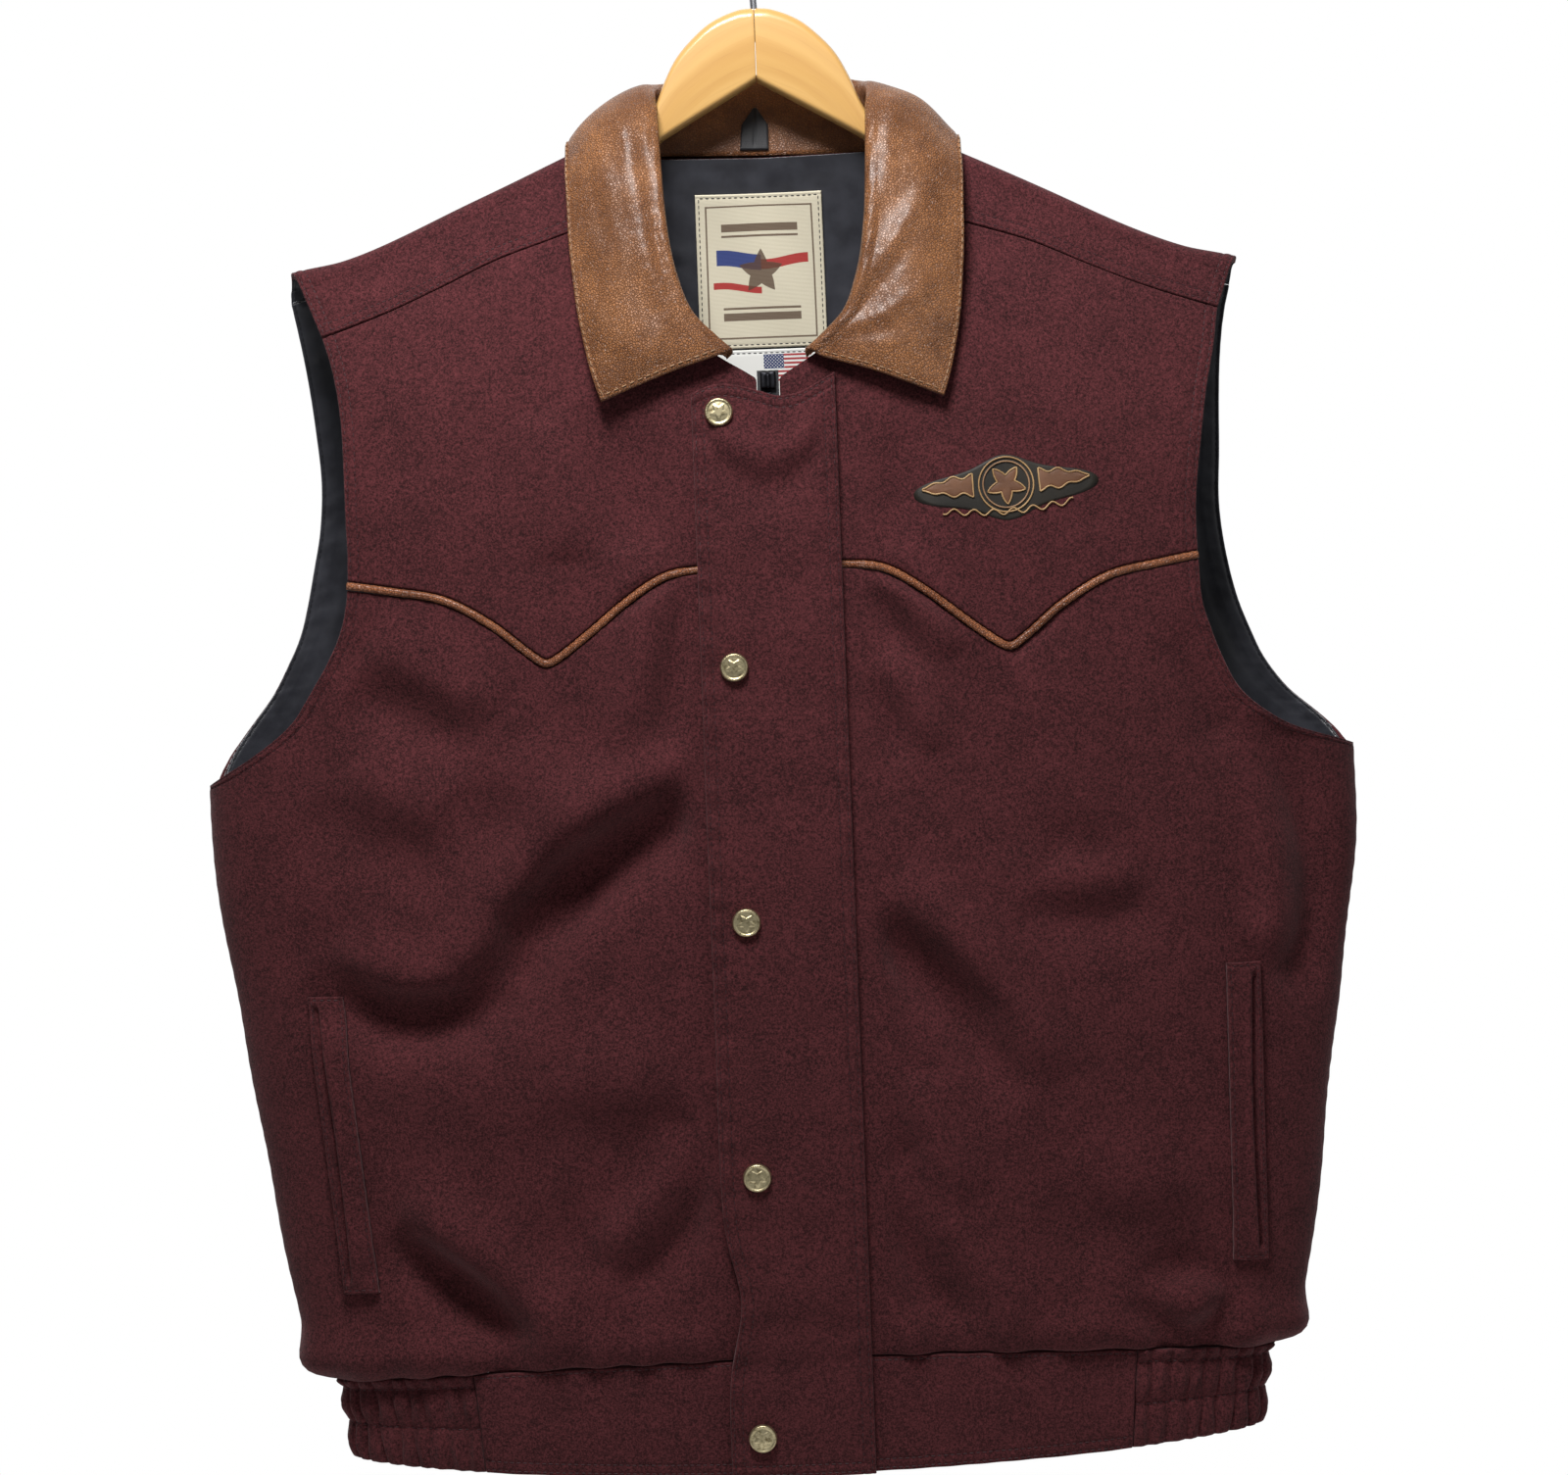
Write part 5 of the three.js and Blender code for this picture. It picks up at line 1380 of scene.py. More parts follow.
@dataclass
class FrontHalf:
    """One half of the front: the lower panel, the pointed yoke, the shoulder strap and the piping."""

    side: Side
    finishes: Finishes
    threads: Threads
    seam_roll: float = 1.3
    edge_roll: float = 1.1
    stitch_depth: float = 0.45
    stitch_width: float = 0.75

    def build(self) -> None:
        """Makes the four pieces."""
        self.lower()
        self.yoke()
        self.strap()
        self.piping()

    def armhole_rows(self, panel: Panel, from_row: int, last: int | None = None) -> None:
        """Two grooves and two rows of stitches beside the armhole, above a grid row."""
        above = np.zeros_like(panel.u)
        above[from_row:last] = 1
        for at in STITCHES_AT:
            panel.groove(panel.across_end, at, self.stitch_depth, self.stitch_width, above)
        within = smooth_step(-panel.across_end, -FAR_STITCH_AT - 0.6, -FAR_STITCH_AT + 0.8)
        panel.relief += 0.35 * above * within
        for line in (NEAR_ROW, FAR_ROW):
            self.threads.wool.row(*panel.line(column=-1 - line, keep=slice(from_row, last)))

    def lower(self) -> None:
        """The lower front, between the front edge, the yoke seam, the armhole, the side and the waist."""
        side = self.side
        top_z = meet_armhole(YOKE_SEAM, Face.FRONT, side, -PIPING_GROOVE)
        arm_x = float(ARMHOLE_X[Face.FRONT, side](top_z))
        centre_top = float(YOKE_SEAM(FRONT_EDGE_X)) - PIPING_GROOVE
        start_share = BODY.share_at(side.value * FRONT_EDGE_X, WAIST_Z)

        def front_edge(v: Array) -> Array:
            """Places up the front edge."""
            z = lerp(WAIST_Z, centre_top, v)
            return pair(BODY.share_at(side.value * FRONT_EDGE_X, z), z)

        patch = patch_between(
            lambda u: pair(lerp(start_share, side.value * SIDE_SHARE, u), np.full_like(u, WAIST_Z)),
            along_curve(YOKE_SEAM, side, FRONT_EDGE_X, arm_x, -PIPING_GROOVE),
            front_edge,
            side_and_armhole(Face.FRONT, side, WAIST_Z, top_z, FRONT_ARMPIT_AT),
        )

        def surface(u: Array, v: Array) -> Array:
            """Points of the lower front."""
            places = patch(u, v)
            return BODY.point(places[..., 0], places[..., 1], Face.FRONT)

        panel = Panel(
            surface,
            Lines(PLAIN_EDGE, 112, STITCHED_EDGE),
            Lines(PLAIN_EDGE, 184, PLAIN_EDGE),
            TOWARDS_FRONT,
            WOOL,
        )
        x, z = panel.base[..., 0], panel.base[..., 2]
        free = smooth_step(np.abs(x), 40, 60)
        panel.crease(95, 0.22)
        fade = smooth_step(panel.across_end, 0, 14) * smooth_step(panel.up_end, 0, 8)
        panel.relief += creases(FRONT_CREASES, x, z) * fade
        panel.pucker(panel.up_start, np.abs(x), 27, 1.3, 20)
        panel.pucker(panel.up_end, np.abs(x), 13, 0.22, 9)
        blouse = np.exp(-(((panel.up_start - 11) / 10) ** 2)) * (1 + smooth_step(np.abs(x), 120, 200))
        panel.relief += 3.8 * blouse
        panel.relief *= free
        panel.roll(panel.up_end, self.seam_roll)
        panel.roll(panel.up_start, 2.4)
        panel.roll(panel.across_end, self.edge_roll)
        panel.pucker(panel.across_end, z, 11, 0.18, 8)
        from_row = int(np.argmin(np.abs(z[:, -1] - ARMPIT_Z))) + 1
        self.armhole_rows(panel, from_row)
        obj = add_panel(f"lower_front_{side.word}", panel, self.finishes.wool, self.finishes.satin)
        place(obj, "wool", f"front_{side.word}")
        declare(obj, panel, [f"yoke_{side.word}"])

    def yoke(self) -> None:
        """The pointed yoke, between the neckline, the shoulder seam, the armhole and the piped seam."""
        side = self.side
        bottom_z = meet_armhole(YOKE_SEAM, Face.FRONT, side, PIPING_GROOVE)
        top_z = meet_armhole(SHOULDER_SEAM, Face.FRONT, side, -SEAM)
        corner_at = 0.45
        centre_z = float(YOKE_SEAM(FRONT_EDGE_X)) + PIPING_GROOVE
        neck = np.array(NECKLINE)
        neckline = evenly(pair(BODY.share_at(side.value * neck[:, 0], neck[:, 1]), neck[:, 1]))

        def inner_edge(v: Array) -> Array:
            """Places up the front edge and then along the neckline."""
            z = lerp(centre_z, NECKLINE[0][1], v / corner_at)
            edge = pair(BODY.share_at(side.value * FRONT_EDGE_X, z), z)
            above = neckline(np.clip((v - corner_at) / (1 - corner_at), 0, 1))
            return np.where((v <= corner_at)[..., None], edge, above)

        def armhole(v: Array) -> Array:
            """Places up the armhole's edge."""
            z = lerp(bottom_z, top_z, v)
            return pair(armhole_share(Face.FRONT, side, z), z)

        arm = ARMHOLE_X[Face.FRONT, side]
        patch = patch_between(
            along_curve(YOKE_SEAM, side, FRONT_EDGE_X, float(arm(bottom_z)), PIPING_GROOVE),
            along_curve(SHOULDER_SEAM, side, NECK_AT_SEAM, float(arm(top_z)), -SEAM),
            inner_edge,
            armhole,
        )

        def surface(u: Array, v: Array) -> Array:
            """Points of the yoke."""
            places = patch(u, v)
            return BODY.point(places[..., 0], places[..., 1], Face.FRONT)

        panel = Panel(
            surface,
            Lines(PLAIN_EDGE, 112, STITCHED_EDGE),
            Lines(PLAIN_EDGE, 104, STITCHED_EDGE),
            TOWARDS_FRONT,
            WOOL,
        )
        x, z = panel.base[..., 0], panel.base[..., 2]
        free = smooth_step(np.abs(x), 40, 60)
        panel.crease(80, 0.2)
        fade = smooth_step(panel.across_end, 0, 14) * smooth_step(panel.up_start, 0, 8)
        panel.relief += creases(FRONT_CREASES, x, z) * fade
        panel.pucker(panel.up_start, np.abs(x), 12, 0.25, 9)
        if side is Side.RIGHT:
            across, up = (x - ChestBadge.middle_x) / 62, (z - ChestBadge.middle_z) / 34
            panel.relief *= smooth_step(across**2 + up**2, 0.7, 1.3)
        panel.relief *= free
        panel.roll(panel.up_start, self.seam_roll)
        panel.roll(panel.up_end, self.edge_roll)
        panel.roll(panel.across_end, self.edge_roll)
        panel.pucker(panel.across_end, z, 10, 0.15, 8)
        self.armhole_rows(panel, 0)
        obj = add_panel(f"pointed_yoke_{side.word}", panel, self.finishes.wool, self.finishes.satin)
        place(obj, "wool", f"yoke_{side.word}")
        declare(obj, panel, [f"shoulder_{side.word}"])

    def strap(self) -> None:
        """The strap over the shoulder, from its front seam over the ridge to the seam on the back."""
        side = self.side.value
        quarter = RIDGE_RADIUS * math.pi / 2
        front_arm, back_arm = ARMHOLE_X[Face.FRONT, self.side], ARMHOLE_X[Face.BACK, self.side]
        arm_at_seam = float(front_arm(meet_armhole(SHOULDER_SEAM, Face.FRONT, self.side, SEAM / 2)))
        arm_at_back = float(back_arm(ridge_z(side * ARM_AT_RIDGE) - BACK_SHOULDER_DROP))

        def surface(u: Array, v: Array) -> Array:
            """Points of the strap: a length down the form on either side of the ridge."""
            seam_x = lerp(NECK_AT_SEAM, arm_at_seam, u)
            ridge_x = lerp(NECK_AT_RIDGE, ARM_AT_RIDGE, u)
            back_x = lerp(NECK_AT_BACK, arm_at_back, u)
            drop = ridge_z(side * seam_x) - SHOULDER_SEAM(seam_x) - SEAM / 2
            start = -(quarter + drop - RIDGE_RADIUS)
            end = quarter + (BACK_SHOULDER_DROP - SEAM - RIDGE_RADIUS)
            q = lerp(start, end, v)
            far = np.where(q < 0, q / start, q / end)
            x = side * lerp(ridge_x, np.where(q < 0, seam_x, back_x), far)
            along = np.abs(q)
            over = RIDGE_RADIUS * (1 - np.cos(np.minimum(along, quarter) / RIDGE_RADIUS))
            z = ridge_z(x) - np.where(along < quarter, over, along - quarter + RIDGE_RADIUS)
            share = BODY.share_at(x, z)
            front_y, back_y = (np.abs(BODY.point(share, z, face)[..., 1]) for face in Face)
            y = np.where(q < 0, -front_y, back_y)
            return stack(x, y, z)

        panel = Panel(
            surface,
            Lines(PLAIN_EDGE, 96, STITCHED_EDGE),
            Lines(STITCHED_EDGE, 44, STITCHED_EDGE),
            UPWARDS,
            WOOL,
        )
        panel.crease(70, 0.15)
        for distance in (panel.up_start, panel.up_end):
            panel.roll(distance, self.edge_roll)
            panel.pucker(distance, np.abs(panel.base[..., 0]), 9, 0.15, 7)
            for at in STITCHES_AT:
                panel.groove(distance, at, 0.35, self.stitch_width)
        panel.roll(panel.across_end, self.edge_roll)
        self.armhole_rows(panel, 3, -3)
        for line in (NEAR_ROW, FAR_ROW):
            self.threads.wool.row(*panel.line(row=line))
            self.threads.wool.row(*panel.line(row=-1 - line))
        obj = add_panel(f"shoulder_strap_{self.side.word}", panel, self.finishes.wool, self.finishes.satin)
        place(obj, "wool", f"shoulder_{self.side.word}")
        declare(obj, panel, [f"hanger_arm_{self.side.word}"])

    def piping(self) -> None:
        """The leather piping in the yoke seam: a round cord along the seam, pressed in under the flap."""
        side = self.side
        to_x = float(ARMHOLE_X[Face.FRONT, side](meet_armhole(YOKE_SEAM, Face.FRONT, side)))
        flap_x = -FLAP_LEFT_X if side is Side.LEFT else FLAP_RIGHT_X
        x = np.linspace(FRONT_EDGE_X + SEAM, to_x - SEAM, 220)
        path = on_front(side.value * x, YOKE_SEAM(x))
        sunk = 2.1 * smooth_step(-x, -flap_x - 14, -flap_x - 4)
        path[:, 1] += sunk
        wrinkle = 1 + 0.05 * np.sin(x * 1.9 + np.sin(x * 0.31) * 2)
        points, faces = tube(path, PIPING_RADIUS * wrinkle, 14)
        obj = add_mesh(f"leather_piping_{side.word}", points, faces, self.finishes.piping)
        place(obj, "leather", f"piping_{side.word}")


@dataclass
class BackHalf:
    """The back panel and the satin lining that lies on it, which share one surface."""

    finishes: Finishes
    threads: Threads
    facing_width: float = 14.0
    wrinkles: int = 34
    wrinkle_heights: tuple = (0.8, 1.7)
    wrinkle_widths: tuple = (2.4, 4.2)

    def __post_init__(self) -> None:
        """Works out the patch between the two sides, the waist and the neck."""
        ends = {}
        for side in Side:
            ends[side] = side_and_armhole(Face.BACK, side, WAIST_Z, self.end_z(side), BACK_ARMPIT_AT)
        low = {side: ends[side](np.zeros(1))[0, 0] for side in Side}
        high = {side: ends[side](np.ones(1))[0, 0] for side in Side}

        def top(u: Array) -> Array:
            """Places along the neck and the shoulder seams."""
            s = lerp(high[Side.LEFT], high[Side.RIGHT], u)
            x = np.sign(s) * BODY.width(-200) * OVAL.across(np.abs(s))
            return pair(s, self.top_z(x))

        self.patch = patch_between(
            lambda u: pair(lerp(low[Side.LEFT], low[Side.RIGHT], u), np.full_like(u, WAIST_Z)),
            top,
            ends[Side.LEFT],
            ends[Side.RIGHT],
        )

    @staticmethod
    def top_z(x: Array) -> Array:
        """Height of the back's top edge: the neckline in the middle, the shoulder seams beyond it."""
        return np.minimum(BACK_NECK_Z, ridge_z(x) - BACK_SHOULDER_DROP) - SEAM / 2

    def end_z(self, side: Side) -> float:
        """Height at which the shoulder seam meets the armhole."""
        return float(self.top_z(side.value * ARMHOLE_X[Face.BACK, side](-226)))

    def surface(self, u: Array, v: Array) -> Array:
        """Points of the back."""
        places = self.patch(u, v)
        return BODY.point(places[..., 0], places[..., 1], Face.BACK)

    def build(self) -> None:
        """Makes the back and its lining."""
        self.back()
        self.lining()

    def back(self) -> None:
        """The wool back, with stitched armholes and soft swells."""
        panel = Panel(
            self.surface,
            Lines(STITCHED_EDGE, 130, STITCHED_EDGE),
            Lines(PLAIN_EDGE, 124, PLAIN_EDGE),
            TOWARDS_BACK,
            WOOL,
        )
        x, z = panel.base[..., 0], panel.base[..., 2]
        panel.crease(110, 0.25)
        edge = smooth_step(np.minimum(panel.across_start, panel.across_end), 0, 14)
        panel.relief += creases(BACK_CREASES, x, z) * edge
        panel.pucker(panel.up_start, x, 26, 1.4, 24)
        panel.relief += 2.6 * np.exp(-(((panel.up_start - 11) / 10) ** 2))
        panel.roll(panel.up_start, 2.4)
        panel.roll(panel.up_end, 1.1)
        from_row = int(np.argmin(np.abs(z[:, -1] - ARMPIT_Z))) + 1
        above = np.zeros_like(panel.u)
        above[from_row:-2] = 1
        for distance in (panel.across_start, panel.across_end):
            panel.roll(distance, 1.1)
            panel.pucker(distance, z, 11, 0.18, 8)
            for at in STITCHES_AT:
                panel.groove(distance, at, 0.45, 0.75, above)
        for column in (NEAR_ROW, FAR_ROW, -1 - NEAR_ROW, -1 - FAR_ROW):
            self.threads.wool.row(*panel.line(column=column, keep=slice(from_row, -2)))
        obj = add_panel("back_panel", panel, self.finishes.wool)
        place(obj, "wool", "back")
        declare(obj, panel, ["shoulder_left", "shoulder_right"])

    def lining(self) -> None:
        """The satin lining, with soft pulls and a puckered facing beside each armhole."""
        lift = WOOL + SEAM + LINING
        panel = Panel(
            self.surface,
            Lines(STITCHED_EDGE, 150, STITCHED_EDGE),
            Lines(PLAIN_EDGE, 150, PLAIN_EDGE),
            TOWARDS_FRONT,
            LINING,
            lift,
        )
        x, z = panel.base[..., 0], panel.base[..., 2]
        across = 1 - smooth_step(np.abs(x), 39, 46)
        under = across * smooth_step(z, -300, -292) * (1 - smooth_step(z, -168, -163))
        slanted = np.sin((x * 0.5 + z) / 8.5 + 2 * np.sin(x / 37))
        pulls = 0.6 * slanted * (0.5 + 0.5 * np.sin(x / 41 + z / 63))
        rng = np.random.default_rng(21)
        count = self.wrinkles
        middle = np.stack([rng.uniform(-95, 95, count), rng.uniform(-310, -152, count)], axis=-1)
        turn, reach = rng.uniform(0, math.pi, count), rng.uniform(10, 26, count)
        half = np.stack([np.cos(turn), np.sin(turn)], axis=-1) * reach[:, None]
        bend = rng.normal(0, 3, (count, 2))
        heights = rng.uniform(*self.wrinkle_heights, count)
        widths = rng.uniform(*self.wrinkle_widths, count)
        rows = np.column_stack([middle - half, middle + bend, middle + half, heights, widths])
        panel.relief += (1 - under) * (pulls + 1.1 + creases(rows, x, z))
        panel.relief = np.clip(panel.relief, -0.2, 4) + np.maximum(-creases(BACK_CREASES, x, z), 0)
        from_row = int(np.argmin(np.abs(z[:, -1] - ARMPIT_Z))) + 1
        above = np.zeros_like(panel.u)
        above[from_row:] = 1
        for distance in (panel.across_start, panel.across_end):
            near = smooth_step(-distance, -self.facing_width - 2, -self.facing_width + 1) * above
            ribs = 0.35 * np.sin(z * 2 * math.pi / 5.2 + np.sin(z * 0.13))
            panel.relief = lerp(panel.relief, 1.1 + ribs, near)
            panel.roll(distance, 0.8)
            for at in (NEAR_STITCH_AT, self.facing_width - 1.2):
                panel.groove(distance, at, 0.5, 0.9, above)
        for column in (NEAR_ROW, -1 - NEAR_ROW):
            self.threads.dark.row(*panel.line(column=column, keep=slice(from_row, None)))
        obj = add_panel("satin_lining", panel, self.finishes.satin)
        place(obj, "lining", "lining_back")
        declare(obj, panel, ["back"])


COLLAR_SHIFT = 2
# Half of the collar from its front end round the neck to the middle of the back. Each row holds the neck
# seam, the fold and the leaf's outer edge, three numbers each, and how far the leaf is crowned.
COLLAR_STATIONS = np.array((
    (20.5, -41.5, -266.8, 21, -47.5, -263.6, 88.5, -47.5, -288.5, 2),
    (30, -40.2, -259.4, 30, -48.5, -255.6, 91, -46.5, -281, 3),
    (41.9, -37.8, -246.4, 42, -48.5, -243, 94.5, -44, -268, 4),
    (51.4, -33.8, -225.8, 49.5, -46, -221, 99, -40.5, -243, 4),
    (58, -28.5, -203, 53.5, -40, -193, 102, -35, -214, 4),
    (62.6, -20.5, -180, 55.5, -29, -160, 103.5, -27, -183, 5),
    (66, -9.5, -147, 56.5, -13, -131, 104, -14, -159, 5),
    (67.4, 0, -136.4, 57.5, 2, -118.5, 103.5, 0, -147.5, 5),
    (64, 14, -149.8, 52, 19, -113.5, 94, 23, -161, 5),
    (44, 18.6, -150.6, 35, 26, -109, 60, 33.5, -177, 4),
    (21, 20, -150.8, 17, 28, -107.5, 29, 35, -183, 4),
    (0, 20.4, -150.9, 0, 28.5, -107, 0, 35.5, -184, 4),
))
FOLD_RADIUS = 3.4


class Collar:
    """The leather collar, a strip whose section rises to the fold and falls to the leaf's edge."""

    # Soft folds in the leaf: from and to (share round, share of the section), height and width.
    soft_folds = (
        (0.3, 0.7, 0.2, 0.66, 1.6, 5.0), (0.2, 0.66, 0.07, 0.6, 1.8, 5.5),
        (0.26, 0.6, 0.12, 0.55, -1.2, 4.0), (0.16, 0.95, 0.04, 0.74, 1.0, 6.0),
        (0.1, 0.62, 0.03, 0.85, 1.1, 4.5), (0.24, 0.84, 0.16, 0.78, -0.9, 5.0),
        (0.94, 0.56, 0.86, 0.82, 1.4, 4.0), (0.91, 0.54, 0.82, 0.76, -1.1, 4.0),
        (0.88, 0.56, 0.78, 0.8, 1.3, 4.5), (0.8, 0.6, 0.7, 0.68, 1.4, 5.0),
        (0.97, 0.6, 0.9, 0.9, 0.9, 5.0), (0.84, 0.9, 0.76, 0.84, -0.8, 5.0),
    )

    def __init__(self, finishes: Finishes, threads: Threads) -> None:
        """Lays the stations out on both sides, with the shoulders' tilt."""
        self.finishes, self.threads = finishes, threads
        halves = []
        for side, rows in ((-1, COLLAR_STATIONS), (1, COLLAR_STATIONS[-2::-1])):
            points = rows[:, :9].reshape(-1, 3, 3).copy()
            x = points[..., 0] * side
            points[..., 2] -= SHOULDER_TILT * x
            points[..., 0] = x
            points[:, 1:, 0] += COLLAR_SHIFT
            halves.append(points)
        self.stations = np.concatenate(halves)
        self.crown = np.concatenate([COLLAR_STATIONS[:, 9], COLLAR_STATIONS[-2::-1, 9]])

    def surface(self, u: Array, v: Array) -> Array:
        """Points of the collar: u round the neck, v from the neck seam over the fold to the edge."""
        line = u[0]
        n, f, e = (catmull(self.stations[:, k], line) for k in range(3))
        rise = f - n
        length = np.linalg.norm(rise, axis=1, keepdims=True)
        radius = np.minimum(FOLD_RADIUS, length * 0.45)
        up = rise / length
        out = e - n
        out = unit(out - (out * up).sum(axis=1, keepdims=True) * up)
        inside = f - up * radius - out * radius * 0.6
        outside = f - up * radius * 0.4 + out * radius * 1.4
        along = unit(e - outside)
        lift = unit(up - (up * along).sum(axis=1, keepdims=True) * along)
        height = np.interp(line * (len(self.crown) - 1), np.arange(len(self.crown)), self.crown)[:, None]
        crown = lerp(outside, e, 0.45) + lift * height
        profile = np.stack([n, inside, f, outside, crown, e], axis=1)
        points = catmull(profile, v[:, 0])
        return points.transpose(1, 0, 2)

    def build(self) -> None:
        """Makes the leather collar and the wool under its leaf."""
        t = np.linspace(0, 1, 301)
        near_edge = np.array((0.055, 0.042, 0.034, 0.029, 0.024, 0.018, 0.012, 0.007, 0.003, 0))
        v = np.concatenate([np.linspace(0, 0.93, 78), 1 - near_edge])
        grid_v, grid_u = np.meshgrid(v, t, indexing="ij")
        panel = GridPanel(self.surface(grid_u, grid_v), UPWARDS, LEATHER, LEATHER)
        along, leaf = panel.along, smooth_step(grid_v, 0.5, 0.62)
        swells = np.sin(along / 19 + 1.5 * np.sin(along / 53))
        panel.relief += leaf * 0.5 * swells * smooth_step(panel.to_edge, 0, 12)
        panel.relief += leaf * 0.25 * np.sin(along / 6.3 + panel.to_edge / 9)
        for row in self.soft_folds:
            panel.ridge(*row)
        folded = np.exp(-(((grid_v - 0.42) / 0.07) ** 2))
        panel.relief += 0.22 * folded * np.sin(along / 2.6 + 2 * np.sin(along / 11))
        panel.relief -= leaf * 0.4 * np.exp(-(((panel.to_edge - 3.0) / 0.8) ** 2))
        for distance in (panel.to_edge, panel.to_start, panel.to_end):
            panel.roll(distance, 0.9)
        obj = add_panel("leather_collar", panel, self.finishes.leather)
        place(obj, "leather", "collar")
        declare(obj, panel, ["shoulder_left", "shoulder_right"])
        row = int(np.argmin(np.abs(panel.to_edge[:, 150] - 3.0)))
        self.threads.tan.row(*panel.line(row=row, keep=slice(3, -3)))
        for column in (4, -5):
            self.threads.tan.row(*panel.line(column=column, keep=slice(int(0.55 * len(v)), row)))
        grid_v, grid_u = np.meshgrid(np.linspace(0.5, 1, 30), np.linspace(0, 1, 241), indexing="ij")
        under = GridPanel(self.surface(grid_u, grid_v), UPWARDS, UNDER_COLLAR, -SEAM)
        obj = add_panel("wool_under_collar", under, self.finishes.wool)
        place(obj, "wool", "under_collar")
        declare(obj, under, ["collar"])


FLAP_TOP = Curve((
    (-45, -289), (-38, -283.5), (-27, -280), (-16, -281), (-5, -284), (5, -287), (16, -285.5),
    (25, -281), (36, -275),
))


# A snap cap turned about its middle, from the middle to its foot: shares of its radius and its height.
SNAP_PROFILE = np.array((
    (0, 0.86), (0.08, 0.86), (0.16, 0.86), (0.24, 0.86), (0.3, 0.86), (0.36, 0.85), (0.42, 0.85),
    (0.48, 0.84), (0.54, 0.83), (0.6, 0.82), (0.66, 0.8), (0.72, 0.79), (0.77, 0.8), (0.81, 0.88),
    (0.86, 0.93), (0.91, 0.88), (0.95, 0.74), (0.985, 0.5), (1, 0.28), (0.985, 0.1), (0.96, 0.0),
))


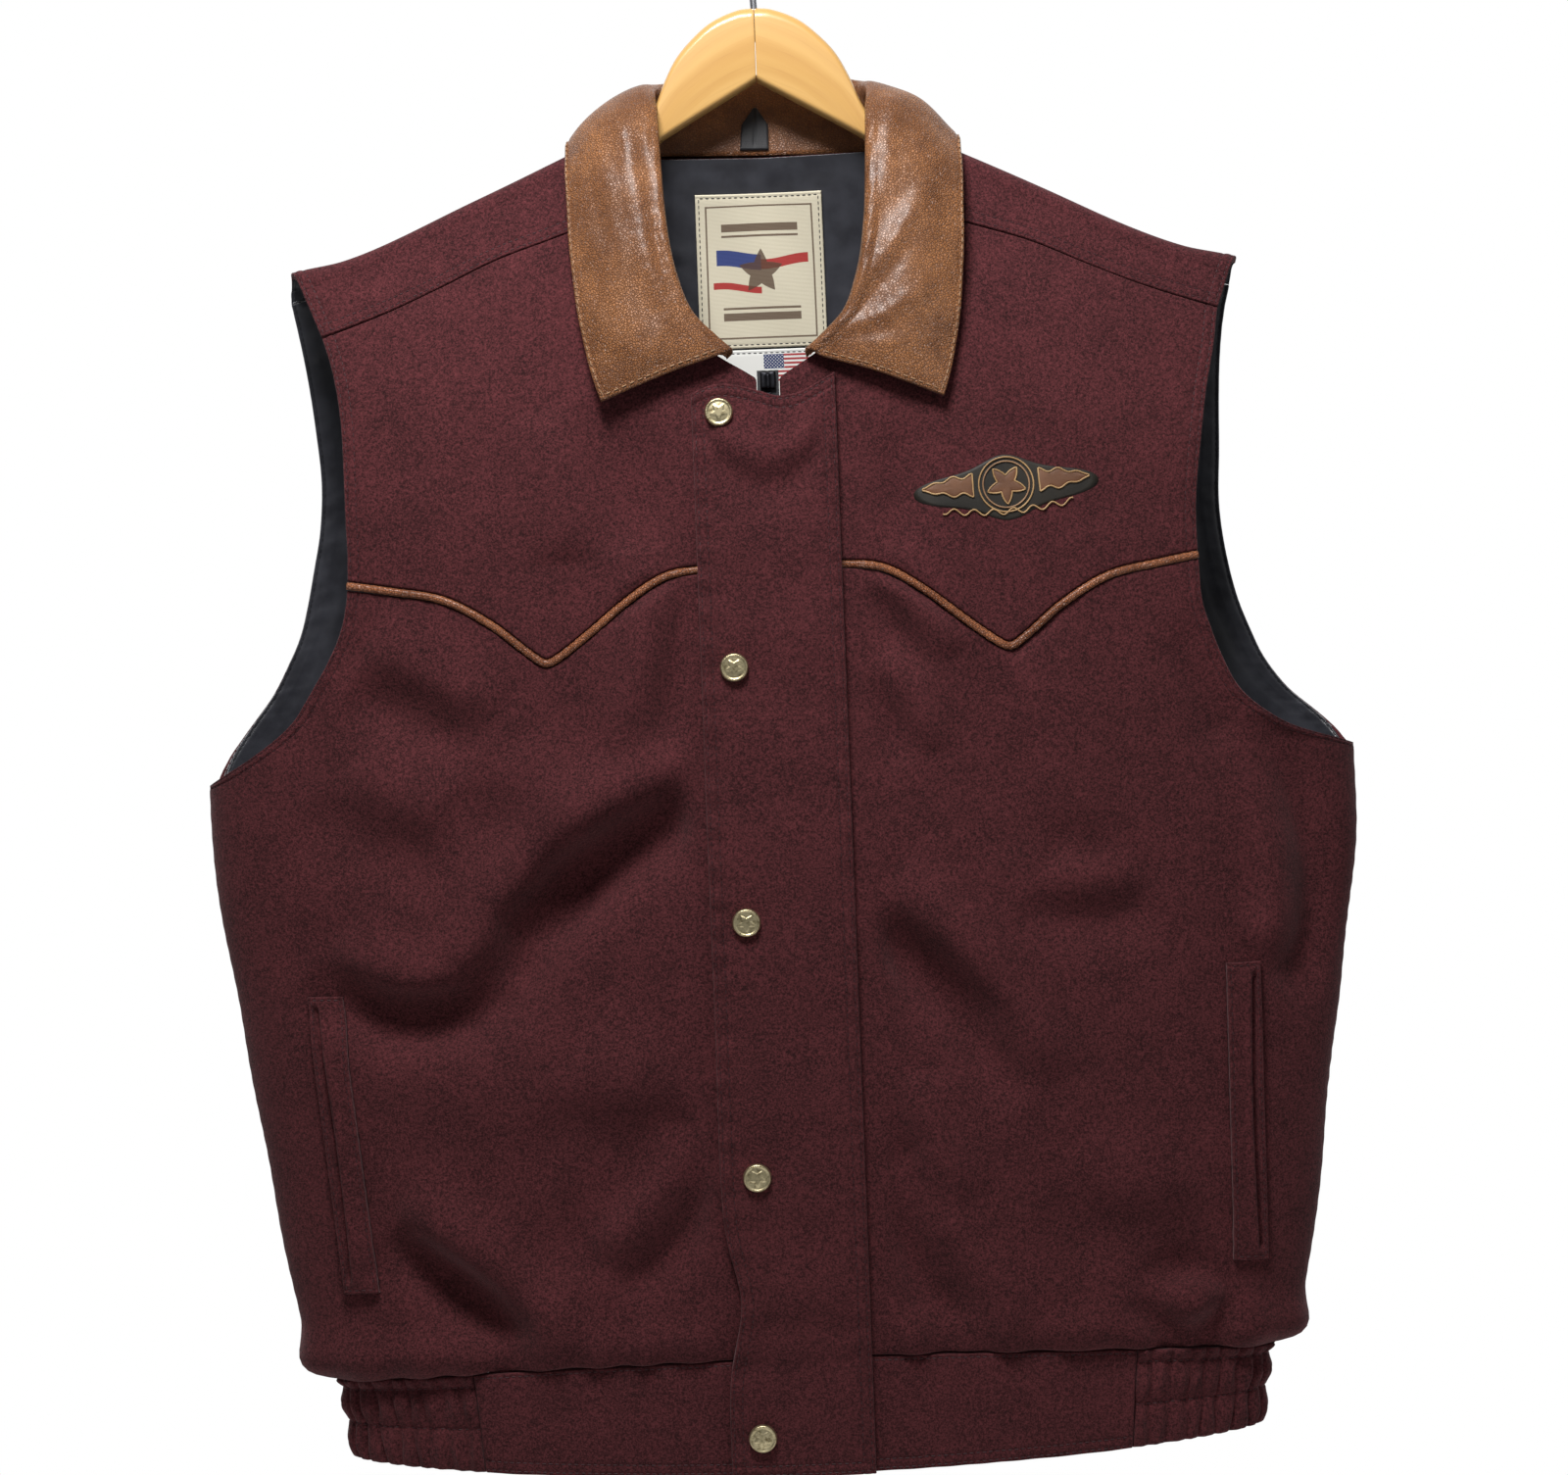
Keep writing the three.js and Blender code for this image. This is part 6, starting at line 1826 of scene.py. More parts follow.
@dataclass
class StormFlap:
    """The doubled flap over the zip, with its stitch rows, snaps, zip tape, teeth and slider."""

    finishes: Finishes
    threads: Threads
    buckle_z: float = -755
    buckle_height: float = 28
    buckle_inward: float = 8
    zip_half_width: float = 5.6
    zip_top_z: float = -273
    snaps: Table = ((-26, -295), (-23, -426.5), (-21.7, -557.8), (-21.2, -689), (-23.5, -824.5))
    snap_radius: float = 7.4
    snap_height: float = 3.3
    snap_beads: int = 30
    snap_dent: float = 0.7
    snap_dent_radius: float = 13
    bow_z: float = -326
    bow_width: float = 9
    bow_height: float = 2.2
    waist_z: float = -768

    def left_x(self, z: Array) -> Array:
        """The free edge, which buckles inwards above the waistband."""
        return FLAP_LEFT_X + self.buckle_inward * np.exp(-(((z - self.buckle_z) / self.buckle_height) ** 2))

    def surface(self, u: Array, v: Array) -> Array:
        """Points of the flap."""
        rough = lerp(HEM_Z, FLAP_TOP(lerp(FLAP_LEFT_X, FLAP_RIGHT_X, u)), v)
        x = lerp(self.left_x(rough), FLAP_RIGHT_X, u)
        z = lerp(HEM_Z, FLAP_TOP(x), v)
        return on_flap(x, z)

    def build(self) -> None:
        """Makes the flap, the zip and the snaps."""
        lift = DOUBLED_WOOL + LOOSE
        panel = Panel(
            self.surface,
            Lines(STITCHED_EDGE, 30, STITCHED_EDGE),
            Lines(STITCHED_EDGE, 270, STITCHED_EDGE),
            TOWARDS_FRONT,
            DOUBLED_WOOL,
            lift,
        )
        x, z = panel.base[..., 0], panel.base[..., 2]
        middle = smooth_step(panel.across_start, 7, 16) * smooth_step(panel.across_end, 7, 16)
        panel.crease(60, 0.14)
        panel.pucker(panel.across_start, z, 17, 0.5, 11)
        panel.pucker(panel.across_end, z + 9, 14, 0.3, 9)
        panel.relief += 0.7 * middle * np.sin(z / 21 + 1.2 * np.sin(z / 57)) ** 2
        waist = np.exp(-(((z - self.waist_z) / 9) ** 2))
        panel.relief -= 1.5 * waist
        bow = (z - self.bow_z - 9 * ((x + 2) / 20) ** 2) / self.bow_width
        panel.relief += self.bow_height * middle * bow * np.exp(0.5 - bow**2 / 2)
        open_edge = 1 - smooth_step(panel.across_start, 0, 16)
        panel.relief += 1.4 * open_edge * smooth_step(-z, 330, 400) * smooth_step(z, -830, -770)
        for distance in panel.edges:
            panel.roll(distance, 1.5)
            for at in STITCHES_AT:
                panel.groove(distance, at, 0.5, 0.8)
        for snap_x, snap_z in self.snaps:
            gap = (x - snap_x) ** 2 + (z - snap_z) ** 2
            panel.relief -= self.snap_dent * np.exp(-gap / self.snap_dent_radius**2)
        for line in (NEAR_ROW, FAR_ROW):
            self.threads.wool.frame(panel, line, slice(line, -1 - line))
        obj = add_panel("snapped_storm_flap", panel, self.finishes.wool)
        place(obj, "wool", "storm_flap")
        declare(obj, panel, ["front_left", "front_right"])
        self.zip()
        for number, snap in enumerate(self.snaps, 1):
            self.snap(number, *snap)

    def zip(self) -> None:
        """The zip's tape, its teeth where they show above the flap, and its slider."""
        half = self.zip_half_width
        surface = lambda u, v: on_flap(lerp(-half, half, u), lerp(HEM_Z, self.zip_top_z, v))
        panel = Panel(
            surface,
            Lines((0.0, 0.5), 14, (0.0, 0.5)),
            Lines((0.0, 0.5), 150, (0.0, 0.5)),
            TOWARDS_FRONT,
            1.8,
            -0.3,
        )
        panel.relief -= 0.5 * (1 - smooth_step(np.abs(panel.base[..., 0]), 0.3, 1.4))
        obj = add_panel("woven_zip_tape", panel, self.finishes.tape)
        place(obj, "tape", "zip_tape")
        declare(obj, panel, ["front_left", "front_right"])
        teeth = Stitching("zip_teeth", 1.7, 3.4, 0.6)
        z = np.arange(-292.0, -274.5, 1.7)
        for step in z:
            ends = on_flap(np.array([-1.9, 1.9]), np.array([step, step])) + np.array([[0, -0.25, 0]])
            teeth.row(ends, np.array([TOWARDS_FRONT, TOWARDS_FRONT]))
        teeth.build(self.finishes.blackened, "steel")
        half = 4.0
        surface = lambda u, v: on_front(lerp(-half, half, u), lerp(-283, -274, v))
        slider = Panel(
            surface,
            Lines((0.0, 0.3, 0.8), 16, (0.0, 0.3, 0.8)),
            Lines((0.0, 0.3, 0.8), 18, (0.0, 0.3, 0.8)),
            TOWARDS_FRONT,
            2.4,
            2.4,
        )
        for distance in slider.edges:
            slider.roll(distance, 1.0)
        bridge = np.exp(-((slider.base[..., 0] / 1.3) ** 2)) * smooth_step(slider.up_end, 0.8, 2.2)
        slider.relief += 1.1 * bridge
        obj = add_panel("steel_zip_slider", slider, self.finishes.blackened)
        place(obj, "steel", "zip_slider")

    def snap(self, number: int, x: float, z: float) -> None:
        """A domed snap cap: a turned profile with a plain star in relief and a beaded rim.

        Args:
            number: the snap's number from the top.
            x: its place across.
            z: its height.
        """
        reach = 4.0
        around = on_flap(np.array([x + reach, x - reach, x, x]), np.array([z, z, z - reach, z + reach]))
        normal = unit(np.cross(around[0] - around[1], around[2] - around[3]))
        if normal[1] > 0:
            normal = -normal
        seat = on_flap(np.array([x]), np.array([z]))[0] + normal * (DOUBLED_WOOL + LOOSE + SEAM)
        right = unit(np.cross(np.array([0.0, 0.0, 1.0]), normal)) * -1
        up = np.cross(right, normal) * -1
        size, top = self.snap_radius, self.snap_height
        radii, heights = size * SNAP_PROFILE[:, 0], top * SNAP_PROFILE[:, 1]
        angle = np.linspace(0, 2 * math.pi, 80, endpoint=False)
        r, a = np.meshgrid(radii, angle, indexing="ij")
        turn = np.abs((a / (2 * math.pi / 5) + 0.5) % 1 - 0.5) * 2 * math.pi / 5
        star = smooth_step(-r * (1 + 1.55 * turn), -0.66 * size, -0.58 * size)
        beads = np.cos(a * self.snap_beads) * np.exp(-(((r / size - 0.87) / 0.05) ** 2))
        h = heights[:, None] + 0.11 * top * star + 0.05 * top * beads
        across, high = (r * np.sin(a))[..., None], (r * np.cos(a))[..., None]
        points = seat + right * across + up * high + normal * h[..., None]
        everything = np.concatenate([points[0, :1], points[1:].reshape(-1, 3), seat[None]])
        faces = dome_faces(len(radii) - 1, len(angle))
        middle = everything[faces[0]]
        if np.cross(middle[1] - middle[0], middle[2] - middle[0]) @ normal < 0:
            faces = flip(faces)
        obj = add_mesh(f"star_snap_{number}", everything, faces, self.finishes.brass)
        place(obj, "brass", f"snap_{number}")


@dataclass
class Waistband:
    """The doubled band: two fronts, the back and two gathered elastic sides."""

    finishes: Finishes
    threads: Threads
    elastic_from_x: float = 173
    gathers: int = 19
    gather_height: float = 4.4
    rows_at: tuple = (0.13, 0.56)
    edge_rolls: tuple = (1.0, 1.0, 1.2, 1.8)

    def build(self) -> None:
        """Makes the five pieces."""
        inner = FRONT_EDGE_X + 0.2
        for side in Side:
            self.plain(
                f"band_front_{side.word}",
                side.value * inner,
                side.value * self.elastic_from_x,
                Face.FRONT,
                90,
            )
            self.elastic(side)
        self.plain("band_back", -self.elastic_from_x, self.elastic_from_x, Face.BACK, 150)

    def plain(self, node: str, from_x: float, to_x: float, face: Face, columns: int) -> None:
        """A plain stretch of the band with a stitch row along its top and two along its hem."""
        ends = [float(BAND.share_at(x, BAND_TOP_Z)) for x in (from_x, to_x)]
        surface = lambda u, v: BAND.point(lerp(ends[0], ends[1], u), lerp(BAND_TOP_Z, HEM_Z, v), face)
        facing = TOWARDS_FRONT if face is Face.FRONT else TOWARDS_BACK
        panel = Panel(
            surface,
            Lines(PLAIN_EDGE, columns, PLAIN_EDGE),
            Lines(STITCHED_EDGE, 30, STITCHED_EDGE),
            facing,
            DOUBLED_WOOL,
        )
        x = panel.base[..., 0]
        panel.crease(70, 0.22)
        panel.pucker(panel.up_start, x, 16, 0.45, 10)
        panel.pucker(panel.up_end, x + 5, 19, 0.3, 10)
        for distance, radius in zip(panel.edges, self.edge_rolls):
            panel.roll(distance, radius)
        panel.groove(panel.up_start, NEAR_STITCH_AT, 0.4, 0.8)
        for at in STITCHES_AT:
            panel.groove(panel.up_end, at, 0.45, 0.8)
        for row in (NEAR_ROW, -1 - NEAR_ROW, -1 - FAR_ROW):
            self.threads.wool.row(*panel.line(row=row))
        obj = add_panel(node.replace("band", "waistband"), panel, self.finishes.wool)
        place(obj, "wool", node)
        nodes = ["front_left", "front_right"] if face is Face.FRONT else ["back"]
        declare(obj, panel, nodes)

    def elastic(self, side: Side) -> None:
        """The gathered side: upright ridges, drawn together at its top, middle and hem.

        The relief is a sine squared along the side, deepest between the stitch rows, uneven in pitch.
        """
        start = abs(float(BAND.share_at(self.elastic_from_x, BAND_TOP_Z))) + SEAM / OVAL.WIDTH

        def surface(u: Array, v: Array) -> Array:
            """Points round the side, from the front to the back."""
            s = start + 2 * (1 - start) * u
            z = lerp(BAND_TOP_Z, HEM_Z, v)
            front = BAND.point(side.value * np.minimum(s, 1), z, Face.FRONT)
            back = BAND.point(side.value * np.minimum(2 - s, 1), z, Face.BACK)
            return np.where((s <= 1)[..., None], front, back)

        panel = Panel(
            surface,
            Lines(PLAIN_EDGE, 180, PLAIN_EDGE),
            Lines(PLAIN_EDGE, 46, PLAIN_EDGE),
            (side.value, 0.0, 0.0),
            DOUBLED_WOOL,
        )
        run = panel.u + 0.006 * np.sin(panel.u * 31) + 0.0045 * np.sin(panel.v * 9 + panel.u * 57)
        ridge = np.abs(np.sin(math.pi * self.gathers * run)) ** 0.85
        second = np.sin(math.pi * self.gathers * 2.1 * run + 1.1) ** 2
        pinch = np.sin(math.pi * np.interp(panel.v, (0, *self.rows_at, 1), (0.45, 1, 2, 2.85))) ** 2
        panel.relief += self.gather_height * ((0.82 * ridge + 0.18 * second) * (0.38 + 0.62 * pinch) - 0.4)
        for distance, radius in zip(panel.edges, self.edge_rolls):
            panel.roll(distance, radius)
        for at in self.rows_at:
            panel.groove(panel.v, at, 0.9, 0.025)
            row = int(np.argmin(np.abs(panel.v[:, 0] - at)))
            self.threads.wool.row(*panel.line(row=row))
        obj = add_panel(f"gathered_band_{side.word}", panel, self.finishes.wool)
        place(obj, "wool", f"band_elastic_{side.word}")
        panel.flat = (panel.flat[0] * 1.6, panel.flat[1])
        declare(obj, panel, [f"front_{side.word}"])


@dataclass
class Pocket:
    """A welt pocket at the side: a narrow strip with its mouth along its outer edge."""

    side: Side
    finishes: Finishes
    threads: Threads
    top_z: float = -589
    bottom_z: float = -742
    width: float = 18

    def build(self) -> None:
        """Makes the welt, with a stitched rectangle round it."""
        top_x, bottom_x = (-243, -229) if self.side is Side.LEFT else (234.5, 233.5)
        outward = self.side.value

        def surface(u: Array, v: Array) -> Array:
            """Points of the welt, u from its inner to its outer edge."""
            middle = lerp(bottom_x, top_x, v)
            return on_front(middle + outward * (u - 0.5) * self.width, lerp(self.bottom_z, self.top_z, v))

        edge = (0.0, 0.3, 0.7, 1.2, 1.6, 1.9, 2.2, 2.8)
        lift = WOOL + LOOSE + SEAM
        panel = Panel(surface, Lines(edge, 22, edge), Lines(edge, 150, edge), TOWARDS_FRONT, WOOL, lift)
        z = panel.base[..., 2]
        for distance in panel.edges:
            panel.roll(distance, 1.3)
            panel.groove(distance, NEAR_STITCH_AT, 0.35, 0.7)
        mouth = smooth_step(panel.up_start, 4, 9) * smooth_step(panel.up_end, 4, 9)
        opening = 3.4 + 1.6 * np.sin(math.pi * panel.v)
        panel.relief -= 3.2 * mouth * np.exp(-(((panel.across_end - opening) / 1.5) ** 4))
        panel.relief += 0.7 * mouth * np.exp(-(((panel.across_end - opening - 3.2) / 1.8) ** 2))
        panel.pucker(panel.across_start, z, 9, 0.2, 6)
        panel.relief += creases(FRONT_CREASES, panel.base[..., 0], z)
        self.threads.wool.frame(panel, 5, slice(5, -5))
        obj = add_panel(f"welt_{self.side.word}", panel, self.finishes.wool)
        place(obj, "wool", f"pocket_welt_{self.side.word}")
        declare(obj, panel, [f"front_{self.side.word}"])


@dataclass
class Labels:
    """The cream label, the small flag label and the hanging loop inside the back of the neck."""

    finishes: Finishes
    threads: Threads
    collar: Collar

    def build(self) -> None:
        """Makes the two labels and the loop."""
        self.label("neck_label", "cream_label", (-36, 33, -170, -252), self.finishes.label)
        self.label("care_label", "small_flag_label", (-40, 30, -253, -290), self.finishes.flag)
        self.loop()

    def label(self, node: str, name: str, box: tuple, material: Material) -> None:
        """A label sewn on the lining; box is its left, right, top and bottom."""
        left, right, top, bottom = box
        lift = WOOL + SEAM + LINING + LOOSE + SEAM + 1.0

        def surface(u: Array, v: Array) -> Array:
            """Points of the label."""
            z = lerp(bottom, top, v)
            return BODY.point(BODY.share_at(lerp(left, right, u), z), z, Face.BACK)

        edge = (0.0, 0.3, 0.8, 1.4, 1.8, 2.2, 3.0)
        panel = Panel(surface, Lines(edge, 40, edge), Lines(edge, 44, edge), TOWARDS_FRONT, 1.0, lift)
        x, z = panel.base[..., 0], panel.base[..., 2]
        panel.relief += 0.25 * np.sin(x / 7 + z / 12)
        for distance in panel.edges:
            panel.roll(distance, 0.5)
            panel.groove(distance, 1.8, 0.2, 0.5)
        self.threads.dark.frame(panel, 4, slice(4, -4))
        obj = add_panel(name, panel, material)
        place(obj, "label", node)
        declare(obj, panel, ["lining_back"])

    def loop(self) -> None:
        """The tape loop: folded to a point, on the collar's stand."""
        v = np.linspace(0, 1, 40)
        u = np.linspace(0, 1, 25)
        grid_v, grid_u = np.meshgrid(v, u, indexing="ij")
        half = 0.017 * np.minimum(1, 0.12 + 2.2 * (1 - grid_v))
        place_u = 0.5 + (grid_u - 0.5) * 2 * half - 0.006
        rows = []
        for k in range(len(v)):
            rows.append(self.collar.surface(place_u[k : k + 1], lerp(0.012, 0.11, v[k : k + 1, None])))
        panel = GridPanel(np.concatenate(rows), TOWARDS_FRONT, 1.6, LEATHER + SEAM + 1.6)
        for distance in panel.edges:
            panel.roll(distance, 0.7)
        middle = np.abs(panel.u - 0.5)
        panel.relief -= 0.5 * np.exp(-((middle / 0.05) ** 2)) * smooth_step(panel.v, 0.0, 0.2)
        obj = add_panel("tape_loop", panel, self.finishes.tape)
        place(obj, "tape", "neck_loop")
        declare(obj, panel, ["collar"])


HANGER_HUMP = Curve((
    (0, -76.3), (9, -77.2), (23, -83), (34, -92), (43, -102.5), (50, -116), (54, -126), (60, -137.5),
))
HANGER_UNDERSIDE = Curve(((0, -115), (60, -150), (110, -184), (165, -210), (222, -234)))


@dataclass
class ChestBadge:
    """Plain western embroidery on the right yoke: a star in a ring between two barbs, over a rope line."""

    finishes: Finishes
    middle_x: float = 121
    middle_z: float = -337
    lift: float = 0.35
    cord: float = 0.42

    def place_on(self, x: Array, z: Array, height: Array | float) -> Array:
        """Points above the yoke, turned 3 degrees so that the badge runs up to the right."""
        turn = math.radians(3)
        across = self.middle_x + x * math.cos(turn) - z * math.sin(turn)
        up = self.middle_z + x * math.sin(turn) + z * math.cos(turn)
        points = on_front(across, up)
        points[..., 1] -= height
        return points

    def patch(
        self, name: str, x: Array, z: Array, centre: tuple[float, float], height: float, material: Material
    ) -> None:
        """A low padded shape: rings from its middle to its outline, closed below in the wool.

        Args:
            name: the piece's name.
            x: the outline's places across, from the badge's middle.
            z: the outline's heights.
            centre: a place inside from which the whole outline is seen.
            height: height of its middle above the cloth.
            material: its thread.
        """
        share = np.array((0.0, 0.3, 0.6, 0.8, 0.92, 1.0))
        r = share[:, None]
        grid_x, grid_z = lerp(centre[0], x, r), lerp(centre[1], z, r)
        top = self.place_on(grid_x, grid_z, height * (1 - 0.55 * r**6) + np.zeros_like(grid_x))
        low = self.place_on(grid_x[-1:], grid_z[-1:], -0.4)
        bottom = self.place_on(np.array([centre[0]]), np.array([centre[1]]), -0.4)
        count = len(x)
        points = np.concatenate([top[0, :1], top[1:].reshape(-1, 3), low[0], bottom])
        faces = dome_faces(len(share), count)
        a, b, c = points[faces[(len(share) - 1) * count, :3]]
        if np.cross(b - a, c - a)[1] > 0:
            faces = flip(faces)
        flat = points[:, (0, 2)] * MILLIMETRE
        place(add_mesh(name, points, faces, material, flat), "wool")

    def outline(self, name: str, x: Array, z: Array, closed: bool, material: Material) -> None:
        """A cord of thread along a line on the cloth."""
        path = self.place_on(x, z, self.lift + 0.35)
        size = self.cord * (1 + 0.12 * np.sin(np.arange(len(x)) * 2.1))
        points, faces = tube(path, size, 7, closed)
        place(add_mesh(name, points, faces, material), "wool")

    def build(self) -> None:
        """Makes the halo, the fills, the outlines and the rope line."""
        f = self.finishes
        t = np.linspace(0, 2 * math.pi, 144, endpoint=False)
        halo_x = 48 * np.sign(np.cos(t)) * np.abs(np.cos(t)) ** 0.9
        tall = 9.5 + 7.5 * np.exp(-((halo_x / 15) ** 2))
        halo_z = np.sign(np.sin(t)) * np.abs(np.sin(t)) ** 0.9 * tall - 1.5
        self.patch("badge_ground", halo_x, halo_z, (0.0, -1.5), self.lift, f.olive_thread)
        ring = 14.2
        self.outline("badge_ring", ring * np.cos(t), ring * np.sin(t), True, f.gold_thread)
        self.outline("badge_inner_ring", 12.0 * np.cos(t), 12.0 * np.sin(t), True, f.tan_thread)
        swing = np.abs((t / (2 * math.pi / 5)) % 1 - 0.5) * 2
        size = 10.4 * (0.46 + 0.54 * np.abs(swing) ** 1.35)
        turn = t + math.pi / 2 + math.pi / 5
        star_x, star_z = size * np.cos(turn), size * np.sin(turn)
        self.patch("badge_star", star_x, star_z, (0.0, 0.0), self.lift + 0.55, f.brown_thread)
        self.outline("badge_star_edge", star_x, star_z, True, f.gold_thread)
        for side in Side:
            s = np.linspace(0, 1, 60)
            far = 17.2 + 26 * s
            tall = 5.6 * (1 - s**2.2) * (0.8 + 0.2 * np.cos(s * 5 * math.pi))
            x = np.concatenate([far, far[::-1]]) * side.value
            z = np.concatenate([tall + 0.4, -tall[::-1] - 0.4]) + 1.0
            self.patch(
                f"badge_barb_{side.word}", x, z, (side.value * 26.0, 1.0), self.lift + 0.45, f.brown_thread
            )
            self.outline(f"badge_barb_edge_{side.word}", x, z, True, f.gold_thread)
        s = np.linspace(-1, 1, 260)
        rope_x, rope_z = 34 * s, -10.6 - 3.4 * np.cos(s * 1.4) + 1.5 * np.sin(s * 21)
        self.outline("badge_rope", rope_x, rope_z, False, f.gold_thread)


@dataclass
class Hanger:
    """Two flat wooden arms mitred in the middle, and a wire hook."""

    finishes: Finishes
    half_thickness: float = 6
    tip_x: float = 222
    bottom_round: float = 3
    wire_radius: float = 1.9
    hook_radius: float = 21

    def build(self) -> None:
        """Makes the arms and the hook."""
        for side in Side:
            self.arm(side)
        self.hook()

    def top_z(self, x: Array) -> Array:
        """Top of an arm: the hump in the middle, then just under the cloth."""
        under = ridge_z(x) - WOOL - LOOSE
        return np.where(np.abs(x) < 60, HANGER_HUMP(np.abs(x)), under)

    def arm(self, side: Side) -> None:
        """One arm: rings of a round-topped section, smaller towards the tip."""
        x = np.concatenate(
            [
                [SEAM / 2, 0.6, 1.2],
                np.linspace(2, 66, 60),
                np.linspace(68, 216, 110),
                np.linspace(217, self.tip_x, 14),
            ]
        )
        top, bottom = self.top_z(side.value * x), HANGER_UNDERSIDE(x)
        shrink = np.interp(x, (0, 1.2, 212, 219, self.tip_x), (0.975, 1, 1, 0.86, 0.55))
        half = self.half_thickness * shrink
        middle = (top + bottom) / 2
        angle = np.linspace(0, math.pi, 19)
        low = self.bottom_round
        corner = np.linspace(0, math.pi / 2, 6)
        y = [half[:, None] * np.cos(angle)]
        z = [top[:, None] - half[:, None] + half[:, None] * np.sin(angle)]
        y += [-half[:, None] + low - low * np.cos(corner), half[:, None] - low + low * np.sin(corner)]
        z += [bottom[:, None] + low - low * np.sin(corner), bottom[:, None] + low - low * np.cos(corner)]
        ys, zs = np.concatenate(y, axis=1), np.concatenate(z, axis=1)
        zs = lerp(middle[:, None], zs, shrink[:, None])
        points = stack(np.broadcast_to((side.value * x)[:, None], ys.shape), ys, zs).reshape(-1, 3)
        faces = bar_faces(*ys.shape)
        if side is Side.LEFT:
            faces = flip(faces)
        along = np.concatenate([[0], np.cumsum(np.hypot(np.diff(x), np.diff(middle)))])
        flat = pair(np.broadcast_to(along[:, None], ys.shape), zs - middle[:, None] + ys * 0.7)
        uv = flat.reshape(-1, 2) * MILLIMETRE
        obj = add_mesh(f"wooden_arm_{side.word}", points, faces, self.finishes.wood, uv)
        place(obj, "wood", f"hanger_arm_{side.word}")

    def hook(self) -> None:
        """The wire hook: a shank that swings out and round, with a rounded end."""
        radius = self.hook_radius + self.wire_radius
        angle = np.linspace(-0.45, 3.6, 12)
        bend = stack(radius * np.cos(angle), np.zeros(12), -self.hook_radius + radius * np.sin(angle))
        shank = np.array([(0, 0, -94), (0, 0, -78), (0, 0, -62), (5, 0, -51.5), (14, 0, -42)], float)
        path = catmull(np.concatenate([shank, bend]), np.linspace(0, 1, 260))
        last = np.linalg.norm(path - path[-1], axis=1)
        near_end = np.clip(last / self.wire_radius, 0.02, 1)
        size = self.wire_radius * np.sqrt(np.clip(1 - (1 - near_end) ** 2, 0.02, 1))
        points, faces = tube(path, size, 20)
        obj = add_mesh("wire_hook", points, faces, self.finishes.steel)
        place(obj, "steel", "hanger_hook")


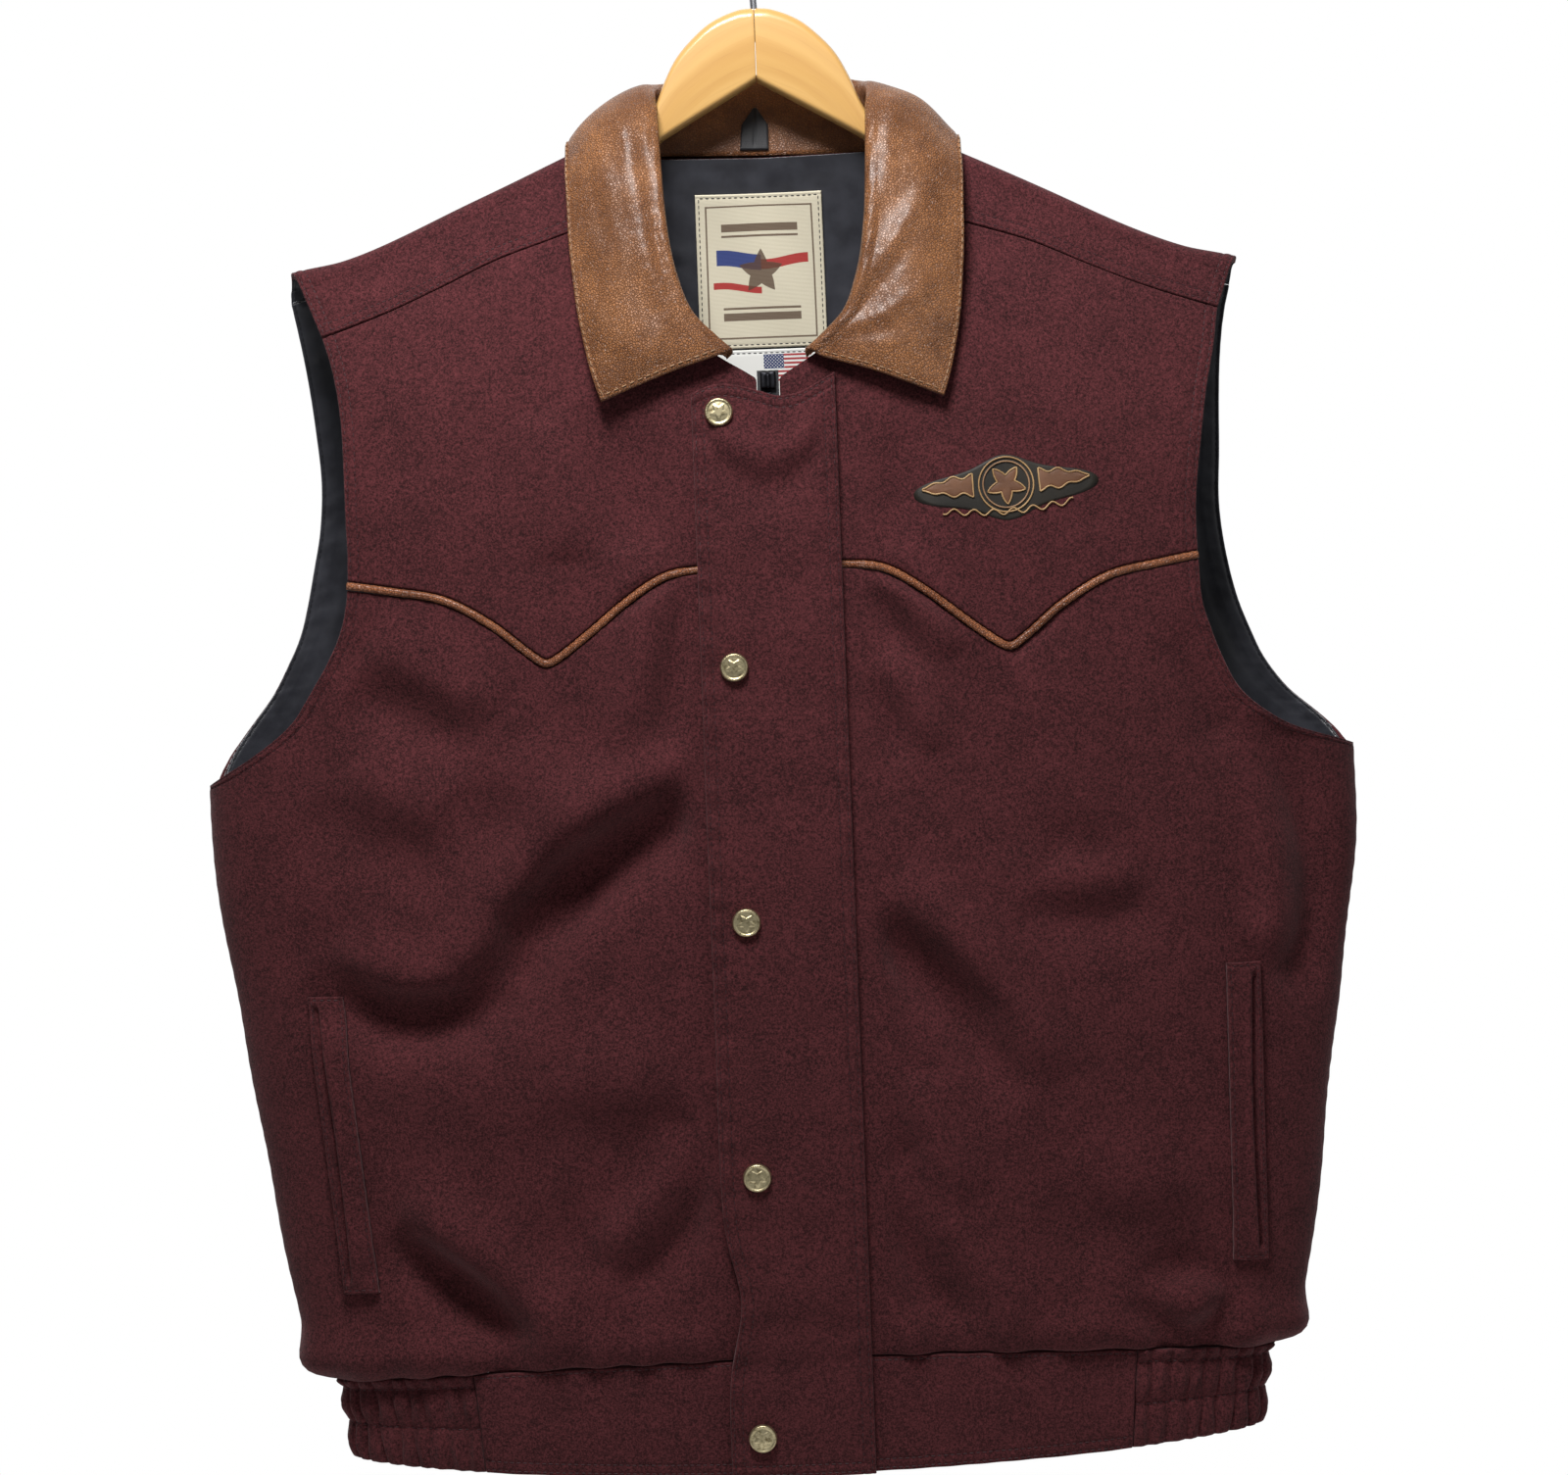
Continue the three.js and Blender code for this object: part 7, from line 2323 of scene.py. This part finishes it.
@dataclass
class Studio:
    """The floor, the lights, the world and the camera."""

    camera_at: tuple = (0.0012, -1.7, -0.4634)
    frame_width: float = 0.832
    sensor: float = 36.0
    roll_degrees: float = 2.2
    floor_z: float = -1.2
    floor_radius: float = 1.35
    room_front: float = 0.13
    room_behind: float = 1.0

    def build(self) -> None:
        """Makes all four."""
        self.camera()
        self.floor()
        self.lights()

    def camera(self) -> None:
        """A level camera that looks straight at the front, rolled as the photograph is."""
        data = bpy.data.cameras.new("camera")
        data.sensor_fit = "HORIZONTAL"
        data.sensor_width = self.sensor
        data.lens = self.sensor * abs(self.camera_at[1]) / self.frame_width
        data.clip_end = 20
        camera = bpy.data.objects.new("camera", data)
        roll = Matrix.Rotation(math.radians(-self.roll_degrees), 4, "Z")
        level = Matrix.Rotation(math.radians(90), 4, "X")
        camera.matrix_world = Matrix.Translation(self.camera_at) @ level @ roll
        bpy.context.scene.collection.objects.link(camera)
        bpy.context.scene.camera = camera

    def floor(self) -> None:
        """A plain pale disc well below the vest."""
        angle = np.linspace(0, 2 * math.pi, 96, endpoint=False)
        radius = self.floor_radius / MILLIMETRE
        ring = stack(radius * np.cos(angle), radius * np.sin(angle), self.floor_z / MILLIMETRE)
        g = Graph("pale_floor")
        mottle = g.mix(g.noise(g.coordinates(), 3, 2), srgb(236, 236, 236), srgb(244, 244, 244))
        obj = add_mesh("floor", ring, cap_faces(len(angle)), g.dress(base_color=mottle, roughness=0.8))
        obj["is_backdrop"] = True

    def lights(self) -> None:
        """A soft key light from above, a weak fill, and a white room that is dimmer in front of the vest."""
        for name, place_at, size, power in (
            ("key", (-0.13, -0.66, 0.5), 0.34, 15.5),
            ("fill", (1.3, -2.0, 0.1), 1.4, 2.6),
        ):
            data = bpy.data.lights.new(name, "AREA")
            data.size = size
            data.energy = power
            light = bpy.data.objects.new(name, data)
            light.location = place_at
            aim = Vector((0, 0, -0.4)) - Vector(place_at)
            light.rotation_euler = aim.to_track_quat("-Z", "Y").to_euler()
            bpy.context.scene.collection.objects.link(light)
        world = bpy.data.worlds.new("world")
        world.use_nodes = True
        nodes, links = world.node_tree.nodes, world.node_tree.links
        split = nodes.new("ShaderNodeSeparateXYZ")
        links.new(nodes.new("ShaderNodeTexCoord").outputs["Generated"], split.inputs[0])
        rise = nodes.new("ShaderNodeMapRange")
        rise.interpolation_type = "SMOOTHSTEP"
        for socket, value in enumerate((0.1, 0.7, self.room_front, self.room_behind), 1):
            rise.inputs[socket].default_value = value
        links.new(split.outputs["Y"], rise.inputs[0])
        background = nodes["Background"]
        background.inputs[0].default_value = (1.0, 1.0, 1.0, 1.0)
        links.new(rise.outputs[0], background.inputs[1])
        bpy.context.scene.world = world
        bpy.context.scene.view_settings.view_transform = "Standard"


def main() -> None:
    """Builds the studio and every sub-assembly in order."""
    Studio().build()
    finishes, threads = Finishes(), Threads()
    for side in Side:
        FrontHalf(side, finishes, threads).build()
        Pocket(side, finishes, threads).build()
    BackHalf(finishes, threads).build()
    collar = Collar(finishes, threads)
    collar.build()
    StormFlap(finishes, threads).build()
    Waistband(finishes, threads).build()
    Labels(finishes, threads, collar).build()
    ChestBadge(finishes).build()
    Hanger(finishes).build()
    threads.build(finishes)
    lists = {
        name: [list(map(float, corner)) for corner in box]
        for name, box in (("cad", CAD_BOX), ("visual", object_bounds()))
    }


if __name__ == "__main__":
    logging.basicConfig(level=logging.INFO, format="%(message)s")
    main()
